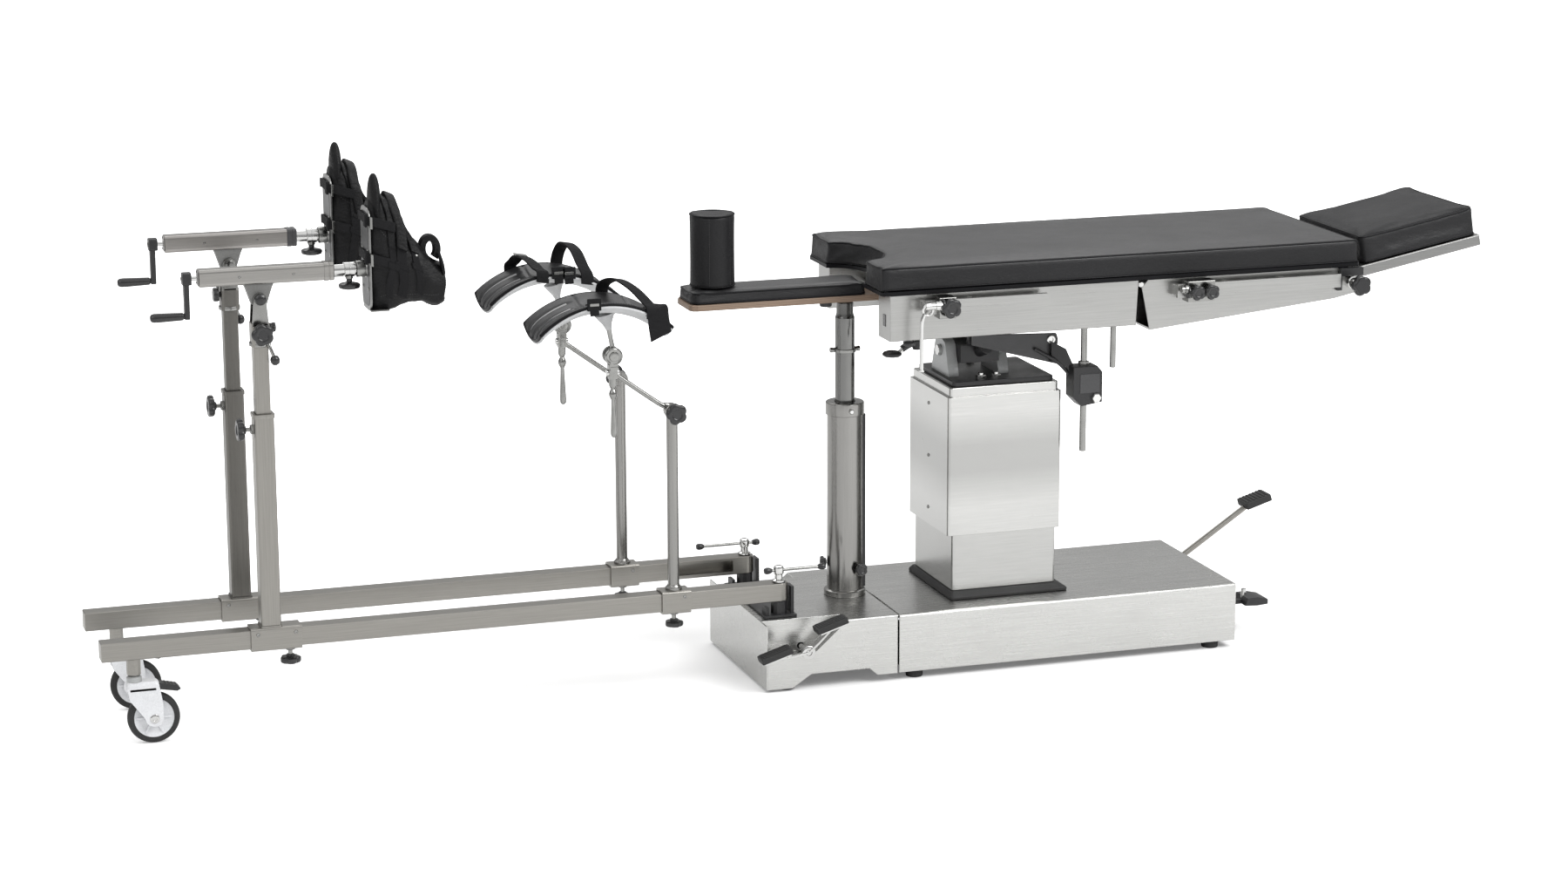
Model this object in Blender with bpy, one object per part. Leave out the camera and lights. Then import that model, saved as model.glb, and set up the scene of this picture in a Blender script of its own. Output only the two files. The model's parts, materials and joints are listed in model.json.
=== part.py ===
"""Operating table with a leg traction attachment, built from separate pieces.

X runs along the table towards the head end, Y across it, Z up, in metres. Left is the
-Y side. The floor is z = 0, and x = 0 is the middle of the whole length.
"""
import math

import bmesh
import bpy
from mathutils import Matrix, Vector

# Running clearance between neighbouring pieces, and the sheet and tube walls.
GAP = 0.0005
SHEET = 0.003
TUBE_WALL = 0.003

# Sides of the round pieces: shafts with their bores, turned pieces, and small rods.
SHAFT_SIDES = 16
TURNED_SIDES = 12
ROD_SIDES = 8

# Base.
BASE_LEFT = -0.153
BASE_SEAM = 0.155
BASE_RIGHT = 0.968
BASE_HALF_Y = 0.212
BASE_BOTTOM = 0.017
BASE_TOP = 0.151
FOOT_RADIUS = 0.018
DECK_HALF_Y = 0.165
LEDGE_TOP = 0.078
FOOT_X = (-0.100, 0.200, 0.918)
FOOT_Y = 0.183
PLATE_BOTTOM = 0.024
PLATE_TOP = 0.030

# Pedals: the brake rocker's pivot on the near side, and the pump and release pivots at the head end.
BRAKE_X = -0.060
BRAKE_Y = -0.200
BRAKE_Z = 0.088
PEDAL_X = 0.942
PEDAL_Y = 0.100
PUMP_Z = 0.118
RELEASE_Z = 0.075
PEDAL_PIN = 0.006
PEDAL_EAR = 0.008
PEDAL_HALF = 0.016

# Lifting column, shown part way up its stroke.
LIFT_DOWN = 0.110
SLEEVE_LEFT = 0.312
SLEEVE_RIGHT = 0.5605
SLEEVE_HALF_Y = 0.1215
OUTER_LEFT = 0.299
OUTER_RIGHT = 0.569
OUTER_HALF_Y = 0.126
OUTER_BOTTOM = 0.296
OUTER_TOP = 0.611
OUTER_ROOF = 0.012
COLLAR_TOP = 0.632
SLEEVE_TOP = OUTER_TOP - OUTER_ROOF - LIFT_DOWN - 0.004
PLINTH_TOP = 0.168
COLUMN_X = (SLEEVE_LEFT + SLEEVE_RIGHT) / 2.0
LIFT_RAM_RADIUS = 0.030
LIFT_RAM_BOTTOM = 0.240
BARREL_RADIUS = 0.045
BARREL_TOP = 0.440

# Column head: the lateral tilt shaft runs along X, the other tilt pin along Y.
TILT_Z = 0.695
TILT_RADIUS = 0.012
PIN_X = 0.3975
PIN_Z = 0.760
PIN_RADIUS = 0.012
BLOCK_LEFT = 0.338
BLOCK_RIGHT = 0.457
BLOCK_WIDTH = 0.025
SPINDLE_X = 0.614
SPINDLE_Y = -0.142
SPINDLE_RADIUS = 0.008
SPINDLE_BOTTOM = 0.472

# Table top.
FRAME_LEFT = 0.120
FRAME_BREAK = 0.701
FRAME_BOTTOM = 0.771
FRAME_TOP = 0.872
FRAME_HALF_Y = 0.240
BOX_DEPTH = 0.075
HINGE_X = 0.706
HINGE_Z = 0.862
KNUCKLE_RADIUS = 0.010
HINGE_PIN = 0.006
PANEL = 0.006
HINGE_INNER_Y = 0.148
HINGE_MIDDLE_Y = 0.157
CRANK_X = 0.215
CRANK_Y = -0.150
CRANK_Z = 0.742
CRANK_RADIUS = 0.007
BACK_RIGHT = 1.249
BACK_LEFT = 0.735
BACK_TAPER_X = 1.178
BACK_PANEL_RIGHT = 1.205
BACK_KNOB_X = 1.215
KNOB_Z = 0.838
RAIL_Y = 0.270
RAIL_THICK = 0.010
RAIL_BOTTOM = 0.832
RAIL_TOP = 0.862
KNOB_REACH = 0.306
KNOB_LOBES = 5
KNOB_STEM = 0.006
PAD_BOTTOM = FRAME_TOP + GAP
PAD_TOP = 0.939
PAD_HALF_Y = 0.250
PAD_LEFT = 0.096
PAD_RIGHT = 1.240
BEND_HALF = 0.060
NOTCH_HALF_Y = 0.118
NOTCH_DEPTH = 0.075

# Pelvic board, its pad and the post, and the column that holds it up.
BOARD_LEFT = -0.273
BOARD_RIGHT = 0.245
BOARD_HALF_Y = 0.058
BOARD_BOTTOM = 0.828
BOARD_TOP = 0.842
PELVIC_PAD_RIGHT = 0.135
PELVIC_PAD_TOP = 0.873
POST_X = -0.206
POST_RADIUS = 0.0495
POST_PIN = 0.012
POST_TOP = 1.037
SUPPORT_X = 0.100
SUPPORT_RADIUS = 0.040
SUPPORT_TOP = 0.594
SUPPORT_RAM_RADIUS = 0.022
SUPPORT_RAM_BOTTOM = 0.300
SUPPORT_FLANGE = 0.047

# Head section, 10.6 degrees up at rest.
HEAD_X = 1.240
HEAD_Z = 0.845
HEAD_ANGLE = math.radians(10.6)
HEAD_LENGTH = 0.343
HEAD_HALF_Y = 0.170
HEAD_PLATE = 0.025
HEAD_PAD = 0.070
HEAD_PIN = 0.008
HEAD_PLATE_LEFT = 0.035
HEAD_PAD_LEFT = 0.045
HEAD_PLATE_LOW = -0.0205

# Traction beams.
BEAM_Y = 0.125
BEAM_HALF = 0.020
BEAM_Z = 0.2065
BEAM_LEFT = -1.581
BEAM_PIVOT_X = -0.097
SCREW_RADIUS = 0.008
SCREW_BAR_Z = 0.253
CASTER_X = -1.513
WHEEL_X = -1.476
WHEEL_RADIUS = 0.055
WHEEL_WIDTH = 0.024
AXLE_RADIUS = 0.005
SWIVEL_Z = 0.130
STEM_RADIUS = 0.009

# Each side of the traction gear: the right-hand one stands a little further out and higher.
UPRIGHT_X = {"left": -1.224, "right": -1.243}
HOUSING_X = {"left": UPRIGHT_X["left"] + 0.016, "right": UPRIGHT_X["right"] + 0.0055}
HOUSING_Z = {"left": 0.980, "right": 1.012}
HOUSING_HALF_LENGTH = 0.140
HOUSING_HALF = 0.018
COLLAR_HALF = 0.019
TRACTION_RAM_RADIUS = 0.012
RAM_OUT = 0.070
CRANK_SHAFT = 0.005
TILT_DROP = 0.048
NECK_DROP = 0.102
TILT_PIN = 0.006
PEG_RADIUS = 0.011
BOOT_PLATE = 0.004
OUTER_TUBE_HALF = 0.021
OUTER_TUBE_TOP = 0.688
INNER_TUBE_HALF = 0.0155
INNER_TUBE_BOTTOM = 0.450
LEG_POST_X = {"left": -0.338, "right": -0.384}
LEG_POST_TOP = {"left": 0.629, "right": 0.653}
LEG_POST_RADIUS = 0.0125
LEG_ARM_X = -0.131
LEG_ARM_Z = 0.093
GUTTER_PIVOT = 0.037
GUTTER_PIN = 0.005
GUTTER_RISE = 0.100
GUTTER_SHIFT = -0.030
GUTTER_RADIUS = 0.206
GUTTER_HALF_LENGTH = 0.142
GUTTER_HALF_Y = 0.072
GUTTER_SHELL = 0.004
GUTTER_PAD = 0.016

SIDES = (("left", -1.0), ("right", 1.0))

COLOURS = {
    "stainless": ((0.66, 0.66, 0.65), 0.32, 1.0),
    "tube steel": ((0.36, 0.35, 0.33), 0.42, 1.0),
    "chrome": ((0.62, 0.62, 0.61), 0.18, 1.0),
    "casting": ((0.45, 0.46, 0.46), 0.50, 0.2),
    "black paint": ((0.022, 0.022, 0.023), 0.45, 0.0),
    "black vinyl": ((0.020, 0.020, 0.021), 0.48, 0.0),
    "black rubber": ((0.018, 0.018, 0.018), 0.70, 0.0),
    "boot leather": ((0.016, 0.016, 0.017), 0.55, 0.0),
    "laminate": ((0.18, 0.12, 0.085), 0.50, 0.0),
    "caster plastic": ((0.72, 0.73, 0.74), 0.40, 0.0),
    "tyre rubber": ((0.03, 0.03, 0.03), 0.65, 0.0),
    "shell plastic": ((0.62, 0.63, 0.64), 0.40, 0.0),
}


def solid(bm):
    """A loose object from a closed bmesh, with its faces turned out."""
    bmesh.ops.recalc_face_normals(bm, faces=bm.faces)
    mesh = bpy.data.meshes.new("solid")
    bm.to_mesh(mesh)
    bm.free()
    piece = bpy.data.objects.new("solid", mesh)
    bpy.context.scene.collection.objects.link(piece)
    return piece


def loft(rings):
    """A closed solid through rings of points, each ring with the same number of points."""
    bm = bmesh.new()
    rows = [[bm.verts.new(point) for point in ring] for ring in rings]
    count = len(rows[0])
    for low, high in zip(rows, rows[1:]):
        for i in range(count):
            j = (i + 1) % count
            bm.faces.new((low[i], low[j], high[j], high[i]))
    bm.faces.new(rows[0])
    bm.faces.new(rows[-1])
    return solid(bm)


def place(axis, a, b, c):
    """The point with a and b across the axis and c along it."""
    if axis == "X":
        return Vector((c, a, b))
    if axis == "Y":
        return Vector((a, c, b))
    return Vector((a, b, c))


def prism(outline, axis, low, high, edge=0.0):
    """An outline pushed along an axis, with its two end faces drawn in by edge."""
    if edge == 0.0:
        return loft([[place(axis, a, b, low) for a, b in outline],
                     [place(axis, a, b, high) for a, b in outline]])
    inner = inset(outline, edge)
    return loft([
        [place(axis, a, b, low) for a, b in inner],
        [place(axis, a, b, low + edge) for a, b in outline],
        [place(axis, a, b, high - edge) for a, b in outline],
        [place(axis, a, b, high) for a, b in inner],
    ])


def inset(outline, distance):
    """The outline moved inwards by a distance at each corner."""
    area = sum(a[0] * b[1] - b[0] * a[1] for a, b in zip(outline, outline[1:] + outline[:1]))
    turn = 1.0 if area > 0.0 else -1.0
    moved = []
    for before, here, after in zip(outline[-1:] + outline[:-1], outline, outline[1:] + outline[:1]):
        first = (Vector(here) - Vector(before)).normalized()
        second = (Vector(after) - Vector(here)).normalized()
        normal = Vector((-first.y - second.y, first.x + second.x)) * turn
        normal.normalize()
        across = max(0.3, normal.dot(Vector((-first.y, first.x)) * turn))
        moved.append(tuple(Vector(here) + normal * distance / across))
    return moved


def rounded(left, right, low, high, radius, steps=2):
    """A rectangle's outline with round corners."""
    outline = []
    corners = ((right, high, 0.0), (left, high, 90.0), (left, low, 180.0), (right, low, 270.0))
    for a, b, start in corners:
        centre_a = a - radius if a == right else a + radius
        centre_b = b - radius if b == high else b + radius
        for step in range(steps + 1):
            angle = math.radians(start + 90.0 * step / steps)
            outline.append((centre_a + radius * math.cos(angle), centre_b + radius * math.sin(angle)))
    return outline


def block(x, y, z):
    """A plain box from three (low, high) pairs."""
    return prism([(x[0], y[0]), (x[1], y[0]), (x[1], y[1]), (x[0], y[1])], "Z", z[0], z[1])


def mirrored_y(sign, a, b):
    """The (low, high) pair of two distances from the middle, on the side of that sign."""
    return (min(sign * a, sign * b), max(sign * a, sign * b))


def frame_of(direction):
    """Two unit vectors square to a direction and to each other."""
    along = Vector(direction).normalized()
    helper = Vector((0.0, 0.0, 1.0)) if abs(along.z) < 0.9 else Vector((1.0, 0.0, 0.0))
    first = along.cross(helper).normalized()
    return first, along.cross(first).normalized()


def turned(start, direction, profile, count=TURNED_SIDES):
    """A turned solid from (radius, distance along the direction) pairs, from one end to the other."""
    first, second = frame_of(direction)
    along = Vector(direction).normalized()
    rings = []
    for radius, distance in profile:
        centre = Vector(start) + along * distance
        ring = []
        for i in range(count):
            angle = 2.0 * math.pi * i / count
            ring.append(centre + radius * (first * math.cos(angle) + second * math.sin(angle)))
        rings.append(ring)
    return loft(rings)


def rod(start, end, radius, end_radius=None, count=ROD_SIDES):
    """A straight or tapered rod between two points."""
    span = Vector(end) - Vector(start)
    last = radius if end_radius is None else end_radius
    return turned(start, span, [(radius, 0.0), (last, span.length)], count)


def swept(path, radius, count=8):
    """A bent rod through a list of points."""
    points = [Vector(point) for point in path]
    rings = []
    previous = None
    for i, point in enumerate(points):
        before = points[max(i - 1, 0)]
        after = points[min(i + 1, len(points) - 1)]
        along = (after - before).normalized()
        if previous is None:
            first, second = frame_of(along)
        else:
            first = (previous - along * previous.dot(along)).normalized()
            second = along.cross(first).normalized()
        previous = first
        ring = []
        for k in range(count):
            angle = 2.0 * math.pi * k / count
            ring.append(point + radius * (first * math.cos(angle) + second * math.sin(angle)))
        rings.append(ring)
    return loft(rings)


def star_knob(root, direction, radius=0.024, depth=0.016, stem=0.012):
    """A five-lobed clamping knob on its stem, standing on root and facing the direction."""
    first, second = frame_of(direction)
    along = Vector(direction).normalized()
    rings = []
    for scale, distance in ((0.62, stem), (1.0, stem + 0.35 * depth), (0.88, stem + depth)):
        ring = []
        for i in range(3 * KNOB_LOBES):
            angle = 2.0 * math.pi * i / (3 * KNOB_LOBES)
            lobe = radius * scale * (0.88 + 0.12 * math.cos(KNOB_LOBES * angle))
            ring.append(Vector(root) + along * distance + lobe * (first * math.cos(angle) + second * math.sin(angle)))
        rings.append(ring)
    neck = turned(Vector(root) - along * 0.003, along, [(KNOB_STEM, 0.0), (KNOB_STEM, stem + 0.005)], 8)
    return [loft(rings), neck]


def strap(path, across, width, thick):
    """A flat band through a list of points, with its width along the across vector."""
    points = [Vector(point) for point in path]
    side = Vector(across).normalized() * width / 2.0
    rings = []
    for i, point in enumerate(points):
        before = points[max(i - 1, 0)]
        after = points[min(i + 1, len(points) - 1)]
        along = (after - before).normalized()
        out = along.cross(side).normalized() * thick / 2.0
        rings.append([point + side + out, point - side + out, point - side - out, point + side - out])
    return loft(rings)


def join(first, others, operation):
    """Adds the others to the first solid, or takes them from it."""
    for other in others:
        cut = first.modifiers.new("cut", "BOOLEAN")
        cut.operation = operation
        cut.solver = "EXACT"
        cut.object = other


def flat(pieces):
    """One list from pieces and lists of pieces, however deep."""
    out = []
    for piece in pieces:
        out.extend(flat(piece) if isinstance(piece, list) else [piece])
    return out


def node(name, colour, adds, cuts=(), pivot=(0.0, 0.0, 0.0)):
    """Joins solids into one named piece with its own material and its origin on the pivot."""
    adds = flat(adds)
    cuts = flat(cuts)
    join(adds[0], adds[1:], "UNION")
    join(adds[0], cuts, "DIFFERENCE")
    bpy.context.view_layer.update()
    baked = bpy.data.meshes.new_from_object(adds[0].evaluated_get(bpy.context.evaluated_depsgraph_get()))
    for piece in adds + cuts:
        bpy.data.objects.remove(piece)
    baked.name = name
    baked.transform(Matrix.Translation(-Vector(pivot)))
    piece = bpy.data.objects.new(name, baked)
    piece.location = pivot
    bpy.context.scene.collection.objects.link(piece)
    base, rough, metal = COLOURS[colour]
    material = bpy.data.materials.new(name)
    material.use_nodes = True
    shader = material.node_tree.nodes["Principled BSDF"]
    shader.inputs["Base Color"].default_value = (*base, 1.0)
    shader.inputs["Roughness"].default_value = rough
    shader.inputs["Metallic"].default_value = metal
    baked.shade_smooth()
    baked.set_sharp_from_angle(angle=math.radians(35.0))
    baked.materials.clear()
    baked.materials.append(material)
    return piece


def square_tube(x, y, z, half, low, high, axis="Z", corner=0.003):
    """A solid square bar with round corners between two heights or places along an axis."""
    a, b = {"X": (y, z), "Y": (x, z), "Z": (x, y)}[axis]
    return prism(rounded(a - half, a + half, b - half, b + half, corner, 1), axis, low, high)


def build_base():
    """The covers, the chassis with its feet, the plinth and the lower sleeve of the column."""
    ram_hole = BARREL_RADIUS + 0.0055
    outer = prism(rounded(-BASE_HALF_Y, BASE_HALF_Y, BASE_BOTTOM, BASE_TOP, 0.005), "X",
                  BASE_SEAM, BASE_RIGHT, 0.0015)
    hollow = block((BASE_SEAM - 0.01, BASE_RIGHT - SHEET), (SHEET - BASE_HALF_Y, BASE_HALF_Y - SHEET),
                   (BASE_BOTTOM - 0.01, BASE_TOP - SHEET))
    pass_through = rod((COLUMN_X, 0.0, BASE_TOP - 0.02), (COLUMN_X, 0.0, BASE_TOP + 0.02), ram_hole,
                       count=SHAFT_SIDES)
    slot_x = (BASE_RIGHT - 0.02, BASE_RIGHT + 0.02)
    pump_slot = block(slot_x, (PEDAL_Y - 0.011, PEDAL_Y + 0.011), (PUMP_Z - 0.010, BASE_TOP - SHEET - GAP))
    release_slot = block(slot_x, (-PEDAL_Y - 0.011, -PEDAL_Y + 0.011), (RELEASE_Z - 0.025, RELEASE_Z + 0.021))
    node("base_cover", "stainless", [outer], [hollow, pass_through, pump_slot, release_slot])

    seam = BASE_SEAM - 0.003
    corner_z = 0.006
    arch = BASE_BOTTOM * 2.0
    outline = [(BASE_LEFT, corner_z), (BASE_LEFT + 0.060, corner_z), (BASE_LEFT + 0.104, arch),
               (seam - 0.067, arch), (seam - 0.047, BASE_BOTTOM), (seam, BASE_BOTTOM), (seam, BASE_TOP),
               (BASE_LEFT, BASE_TOP)]
    shell = prism(outline, "Y", -BASE_HALF_Y, BASE_HALF_Y, 0.002)
    inside_x = BASE_LEFT + SHEET
    inside = [block((inside_x, seam + 0.01), (SHEET - DECK_HALF_Y, DECK_HALF_Y - SHEET),
                    (0.0, BASE_TOP - SHEET))]
    foot_of_slant = BRAKE_X + 0.012
    top_of_slant = BRAKE_X + 0.093
    recess = [(inside_x, LEDGE_TOP), (foot_of_slant, LEDGE_TOP), (top_of_slant, BASE_TOP - 0.002),
              (top_of_slant, BASE_TOP + 0.01), (inside_x, BASE_TOP + 0.01)]
    under = [(inside_x, 0.0), (seam + 0.01, 0.0), (seam + 0.01, BASE_TOP - SHEET),
             (top_of_slant + 0.001, BASE_TOP - SHEET),
             (foot_of_slant + 0.001, LEDGE_TOP - SHEET), (inside_x, LEDGE_TOP - SHEET)]
    for side, sign in SIDES:
        low, high = mirrored_y(sign, DECK_HALF_Y, BASE_HALF_Y + 0.01)
        inside.append(prism(recess, "Y", low, high))
        low, high = mirrored_y(sign, DECK_HALF_Y - SHEET - 0.001, BASE_HALF_Y - SHEET)
        inside.append(prism(under, "Y", low, high))
    inside.append(rod((BRAKE_X, BRAKE_Y, BRAKE_Z), (BRAKE_X, BRAKE_Y + 0.07, BRAKE_Z), PEDAL_PIN + 0.0025))
    node("front_cover", "stainless", [shell], inside)

    plate_y = DECK_HALF_Y - 0.010
    plate = block((BASE_LEFT + 0.012, BASE_RIGHT - 0.010), (-plate_y, plate_y), (PLATE_BOTTOM, PLATE_TOP))
    wing_y = BASE_HALF_Y - SHEET - GAP
    wings = [block((x - 0.03, x + 0.03), (-wing_y, wing_y),
                   (PLATE_BOTTOM - 0.002, PLATE_TOP)) for x in FOOT_X]
    feet = []
    for x in FOOT_X:
        for side, sign in SIDES:
            feet.append(turned((x, sign * FOOT_Y, 0.0), (0, 0, 1), [(FOOT_RADIUS - 0.003, 0.0),
                                                                  (FOOT_RADIUS, PLATE_BOTTOM)], ROD_SIDES))
    ear_low = PLATE_TOP - 0.002
    ear_y = BRAKE_Y + 0.048
    ears = [block((BRAKE_X - 0.018, BRAKE_X + 0.018), (ear_y, ear_y + PEDAL_EAR), (ear_low, BRAKE_Z + 0.018))]
    bores = [rod((BRAKE_X, ear_y - 0.008, BRAKE_Z), (BRAKE_X, ear_y + 0.022, BRAKE_Z), PEDAL_PIN + GAP)]
    for sign, z, rise in ((1.0, PUMP_Z, 0.016), (-1.0, RELEASE_Z, 0.017)):
        y = sign * PEDAL_Y
        for inner in (y - PEDAL_HALF - PEDAL_EAR, y + PEDAL_HALF):
            ears.append(block((PEDAL_X - 0.012, PEDAL_X + 0.013), (inner, inner + PEDAL_EAR),
                              (ear_low, z + rise)))
        bores.append(rod((PEDAL_X, y - 0.04, z), (PEDAL_X, y + 0.04, z), PEDAL_PIN + GAP))
    rise = BARREL_TOP - ear_low
    barrel = turned((COLUMN_X, 0.0, ear_low), (0, 0, 1), [
        (BARREL_RADIUS + 0.015, 0.0), (BARREL_RADIUS + 0.015, 0.012), (BARREL_RADIUS, 0.014), (BARREL_RADIUS,
                                                                                               rise)],
        SHAFT_SIDES)
    bores.append(rod((COLUMN_X, 0.0, ear_low + 0.017), (COLUMN_X, 0.0, BARREL_TOP + 0.06),
                     LIFT_RAM_RADIUS + GAP,
                     count=SHAFT_SIDES))
    node("base_chassis", "black paint", [plate, wings, feet, ears, barrel], bores)

    low = BASE_TOP + GAP
    skirt = loft([
        [(x, y, low) for x, y in rounded(SLEEVE_LEFT - 0.009, SLEEVE_RIGHT + 0.0235, -0.140, 0.140, 0.006)],
        [(x, y, low + 0.006) for x, y in rounded(SLEEVE_LEFT - 0.009, SLEEVE_RIGHT + 0.0235, -0.140, 0.140,
                                                 0.006)],
        [(x, y, PLINTH_TOP) for x, y in rounded(SLEEVE_LEFT - 0.004, SLEEVE_RIGHT + 0.006, -0.127, 0.127,
                                                0.006)],
    ])
    well = prism(rounded(SLEEVE_LEFT + 0.006, SLEEVE_RIGHT - 0.006, 0.006 - SLEEVE_HALF_Y,
                         SLEEVE_HALF_Y - 0.006, 0.006),
                 "Z", low - 0.01, PLINTH_TOP + 0.01)
    node("column_plinth", "black rubber", [skirt], [well])

    low = PLINTH_TOP + GAP
    sleeve = prism(rounded(SLEEVE_LEFT, SLEEVE_RIGHT, -SLEEVE_HALF_Y, SLEEVE_HALF_Y, 0.006), "Z", low,
                   SLEEVE_TOP)
    bore = prism(rounded(SLEEVE_LEFT + SHEET, SLEEVE_RIGHT - SHEET, SHEET - SLEEVE_HALF_Y,
                         SLEEVE_HALF_Y - SHEET, 0.003),
                 "Z", low - 0.01, SLEEVE_TOP + 0.01)
    node("lower_sleeve", "stainless", [sleeve], [bore])

    seat = BASE_TOP + GAP
    tube = turned((SUPPORT_X, 0.0, seat), (0, 0, 1), [
        (SUPPORT_FLANGE, 0.0), (SUPPORT_FLANGE, 0.012), (SUPPORT_RADIUS, 0.014), (SUPPORT_RADIUS,
                                                                                  SUPPORT_TOP - seat - 0.030),
        (SUPPORT_RADIUS + 0.0035, SUPPORT_TOP - seat - 0.027), (SUPPORT_RADIUS + 0.0035,
                                                                SUPPORT_TOP - seat - 0.003),
        (SUPPORT_RADIUS, SUPPORT_TOP - seat)], SHAFT_SIDES)
    key = block((SUPPORT_X + 0.028, SUPPORT_X + SUPPORT_RADIUS + 0.006), (-0.008, 0.008),
                (seat + 0.002, SUPPORT_TOP - 0.032))
    pin_y = SUPPORT_RADIUS + 0.010
    pin_z = SUPPORT_TOP - 0.016
    pins = [rod((SUPPORT_X, -pin_y, pin_z), (SUPPORT_X, pin_y, pin_z), 0.004),
            star_knob((SUPPORT_X + 0.020, -SUPPORT_RADIUS + 0.006, 0.215), (0.2, -1.0, 0.0), 0.014, 0.009,
                      0.010),
            star_knob((SUPPORT_X - SUPPORT_RADIUS + 0.004, 0.010, 0.225), (-1.0, 0.2, 0.0), 0.012, 0.008,
                      0.008)]
    bore = rod((SUPPORT_X, 0.0, seat + 0.012), (SUPPORT_X, 0.0, SUPPORT_TOP + 0.01),
               SUPPORT_RAM_RADIUS + GAP, count=SHAFT_SIDES)
    node("support_tube", "tube steel", [tube, key, pins], [bore])

    length = BOARD_BOTTOM - GAP - SUPPORT_RAM_BOTTOM
    neck = SUPPORT_RAM_RADIUS - 0.003
    ram = turned((SUPPORT_X, 0.0, SUPPORT_RAM_BOTTOM), (0, 0, 1), [
        (SUPPORT_RAM_RADIUS, 0.0), (SUPPORT_RAM_RADIUS, length - 0.045), (neck, length - 0.035), (neck,
                                                                                                  length - 0.012),
        (neck - 0.003, length - 0.005), (0.010, length - 0.0011), (0.004, length - 0.0001), (0.001,
                                                                                             length)], SHAFT_SIDES)
    cross_z = BOARD_BOTTOM - 0.117
    cross = rod((SUPPORT_X - 0.034, 0.0, cross_z), (SUPPORT_X + 0.034, 0.0, cross_z), 0.005)
    node("support_ram", "chrome", [ram, cross], pivot=(SUPPORT_X, 0.0, SUPPORT_RAM_BOTTOM))


def build_pedals():
    """The brake rocker and the two pedals at the head end of the base."""
    x, z = BRAKE_X, BRAKE_Z
    out_y = BRAKE_Y - 0.026
    shaft = rod((x, out_y, z), (x, BRAKE_Y + 0.054, z), PEDAL_PIN)
    hub = rod((x, out_y, z), (x, out_y + 0.012, z), 0.015)
    pieces = [shaft, hub]
    for end_x, end_z in ((x + 0.046, z + 0.063), (x - 0.081, z + 0.006)):
        path = [(x, out_y + 0.004, z), ((x + end_x) / 2.0, out_y, (z + end_z) / 2.0 - 0.008),
                (end_x, out_y - 0.010, end_z - 0.004)]
        pieces.append(swept(path, 0.005))
        rise = math.tan(math.radians(17.0)) * 0.036
        pad = [(end_x - 0.036, end_z - rise - 0.006), (end_x + 0.036, end_z + rise - 0.006),
               (end_x + 0.034, end_z + rise + 0.007), (end_x - 0.038, end_z - rise + 0.007)]
        pieces.append(prism(pad, "Y", out_y - 0.028, out_y + 0.008, 0.003))
    node("brake_rocker", "chrome", pieces, pivot=(x, BRAKE_Y, z))

    x, y, z = PEDAL_X, PEDAL_Y, PUMP_Z
    end_x, end_z = x + 0.216, z + 0.141
    half = PEDAL_HALF + PEDAL_EAR + GAP
    pin = rod((x, y - half, z), (x, y + half, z), PEDAL_PIN)
    arm = swept([(x - 0.004, y, z - 0.003), (x + 0.02, y, z + 0.013), (end_x - 0.02, y, end_z - 0.013),
                 (end_x, y, end_z)], 0.007, 12)
    slope = math.radians(33.0)
    pad = []
    for along, up in ((-0.032, -0.010), (0.034, -0.010), (0.030, 0.010), (-0.028, 0.010)):
        pad.append((end_x + along * math.cos(slope * 0.5) - up * math.sin(slope * 0.5),
                    end_z + along * math.sin(slope * 0.5) + up * math.cos(slope * 0.5)))
    node("pump_pedal", "chrome", [pin, arm, prism(pad, "Y", y - 0.028, y + 0.028, 0.004)], pivot=(x, y, z))

    y, z = -PEDAL_Y, RELEASE_Z
    pin = rod((x, y - half, z), (x, y + half, z), PEDAL_PIN)
    pad_x = BASE_RIGHT + 0.062
    arm = block((x - 0.010, pad_x + 0.015), (y - 0.007, y + 0.007), (z - 0.005, z + 0.005))
    pad = prism([(pad_x, z - 0.004), (pad_x + 0.058, z - 0.004), (pad_x + 0.058, z + 0.010),
                 (pad_x + 0.006, z + 0.014)],
                "Y", y - 0.032, y + 0.032, 0.003)
    post = rod((pad_x + 0.010, y, z), (pad_x + 0.010, y, z + 0.030), 0.006)
    node("release_pedal", "black paint", [pin, arm, pad, post], pivot=(x, y, z))


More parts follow.
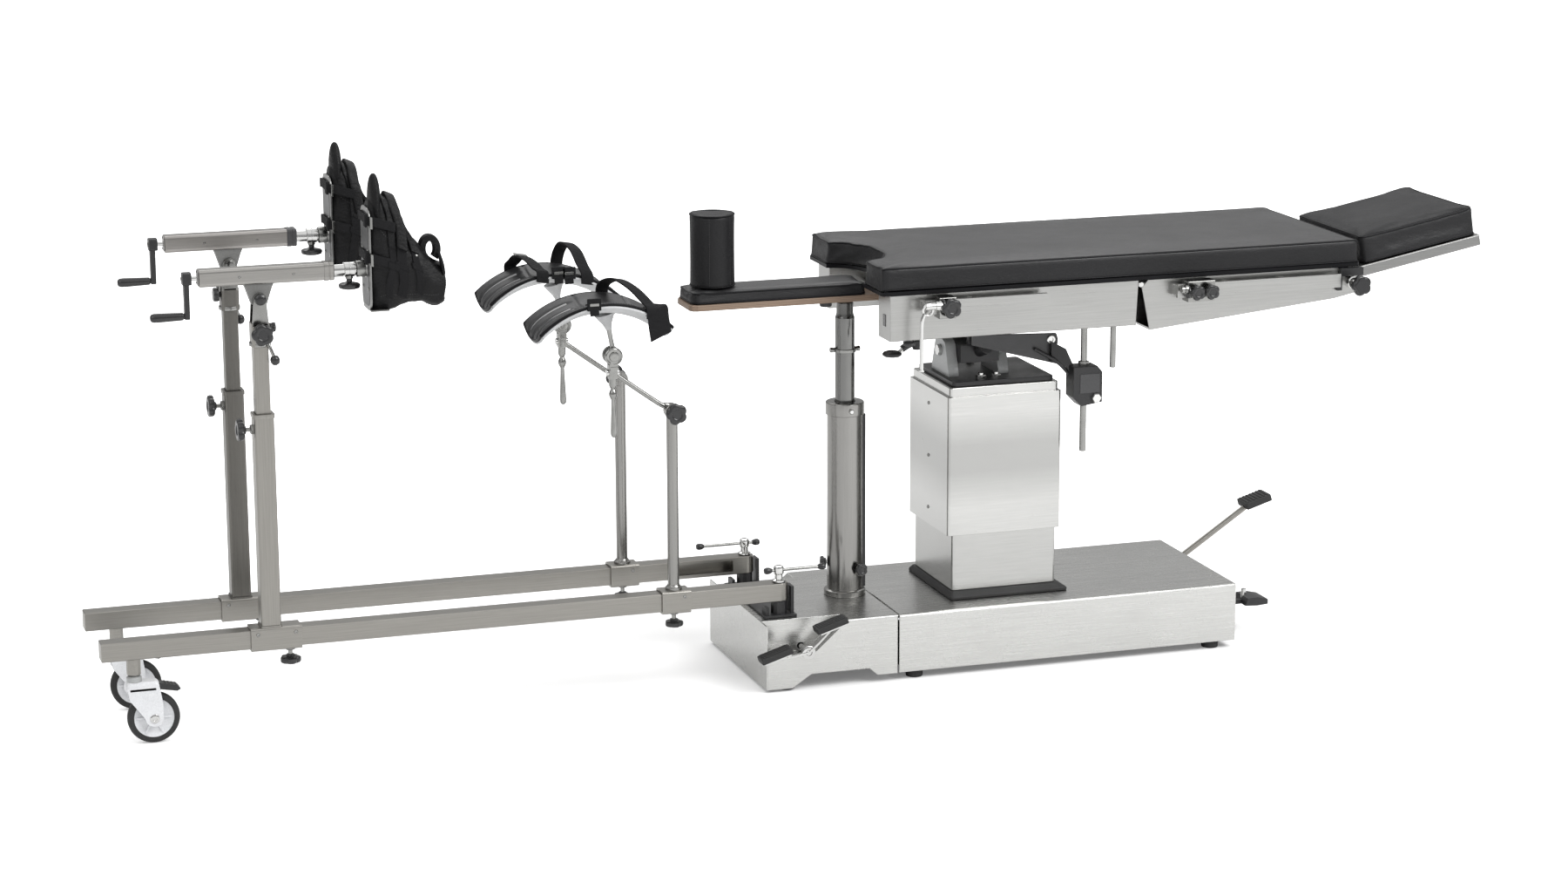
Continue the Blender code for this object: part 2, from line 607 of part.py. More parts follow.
def build_column():
    """The lifted sleeve, the column head and the tilting yoke."""
    sleeve = prism(rounded(OUTER_LEFT, OUTER_RIGHT, -OUTER_HALF_Y, OUTER_HALF_Y, 0.006), "Z", OUTER_BOTTOM,
                   OUTER_TOP)
    step = 0.006
    collar = prism(rounded(OUTER_LEFT + step, OUTER_RIGHT - step, step - OUTER_HALF_Y, OUTER_HALF_Y - step,
                           0.006),
                   "Z", OUTER_TOP - 0.010, COLLAR_TOP, 0.002)
    hollow = prism(rounded(OUTER_LEFT + SHEET, OUTER_RIGHT - SHEET, SHEET - OUTER_HALF_Y,
                           OUTER_HALF_Y - SHEET, 0.003),
                   "Z", OUTER_BOTTOM - 0.01, OUTER_TOP - OUTER_ROOF)
    mouth = prism(rounded(OUTER_LEFT + 0.024, OUTER_RIGHT - 0.024, 0.024 - OUTER_HALF_Y,
                          OUTER_HALF_Y - 0.024, 0.006),
                  "Z", OUTER_TOP - 0.03, COLLAR_TOP + 0.01)
    node("upper_sleeve", "stainless", [sleeve, collar], [hollow, mouth])

    low = COLLAR_TOP + GAP
    plate = prism(rounded(OUTER_LEFT + 0.016, OUTER_RIGHT - 0.014, -0.112, 0.112, 0.006), "Z", low,
                  low + 0.010, 0.002)
    ram = turned((COLUMN_X, 0.0, LIFT_RAM_BOTTOM), (0, 0, 1), [
        (LIFT_RAM_RADIUS - 0.002, 0.0), (LIFT_RAM_RADIUS, 0.002), (LIFT_RAM_RADIUS,
                                                                   low + 0.002 - LIFT_RAM_BOTTOM)],
        SHAFT_SIDES)
    blocks = []
    for x in (BLOCK_LEFT, BLOCK_RIGHT):
        shape = [(-0.056, low + 0.008), (0.056, low + 0.008), (0.034, TILT_Z + 0.018),
                 (0.020, TILT_Z + 0.028),
                 (-0.020, TILT_Z + 0.028), (-0.034, TILT_Z + 0.018)]
        blocks.append(prism(shape, "X", x - BLOCK_WIDTH / 2.0, x + BLOCK_WIDTH / 2.0, 0.002))
    studs = [rod((x, y, low + 0.006), (x, y, low + 0.022), 0.007)
             for x in (0.392, 0.428) for y in (-0.082, 0.082)]
    bore = rod((BLOCK_LEFT - 0.03, 0.0, TILT_Z), (BLOCK_RIGHT + 0.03, 0.0, TILT_Z), TILT_RADIUS + GAP,
               count=SHAFT_SIDES)
    node("column_head", "casting", [plate, ram, blocks, studs], [bore])

    shaft = rod((BLOCK_LEFT - 0.020, 0.0, TILT_Z), (BLOCK_RIGHT + 0.020, 0.0, TILT_Z), TILT_RADIUS,
                count=SHAFT_SIDES)
    inner = BLOCK_WIDTH / 2.0 + GAP
    hub = block((BLOCK_LEFT + inner, BLOCK_RIGHT - inner), (-0.062, 0.062), (TILT_Z - 0.022, TILT_Z + 0.020))
    ears = []
    for side, sign in SIDES:
        low, high = mirrored_y(sign, 0.046, 0.060)
        ears.append(prism([(PIN_X - 0.030, TILT_Z + 0.010), (PIN_X + 0.030, TILT_Z + 0.010),
                           (PIN_X + 0.016, PIN_Z + 0.004),
                           (PIN_X + 0.008, PIN_Z + 0.018), (PIN_X - 0.008, PIN_Z + 0.018), (PIN_X - 0.016,
                                                                                            PIN_Z + 0.004)],
                          "Y", low, high))
    pin = rod((PIN_X, -0.066, PIN_Z), (PIN_X, 0.066, PIN_Z), PIN_RADIUS, count=SHAFT_SIDES)
    strut = rod((PIN_X, -0.058, TILT_Z + 0.004), (PIN_X, -0.104, TILT_Z + 0.020), 0.014)
    wing_y = SPINDLE_Y + 0.034
    wing = prism([(0.362, 0.745), (0.562, 0.737), (0.566, 0.724), (0.560, 0.668), (0.362, 0.722)], "Y",
                 wing_y, wing_y + 0.009)
    bolt = rod((0.548, wing_y - 0.008, 0.724), (0.548, wing_y + 0.008, 0.724), 0.008)
    box_left, box_right = SPINDLE_X - 0.034, SPINDLE_X + 0.036
    box_near, box_far = SPINDLE_Y - 0.024, SPINDLE_Y + 0.022
    stations = ((0.545, (box_far, -0.100), (0.674, 0.722)), (0.574, (-0.136, -0.116), (0.666, 0.706)),
                (box_left + 0.012, (SPINDLE_Y, box_far - 0.001), (0.632, 0.664)))
    arm = loft([[(x, y[0], z[0]), (x, y[1], z[0]), (x, y[1], z[1]), (x, y[0], z[1])] for x, y, z in stations])
    box = prism([(box_left, 0.600), (box_left + 0.020, 0.579), (box_right, 0.586), (box_right, 0.655),
                 (box_right - 0.012, 0.669), (box_left, 0.669)], "Y", box_near, box_far, 0.003)
    nut = rod((box_right - 0.016, box_near - 0.008, 0.606), (box_right - 0.016, box_near + 0.002, 0.606),
              0.011)
    bore = rod((SPINDLE_X, SPINDLE_Y, 0.550), (SPINDLE_X, SPINDLE_Y, 0.700), SPINDLE_RADIUS + GAP,
               count=TURNED_SIDES)
    node("tilt_yoke", "black paint", [hub, shaft, ears, pin, strut, wing, bolt, arm, box, nut], [bore],
         pivot=(BLOCK_LEFT, 0.0, TILT_Z))
    length = FRAME_BOTTOM + 0.008 - SPINDLE_BOTTOM
    spindle = turned((SPINDLE_X, SPINDLE_Y, SPINDLE_BOTTOM), (0, 0, 1), [
        (SPINDLE_RADIUS - 0.001, 0.0), (SPINDLE_RADIUS, 0.001), (SPINDLE_RADIUS, length - 0.002),
        (SPINDLE_RADIUS - 0.002, length)])
    node("tilt_spindle", "chrome", [spindle])


def side_box(outline, sign):
    """One hollow side member of the table top, open at its head end."""
    low, high = mirrored_y(sign, FRAME_HALF_Y - BOX_DEPTH, FRAME_HALF_Y)
    return prism(outline, "Y", low, high, 0.0015)


def side_hollow(outline, sign):
    """The inside of a side member."""
    low, high = mirrored_y(sign, FRAME_HALF_Y - BOX_DEPTH + SHEET, FRAME_HALF_Y - SHEET)
    return prism(outline, "Y", low, high)


def rail(left, right, sign, feet):
    """An accessory rail on its spacers."""
    low, high = mirrored_y(sign, RAIL_Y - RAIL_THICK, RAIL_Y)
    pieces = [prism([(left, RAIL_BOTTOM), (right, RAIL_BOTTOM), (right, RAIL_TOP), (left, RAIL_TOP)], "Y",
                    low, high)]
    low, high = mirrored_y(sign, FRAME_HALF_Y - 0.002, RAIL_Y - RAIL_THICK + 0.002)
    for x in feet:
        pieces.append(block((x, x + 0.012), (low, high), (RAIL_BOTTOM + 0.006, RAIL_TOP - 0.006)))
    return pieces


def clamp_block(left, right, reach):
    """A clamp's body round the near rail, the slot the rail lies in, and the y of its outer face."""
    outer_y = -RAIL_Y - reach
    margin = reach - 0.002
    body = block((left, right), (outer_y, RAIL_THICK - RAIL_Y + 0.013),
                 (RAIL_BOTTOM - margin, RAIL_TOP + margin - 0.002))
    slot = block((left - 0.01, right + 0.01), (-RAIL_Y - GAP, -RAIL_Y + RAIL_THICK + GAP),
                 (RAIL_BOTTOM - GAP, RAIL_TOP + GAP))
    return body, slot, outer_y


def build_seat():
    """The seat frame, its rails and clamp, and the crank under its foot end."""
    outline = [(FRAME_LEFT, FRAME_BOTTOM), (FRAME_BREAK - 0.005, FRAME_BOTTOM), (FRAME_BREAK, FRAME_TOP),
               (FRAME_LEFT, FRAME_TOP)]
    inner = [(FRAME_LEFT + SHEET, FRAME_BOTTOM + SHEET), (FRAME_BREAK + 0.02, FRAME_BOTTOM + SHEET),
             (FRAME_BREAK + 0.02, FRAME_TOP - SHEET), (FRAME_LEFT + SHEET, FRAME_TOP - SHEET)]
    half = FRAME_HALF_Y - BOX_DEPTH
    adds = []
    cuts = []
    for side, sign in SIDES:
        adds.append(side_box(outline, sign))
        cuts.append(side_hollow(inner, sign))
    across = (-half - 0.002, half + 0.002)
    bars = [block((0.262, HINGE_X - 0.016), across, (FRAME_TOP - PANEL, FRAME_TOP)),
            block((BOARD_RIGHT - 0.040, BOARD_RIGHT - 0.002), across,
                  (BOARD_BOTTOM - 0.028, BOARD_BOTTOM - GAP)),
            block((HINGE_X - 0.051, HINGE_X - 0.026), across, (FRAME_TOP - 0.037, FRAME_TOP - 0.002))]
    lug = prism([(PIN_X - 0.028, FRAME_TOP - 0.004), (PIN_X - 0.022, PIN_Z), (PIN_X - 0.012, PIN_Z - 0.020),
                 (PIN_X + 0.012, PIN_Z - 0.020), (PIN_X + 0.022, PIN_Z), (PIN_X + 0.028, FRAME_TOP - 0.004)],
                "Y", -0.040, 0.040)
    bore = rod((PIN_X, -0.06, PIN_Z), (PIN_X, 0.06, PIN_Z), PIN_RADIUS + GAP, count=SHAFT_SIDES)
    hinge_bars = []
    hinge_bores = []
    rails = []
    for side, sign in SIDES:
        low, high = mirrored_y(sign, HINGE_INNER_Y, HINGE_MIDDLE_Y)
        hinge_bars.append(block((HINGE_X - 0.036, HINGE_X), (low, high), (HINGE_Z - 0.012, HINGE_Z + 0.008)))
        hinge_bars.append(rod((HINGE_X, low, HINGE_Z), (HINGE_X, high, HINGE_Z), KNUCKLE_RADIUS,
                              count=SHAFT_SIDES))
        hinge_bores.append(rod((HINGE_X, low - 0.01, HINGE_Z), (HINGE_X, high + 0.01, HINGE_Z),
                               HINGE_PIN + GAP))
        rails.append(rail(0.189, 0.473, sign, (0.190, 0.300, 0.455)))
    guide = rod((0.663, -0.190, 0.670), (0.663, -0.190, FRAME_BOTTOM + 0.004), 0.006)
    crank_boss = turned((CRANK_X, CRANK_Y, FRAME_BOTTOM - 0.010), (0, 0, 1), [(0.016, 0.0), (0.016, 0.056)])
    crank_bar = block((CRANK_X - 0.009, CRANK_X + 0.009), (across[0], CRANK_Y + 0.014),
                      (FRAME_BOTTOM + 0.012, FRAME_BOTTOM + 0.041))
    crank_bore = rod((CRANK_X, CRANK_Y, CRANK_Z - 0.002), (CRANK_X, CRANK_Y, CRANK_Z + 0.053),
                     CRANK_RADIUS + GAP,
                     count=TURNED_SIDES)
    lock = star_knob((0.170, -FRAME_HALF_Y + 0.018, FRAME_BOTTOM + 0.001), (0, 0, -1), 0.012, 0.008, 0.006)
    node("seat_frame", "stainless", [adds, bars, lug, hinge_bars, rails, guide, crank_boss, crank_bar, lock],
         [cuts, bore, hinge_bores, crank_bore], pivot=(PIN_X, 0.0, PIN_Z))

    x, y, z = CRANK_X, CRANK_Y, CRANK_Z
    shaft = turned((x, y, z - 0.010), (0, 0, 1), [
        (CRANK_RADIUS + 0.003, 0.0), (CRANK_RADIUS + 0.003, 0.020), (CRANK_RADIUS, 0.022), (CRANK_RADIUS,
                                                                                            0.060)])
    grip = swept([(x, y, z), (x - 0.015, y, z + 0.003), (x - 0.035, y, z - 0.007)], 0.008)
    elbow = swept([(x - 0.031, y, z - 0.005), (x - 0.043, y, z - 0.015), (x - 0.058, y, z - 0.016)], 0.005)
    disc = turned((x - 0.058, y, z - 0.023), (0, 0, 1), [(0.012, 0.0), (0.021, 0.004), (0.021, 0.010),
                                                         (0.012, 0.014)])
    node("table_crank", "black paint", [shaft, grip, elbow, disc], pivot=(x, y, z))

    left, right = 0.207, 0.257
    body, slot, outer_y = clamp_block(left, right, 0.012)
    stem = KNOB_REACH - 0.001 + outer_y - 0.013
    knob = star_knob(((left + right) / 2.0, outer_y, RAIL_TOP - 0.014), (0, -1, 0), 0.022, 0.013, stem)
    hook_x = left - 0.031
    hook_y = outer_y - 0.003
    hook = swept([(left + 0.006, hook_y, RAIL_TOP - 0.010), (hook_x + 0.016, hook_y, RAIL_TOP - 0.006),
                  (hook_x + 0.004, hook_y, RAIL_TOP - 0.014), (hook_x, hook_y, RAIL_BOTTOM), (hook_x, hook_y,
                                                                                              0.715)], 0.006)
    collar = turned((hook_x + 0.018, hook_y, RAIL_TOP - 0.006), (1, 0, 0),
                    [(0.010, 0.0), (0.012, 0.003), (0.012, 0.014)])
    node("rail_clamp", "chrome", [body, knob, hook, collar], [slot])


def pad_outline(left, right, radius):
    """The plan of one length of the main cushion."""
    return rounded(left, right, -PAD_HALF_Y, PAD_HALF_Y, radius)


def cushion(outline, low, high, edge=0.010):
    """A flat pad with softened edges all round."""
    mid = inset(outline, edge * 0.3)
    inner = inset(outline, edge)
    return loft([
        [(x, y, low) for x, y in inner], [(x, y, low + edge * 0.3) for x, y in mid],
        [(x, y, low + edge) for x, y in outline], [(x, y, high - edge) for x, y in outline],
        [(x, y, high - edge * 0.3) for x, y in mid], [(x, y, high) for x, y in inner],
    ])


def build_pads():
    """The main cushion in three lengths, the pelvic board with its pad, and the post."""
    bend_left = HINGE_X - BEND_HALF
    bend_right = HINGE_X + BEND_HALF
    seat = cushion(pad_outline(PAD_LEFT, bend_left - GAP / 2.0, 0.012), PAD_BOTTOM, PAD_TOP)
    notch = []
    for i in range(17):
        angle = math.radians(-90.0 + 180.0 * i / 16.0)
        notch.append((PAD_LEFT + NOTCH_DEPTH * math.cos(angle), NOTCH_HALF_Y * math.sin(angle)))
    notch = notch + [(PAD_LEFT - 0.02, NOTCH_HALF_Y + 0.012), (PAD_LEFT - 0.02, -NOTCH_HALF_Y - 0.012)]
    node("seat_pad", "black vinyl", [seat], [prism(notch, "Z", PAD_BOTTOM - 0.01, PAD_TOP + 0.01)])
    bend = cushion(pad_outline(bend_left + GAP / 2.0, bend_right - GAP / 2.0, 0.004), PAD_BOTTOM, PAD_TOP,
                   0.004)
    node("pad_bend", "black vinyl", [bend])
    back = cushion(pad_outline(bend_right + GAP / 2.0, PAD_RIGHT, 0.012), PAD_BOTTOM, PAD_TOP)
    node("back_pad", "black vinyl", [back], pivot=(HINGE_X, 0.0, HINGE_Z))

    board = prism(rounded(BOARD_LEFT, BOARD_RIGHT, -BOARD_HALF_Y, BOARD_HALF_Y, 0.016), "Z", BOARD_BOTTOM,
                  BOARD_TOP, 0.002)
    clips = [turned((0.045, y, BOARD_BOTTOM - 0.012), (0, 0, 1),
                    [(0.010, 0.0), (0.013, 0.003), (0.013, 0.014)])
             for y in (-0.030, 0.030)]
    node("pelvic_board", "laminate", [board, clips])
    hole = rod((POST_X, 0.0, BOARD_BOTTOM), (POST_X, 0.0, PELVIC_PAD_TOP + 0.01), POST_PIN + GAP,
               count=SHAFT_SIDES)
    pelvic = cushion(rounded(BOARD_LEFT + 0.001, PELVIC_PAD_RIGHT, -BOARD_HALF_Y - 0.002,
                             BOARD_HALF_Y + 0.002, 0.018),
                     BOARD_TOP + GAP, PELVIC_PAD_TOP, 0.007)
    node("pelvic_pad", "black vinyl", [pelvic], [hole])
    low = PELVIC_PAD_TOP + GAP
    post = turned((POST_X, 0.0, low), (0, 0, 1), [
        (POST_RADIUS - 0.006, 0.0), (POST_RADIUS, 0.006), (POST_RADIUS, POST_TOP - low - 0.008),
        (POST_RADIUS - 0.003, POST_TOP - low - 0.002), (POST_RADIUS - 0.009, POST_TOP - low)], SHAFT_SIDES)
    pin = rod((POST_X, 0.0, BOARD_TOP + GAP), (POST_X, 0.0, low + 0.01), POST_PIN, count=SHAFT_SIDES)
    node("perineal_post", "black vinyl", [post, pin])


def build_back():
    """The back frame with its rails and knobs, its clamp, and the head section."""
    outline = [(HINGE_X + 0.0025, 0.855), (BACK_LEFT - 0.006, 0.758), (BACK_TAPER_X, 0.801),
               (BACK_RIGHT, 0.815),
               (BACK_RIGHT, 0.858), (BACK_PANEL_RIGHT, FRAME_TOP), (0.722, FRAME_TOP)]
    inner = [(BACK_LEFT, 0.763), (BACK_TAPER_X, 0.8045), (BACK_RIGHT - SHEET, 0.8185),
             (BACK_RIGHT - SHEET, 0.8545),
             (BACK_PANEL_RIGHT - 0.001, FRAME_TOP - SHEET), (0.727, FRAME_TOP - SHEET), (0.690,
                                                                                         0.850), (0.690,
                                                                                                  0.763)]
    half = FRAME_HALF_Y - BOX_DEPTH
    adds = []
    cuts = []
    hinge = []
    knobs = []
    rails = []
    head_lugs = []
    for side, sign in SIDES:
        adds.append(side_box(outline, sign))
        cuts.append(side_hollow(inner, sign))
        low, high = mirrored_y(sign, HINGE_MIDDLE_Y + GAP, half + 0.002)
        hinge.append(block((HINGE_X + 0.004, HINGE_X + 0.039), (low, high),
                           (HINGE_Z - 0.012, HINGE_Z + 0.005)))
        low, high = mirrored_y(sign, HINGE_MIDDLE_Y + GAP, half - GAP)
        hinge.append(rod((HINGE_X, low, HINGE_Z), (HINGE_X, high, HINGE_Z), KNUCKLE_RADIUS,
                         count=SHAFT_SIDES))
        low, high = mirrored_y(sign, HINGE_INNER_Y - 0.004, HINGE_MIDDLE_Y + 0.005)
        hinge.append(rod((HINGE_X, low, HINGE_Z), (HINGE_X, high, HINGE_Z), HINGE_PIN))
        rails.append(rail(0.781, BACK_TAPER_X, sign, (0.783, 0.905, 1.040, 1.160)))
        root = (BACK_KNOB_X, sign * (FRAME_HALF_Y - 0.002), KNOB_Z)
        knobs.append(star_knob(root, (0, sign, 0), 0.022, 0.016, KNOB_REACH - FRAME_HALF_Y + 0.002 - 0.016))
        knobs.append(turned(root, (0, sign, 0), [(0.013, 0.0), (0.013, 0.022)]))
        low, high = mirrored_y(sign, 0.134, 0.143)
        head_lugs.append(prism([(BACK_PANEL_RIGHT - 0.010, 0.833), (HEAD_X, HEAD_Z - 0.014),
                                (HEAD_X + 0.012, HEAD_Z - 0.006),
                                (HEAD_X + 0.012, HEAD_Z + 0.008), (HEAD_X,
                                                                   HEAD_Z + 0.016), (BACK_PANEL_RIGHT - 0.010, 0.866)],
                               "Y", low, high))
        cuts.append(rod((HEAD_X, low - 0.005, HEAD_Z), (HEAD_X, high + 0.005, HEAD_Z), HEAD_PIN + GAP,
                        count=SHAFT_SIDES))
    across = (-half - 0.002, half + 0.002)
    bars = [block((BACK_LEFT, BACK_PANEL_RIGHT), across, (FRAME_TOP - PANEL, FRAME_TOP)),
            block((BACK_PANEL_RIGHT - 0.013, BACK_PANEL_RIGHT + 0.005), across, (0.828, FRAME_TOP - 0.002))]
    stop = rod((1.202, -0.150, 0.785), (1.202, -0.150, 0.834), 0.006)
    node("back_frame", "stainless", [adds, bars, hinge, rails, knobs, head_lugs, stop], cuts,
         pivot=(HINGE_X, 0.0, HINGE_Z))

    left, right = 0.800, 0.868
    body, slot, outer_y = clamp_block(left, right, 0.010)
    stem = KNOB_REACH - 0.001 + outer_y - 0.012
    knobs = [star_knob((x, outer_y, RAIL_TOP - 0.016), (0, -1, 0), 0.0165, 0.012,
                       stem) for x in (left + 0.017, right - 0.017)]
    node("back_rail_clamp", "chrome", [body, knobs], [slot], pivot=(HINGE_X, 0.0, HINGE_Z))

    def at(along, up):
        return (HEAD_X + along * math.cos(HEAD_ANGLE) - up * math.sin(HEAD_ANGLE),
                HEAD_Z + along * math.sin(HEAD_ANGLE) + up * math.cos(HEAD_ANGLE))

    low = HEAD_PLATE_LOW
    top = low + HEAD_PLATE
    start = HEAD_PLATE_LEFT
    plate = prism([at(start, low + 0.005), at(start + 0.010, low), at(HEAD_LENGTH, low),
                   at(HEAD_LENGTH, top), at(start, top)],
                  "Y", -HEAD_HALF_Y, HEAD_HALF_Y, 0.002)
    arms = []
    for side, sign in SIDES:
        y = mirrored_y(sign, 0.106, 0.128)
        arms.append(prism([at(0.0, -0.012), at(0.060, -0.012), at(0.060, 0.002), at(0.0, 0.012),
                           at(-0.010, 0.007),
                           at(-0.010, -0.007)], "Y", y[0], y[1]))
        low_y, high_y = mirrored_y(sign, 0.108, 0.150)
        arms.append(rod((HEAD_X, low_y, HEAD_Z), (HEAD_X, high_y, HEAD_Z), HEAD_PIN, count=SHAFT_SIDES))
    node("head_plate", "stainless", [plate, arms], pivot=(HEAD_X, 0.0, HEAD_Z))
    rise = top + GAP
    edge = 0.010
    rings = []
    for shrink, up in ((edge, 0.0), (edge * 0.3, edge * 0.3), (0.0, edge), (0.0, HEAD_PAD - edge),
                       (edge * 0.3, HEAD_PAD - edge * 0.3), (edge, HEAD_PAD)):
        plan = inset(rounded(HEAD_PAD_LEFT, HEAD_LENGTH - 0.001, -HEAD_HALF_Y, HEAD_HALF_Y, 0.020), shrink)
        rings.append([(at(a, rise + up)[0], b, at(a, rise + up)[1]) for a, b in plan])
    node("head_pad", "black vinyl", [loft(rings)], pivot=(HEAD_X, 0.0, HEAD_Z))


def build_bridge():
    """The black saddles on the deck that carry the two beams."""
    low = BASE_TOP + GAP
    root = low + 0.002
    beam_bottom = BEAM_Z - BEAM_HALF
    deck = block((BEAM_PIVOT_X - 0.040, BEAM_PIVOT_X + 0.034), (-BEAM_Y - 0.025, BEAM_Y + 0.025),
                 (low, low + 0.005))
    pieces = [deck]
    bores = []
    for side, sign in SIDES:
        y = sign * BEAM_Y
        wide = (y - 0.016, y + 0.016)
        pieces.append(turned((BEAM_PIVOT_X, y, root), (0, 0, 1),
                             [(0.018, 0.0), (0.018, beam_bottom - GAP - root)]))
        pieces.append(block((BEAM_PIVOT_X + BEAM_HALF + 0.003, BEAM_PIVOT_X + BEAM_HALF + 0.010), wide,
                            (root, BEAM_Z + 0.0115)))
        pieces.append(block((BEAM_PIVOT_X - 0.034, BEAM_PIVOT_X - 0.027), wide, (root, beam_bottom - 0.0135)))
        bores.append(rod((BEAM_PIVOT_X, y, low + 0.004), (BEAM_PIVOT_X, y, BEAM_Z), SCREW_RADIUS + GAP,
                         count=TURNED_SIDES))
    node("beam_pivot_bridge", "black paint", pieces, bores)


def sleeve_on_beam(left, right, y):
    """A square sleeve round a beam, and the space it slides on."""
    wall = 0.0045
    out = BEAM_HALF + GAP + wall
    sleeve = prism(rounded(y - out, y + out, BEAM_Z - out, BEAM_Z + out, 0.003, 1), "X", left, right)
    run = BEAM_HALF + GAP
    hole = prism(rounded(y - run, y + run, BEAM_Z - run, BEAM_Z + run, 0.002, 1), "X", left - 0.01,
                 right + 0.01)
    return sleeve, hole


def build_traction(side, sign):
    """One beam with its screw, caster, upright, traction unit and boot."""
    y = sign * BEAM_Y
    half_turn = [(BEAM_PIVOT_X + BEAM_HALF * math.sin(math.radians(a)),
                  y + BEAM_HALF * math.cos(math.radians(a)))
                 for a in range(0, 181, 15)]
    plan = half_turn + [(BEAM_LEFT, y - BEAM_HALF), (BEAM_LEFT, y + BEAM_HALF)]
    bar = prism(plan, "Z", BEAM_Z - BEAM_HALF, BEAM_Z + BEAM_HALF, 0.0015)
    inner = BEAM_HALF - TUBE_WALL
    hollow = block((BEAM_LEFT + TUBE_WALL, BEAM_PIVOT_X - 0.028), (y - inner, y + inner),
                   (BEAM_Z - inner, BEAM_Z + inner))
    low, high = mirrored_y(sign, BEAM_Y - BEAM_HALF - 0.01, BEAM_Y - BEAM_HALF + 0.01)
    window = block((-0.260, -0.130), (low, high), (BEAM_Z - 0.012, BEAM_Z + 0.013))
    boss_z = SWIVEL_Z + 0.020
    boss = turned((CASTER_X, y, boss_z), (0, 0, 1),
                  [(0.013, 0.0), (0.015, 0.002), (0.015, BEAM_Z - BEAM_HALF + 0.002 - boss_z)])
    socket = rod((CASTER_X, y, SWIVEL_Z + 0.010), (CASTER_X, y, SWIVEL_Z + 0.052), STEM_RADIUS + GAP,
                 count=TURNED_SIDES)
    pivot_bore = rod((BEAM_PIVOT_X, y, 0.15), (BEAM_PIVOT_X, y, 0.25), SCREW_RADIUS + GAP, count=TURNED_SIDES)
    node(f"beam_{side}", "tube steel", [bar, boss], [hollow, window, socket, pivot_bore],
         pivot=(BEAM_PIVOT_X, y, BEAM_Z))

    shaft = turned((BEAM_PIVOT_X, y, BASE_TOP + 0.0055), (0, 0, 1), [
        (SCREW_RADIUS, 0.0), (SCREW_RADIUS, 0.0705), (0.014, 0.0715), (0.014, 0.075),
        (0.009, 0.078), (0.009, 0.087), (0.011, 0.089), (0.011, 0.104), (0.008, 0.108)])
    bar_left, bar_right = {"left": (BEAM_PIVOT_X - 0.032, BEAM_PIVOT_X + 0.107),
                           "right": (BEAM_PIVOT_X - 0.112, BEAM_PIVOT_X + 0.034)}[side]
    z = SCREW_BAR_Z
    handle = rod((bar_left, y, z), (bar_right, y, z), 0.0035)
    ends = [turned((start, y, z), (1, 0, 0), [(0.005, 0.0), (0.007, 0.003), (0.007, 0.016), (0.005, 0.019)],
                   ROD_SIDES)
            for start in (bar_left - 0.002, bar_right - 0.017)]
    node(f"clamp_screw_{side}", "chrome", [shaft, handle, ends], pivot=(BEAM_PIVOT_X, y, z))

    stem = turned((CASTER_X, y, SWIVEL_Z - 0.010), (0, 0, 1), [(STEM_RADIUS, 0.0), (STEM_RADIUS, 0.058)])
    crown = prism(rounded(CASTER_X - 0.020, WHEEL_X + 0.014, y - 0.0185, y + 0.0185, 0.008), "Z", 0.116,
                  0.136, 0.003)
    cheeks = []
    for out in (-1.0, 1.0):
        low, high = sorted((y + out * 0.0135, y + out * 0.0185))
        cheeks.append(prism([(CASTER_X - 0.018, 0.122), (CASTER_X - 0.012, 0.096), (WHEEL_X - 0.020, 0.048),
                             (WHEEL_X - 0.008, 0.038), (WHEEL_X + 0.010, 0.038), (WHEEL_X + 0.020, 0.050),
                             (WHEEL_X + 0.018, 0.090), (WHEEL_X + 0.012, 0.122)], "Y", low, high))
    axle = rod((WHEEL_X, y - 0.016, WHEEL_RADIUS), (WHEEL_X, y + 0.016, WHEEL_RADIUS), AXLE_RADIUS)
    pedal = prism([(WHEEL_X + 0.006, 0.118), (WHEEL_X + 0.050, 0.110), (WHEEL_X + 0.058, 0.114),
                   (WHEEL_X + 0.050, 0.121),
                   (WHEEL_X + 0.006, 0.131)], "Y", y - 0.014, y + 0.014, 0.002)
    node(f"caster_fork_{side}", "caster plastic", [stem, crown, cheeks, axle, pedal],
         pivot=(CASTER_X, y, SWIVEL_Z))
    wide = WHEEL_WIDTH / 2.0
    wheel = turned((WHEEL_X, y - wide, WHEEL_RADIUS), (0, 1, 0), [
        (WHEEL_RADIUS - 0.010, 0.0), (WHEEL_RADIUS - 0.003, 0.002), (WHEEL_RADIUS, 0.007), (WHEEL_RADIUS,
                                                                                            WHEEL_WIDTH - 0.007),
        (WHEEL_RADIUS - 0.003, WHEEL_WIDTH - 0.002), (WHEEL_RADIUS - 0.010, WHEEL_WIDTH)], SHAFT_SIDES)
    bore = rod((WHEEL_X, y - 0.03, WHEEL_RADIUS), (WHEEL_X, y + 0.03, WHEEL_RADIUS), AXLE_RADIUS + GAP)
    node(f"caster_wheel_{side}", "tyre rubber", [wheel], [bore], pivot=(WHEEL_X, y, WHEEL_RADIUS))

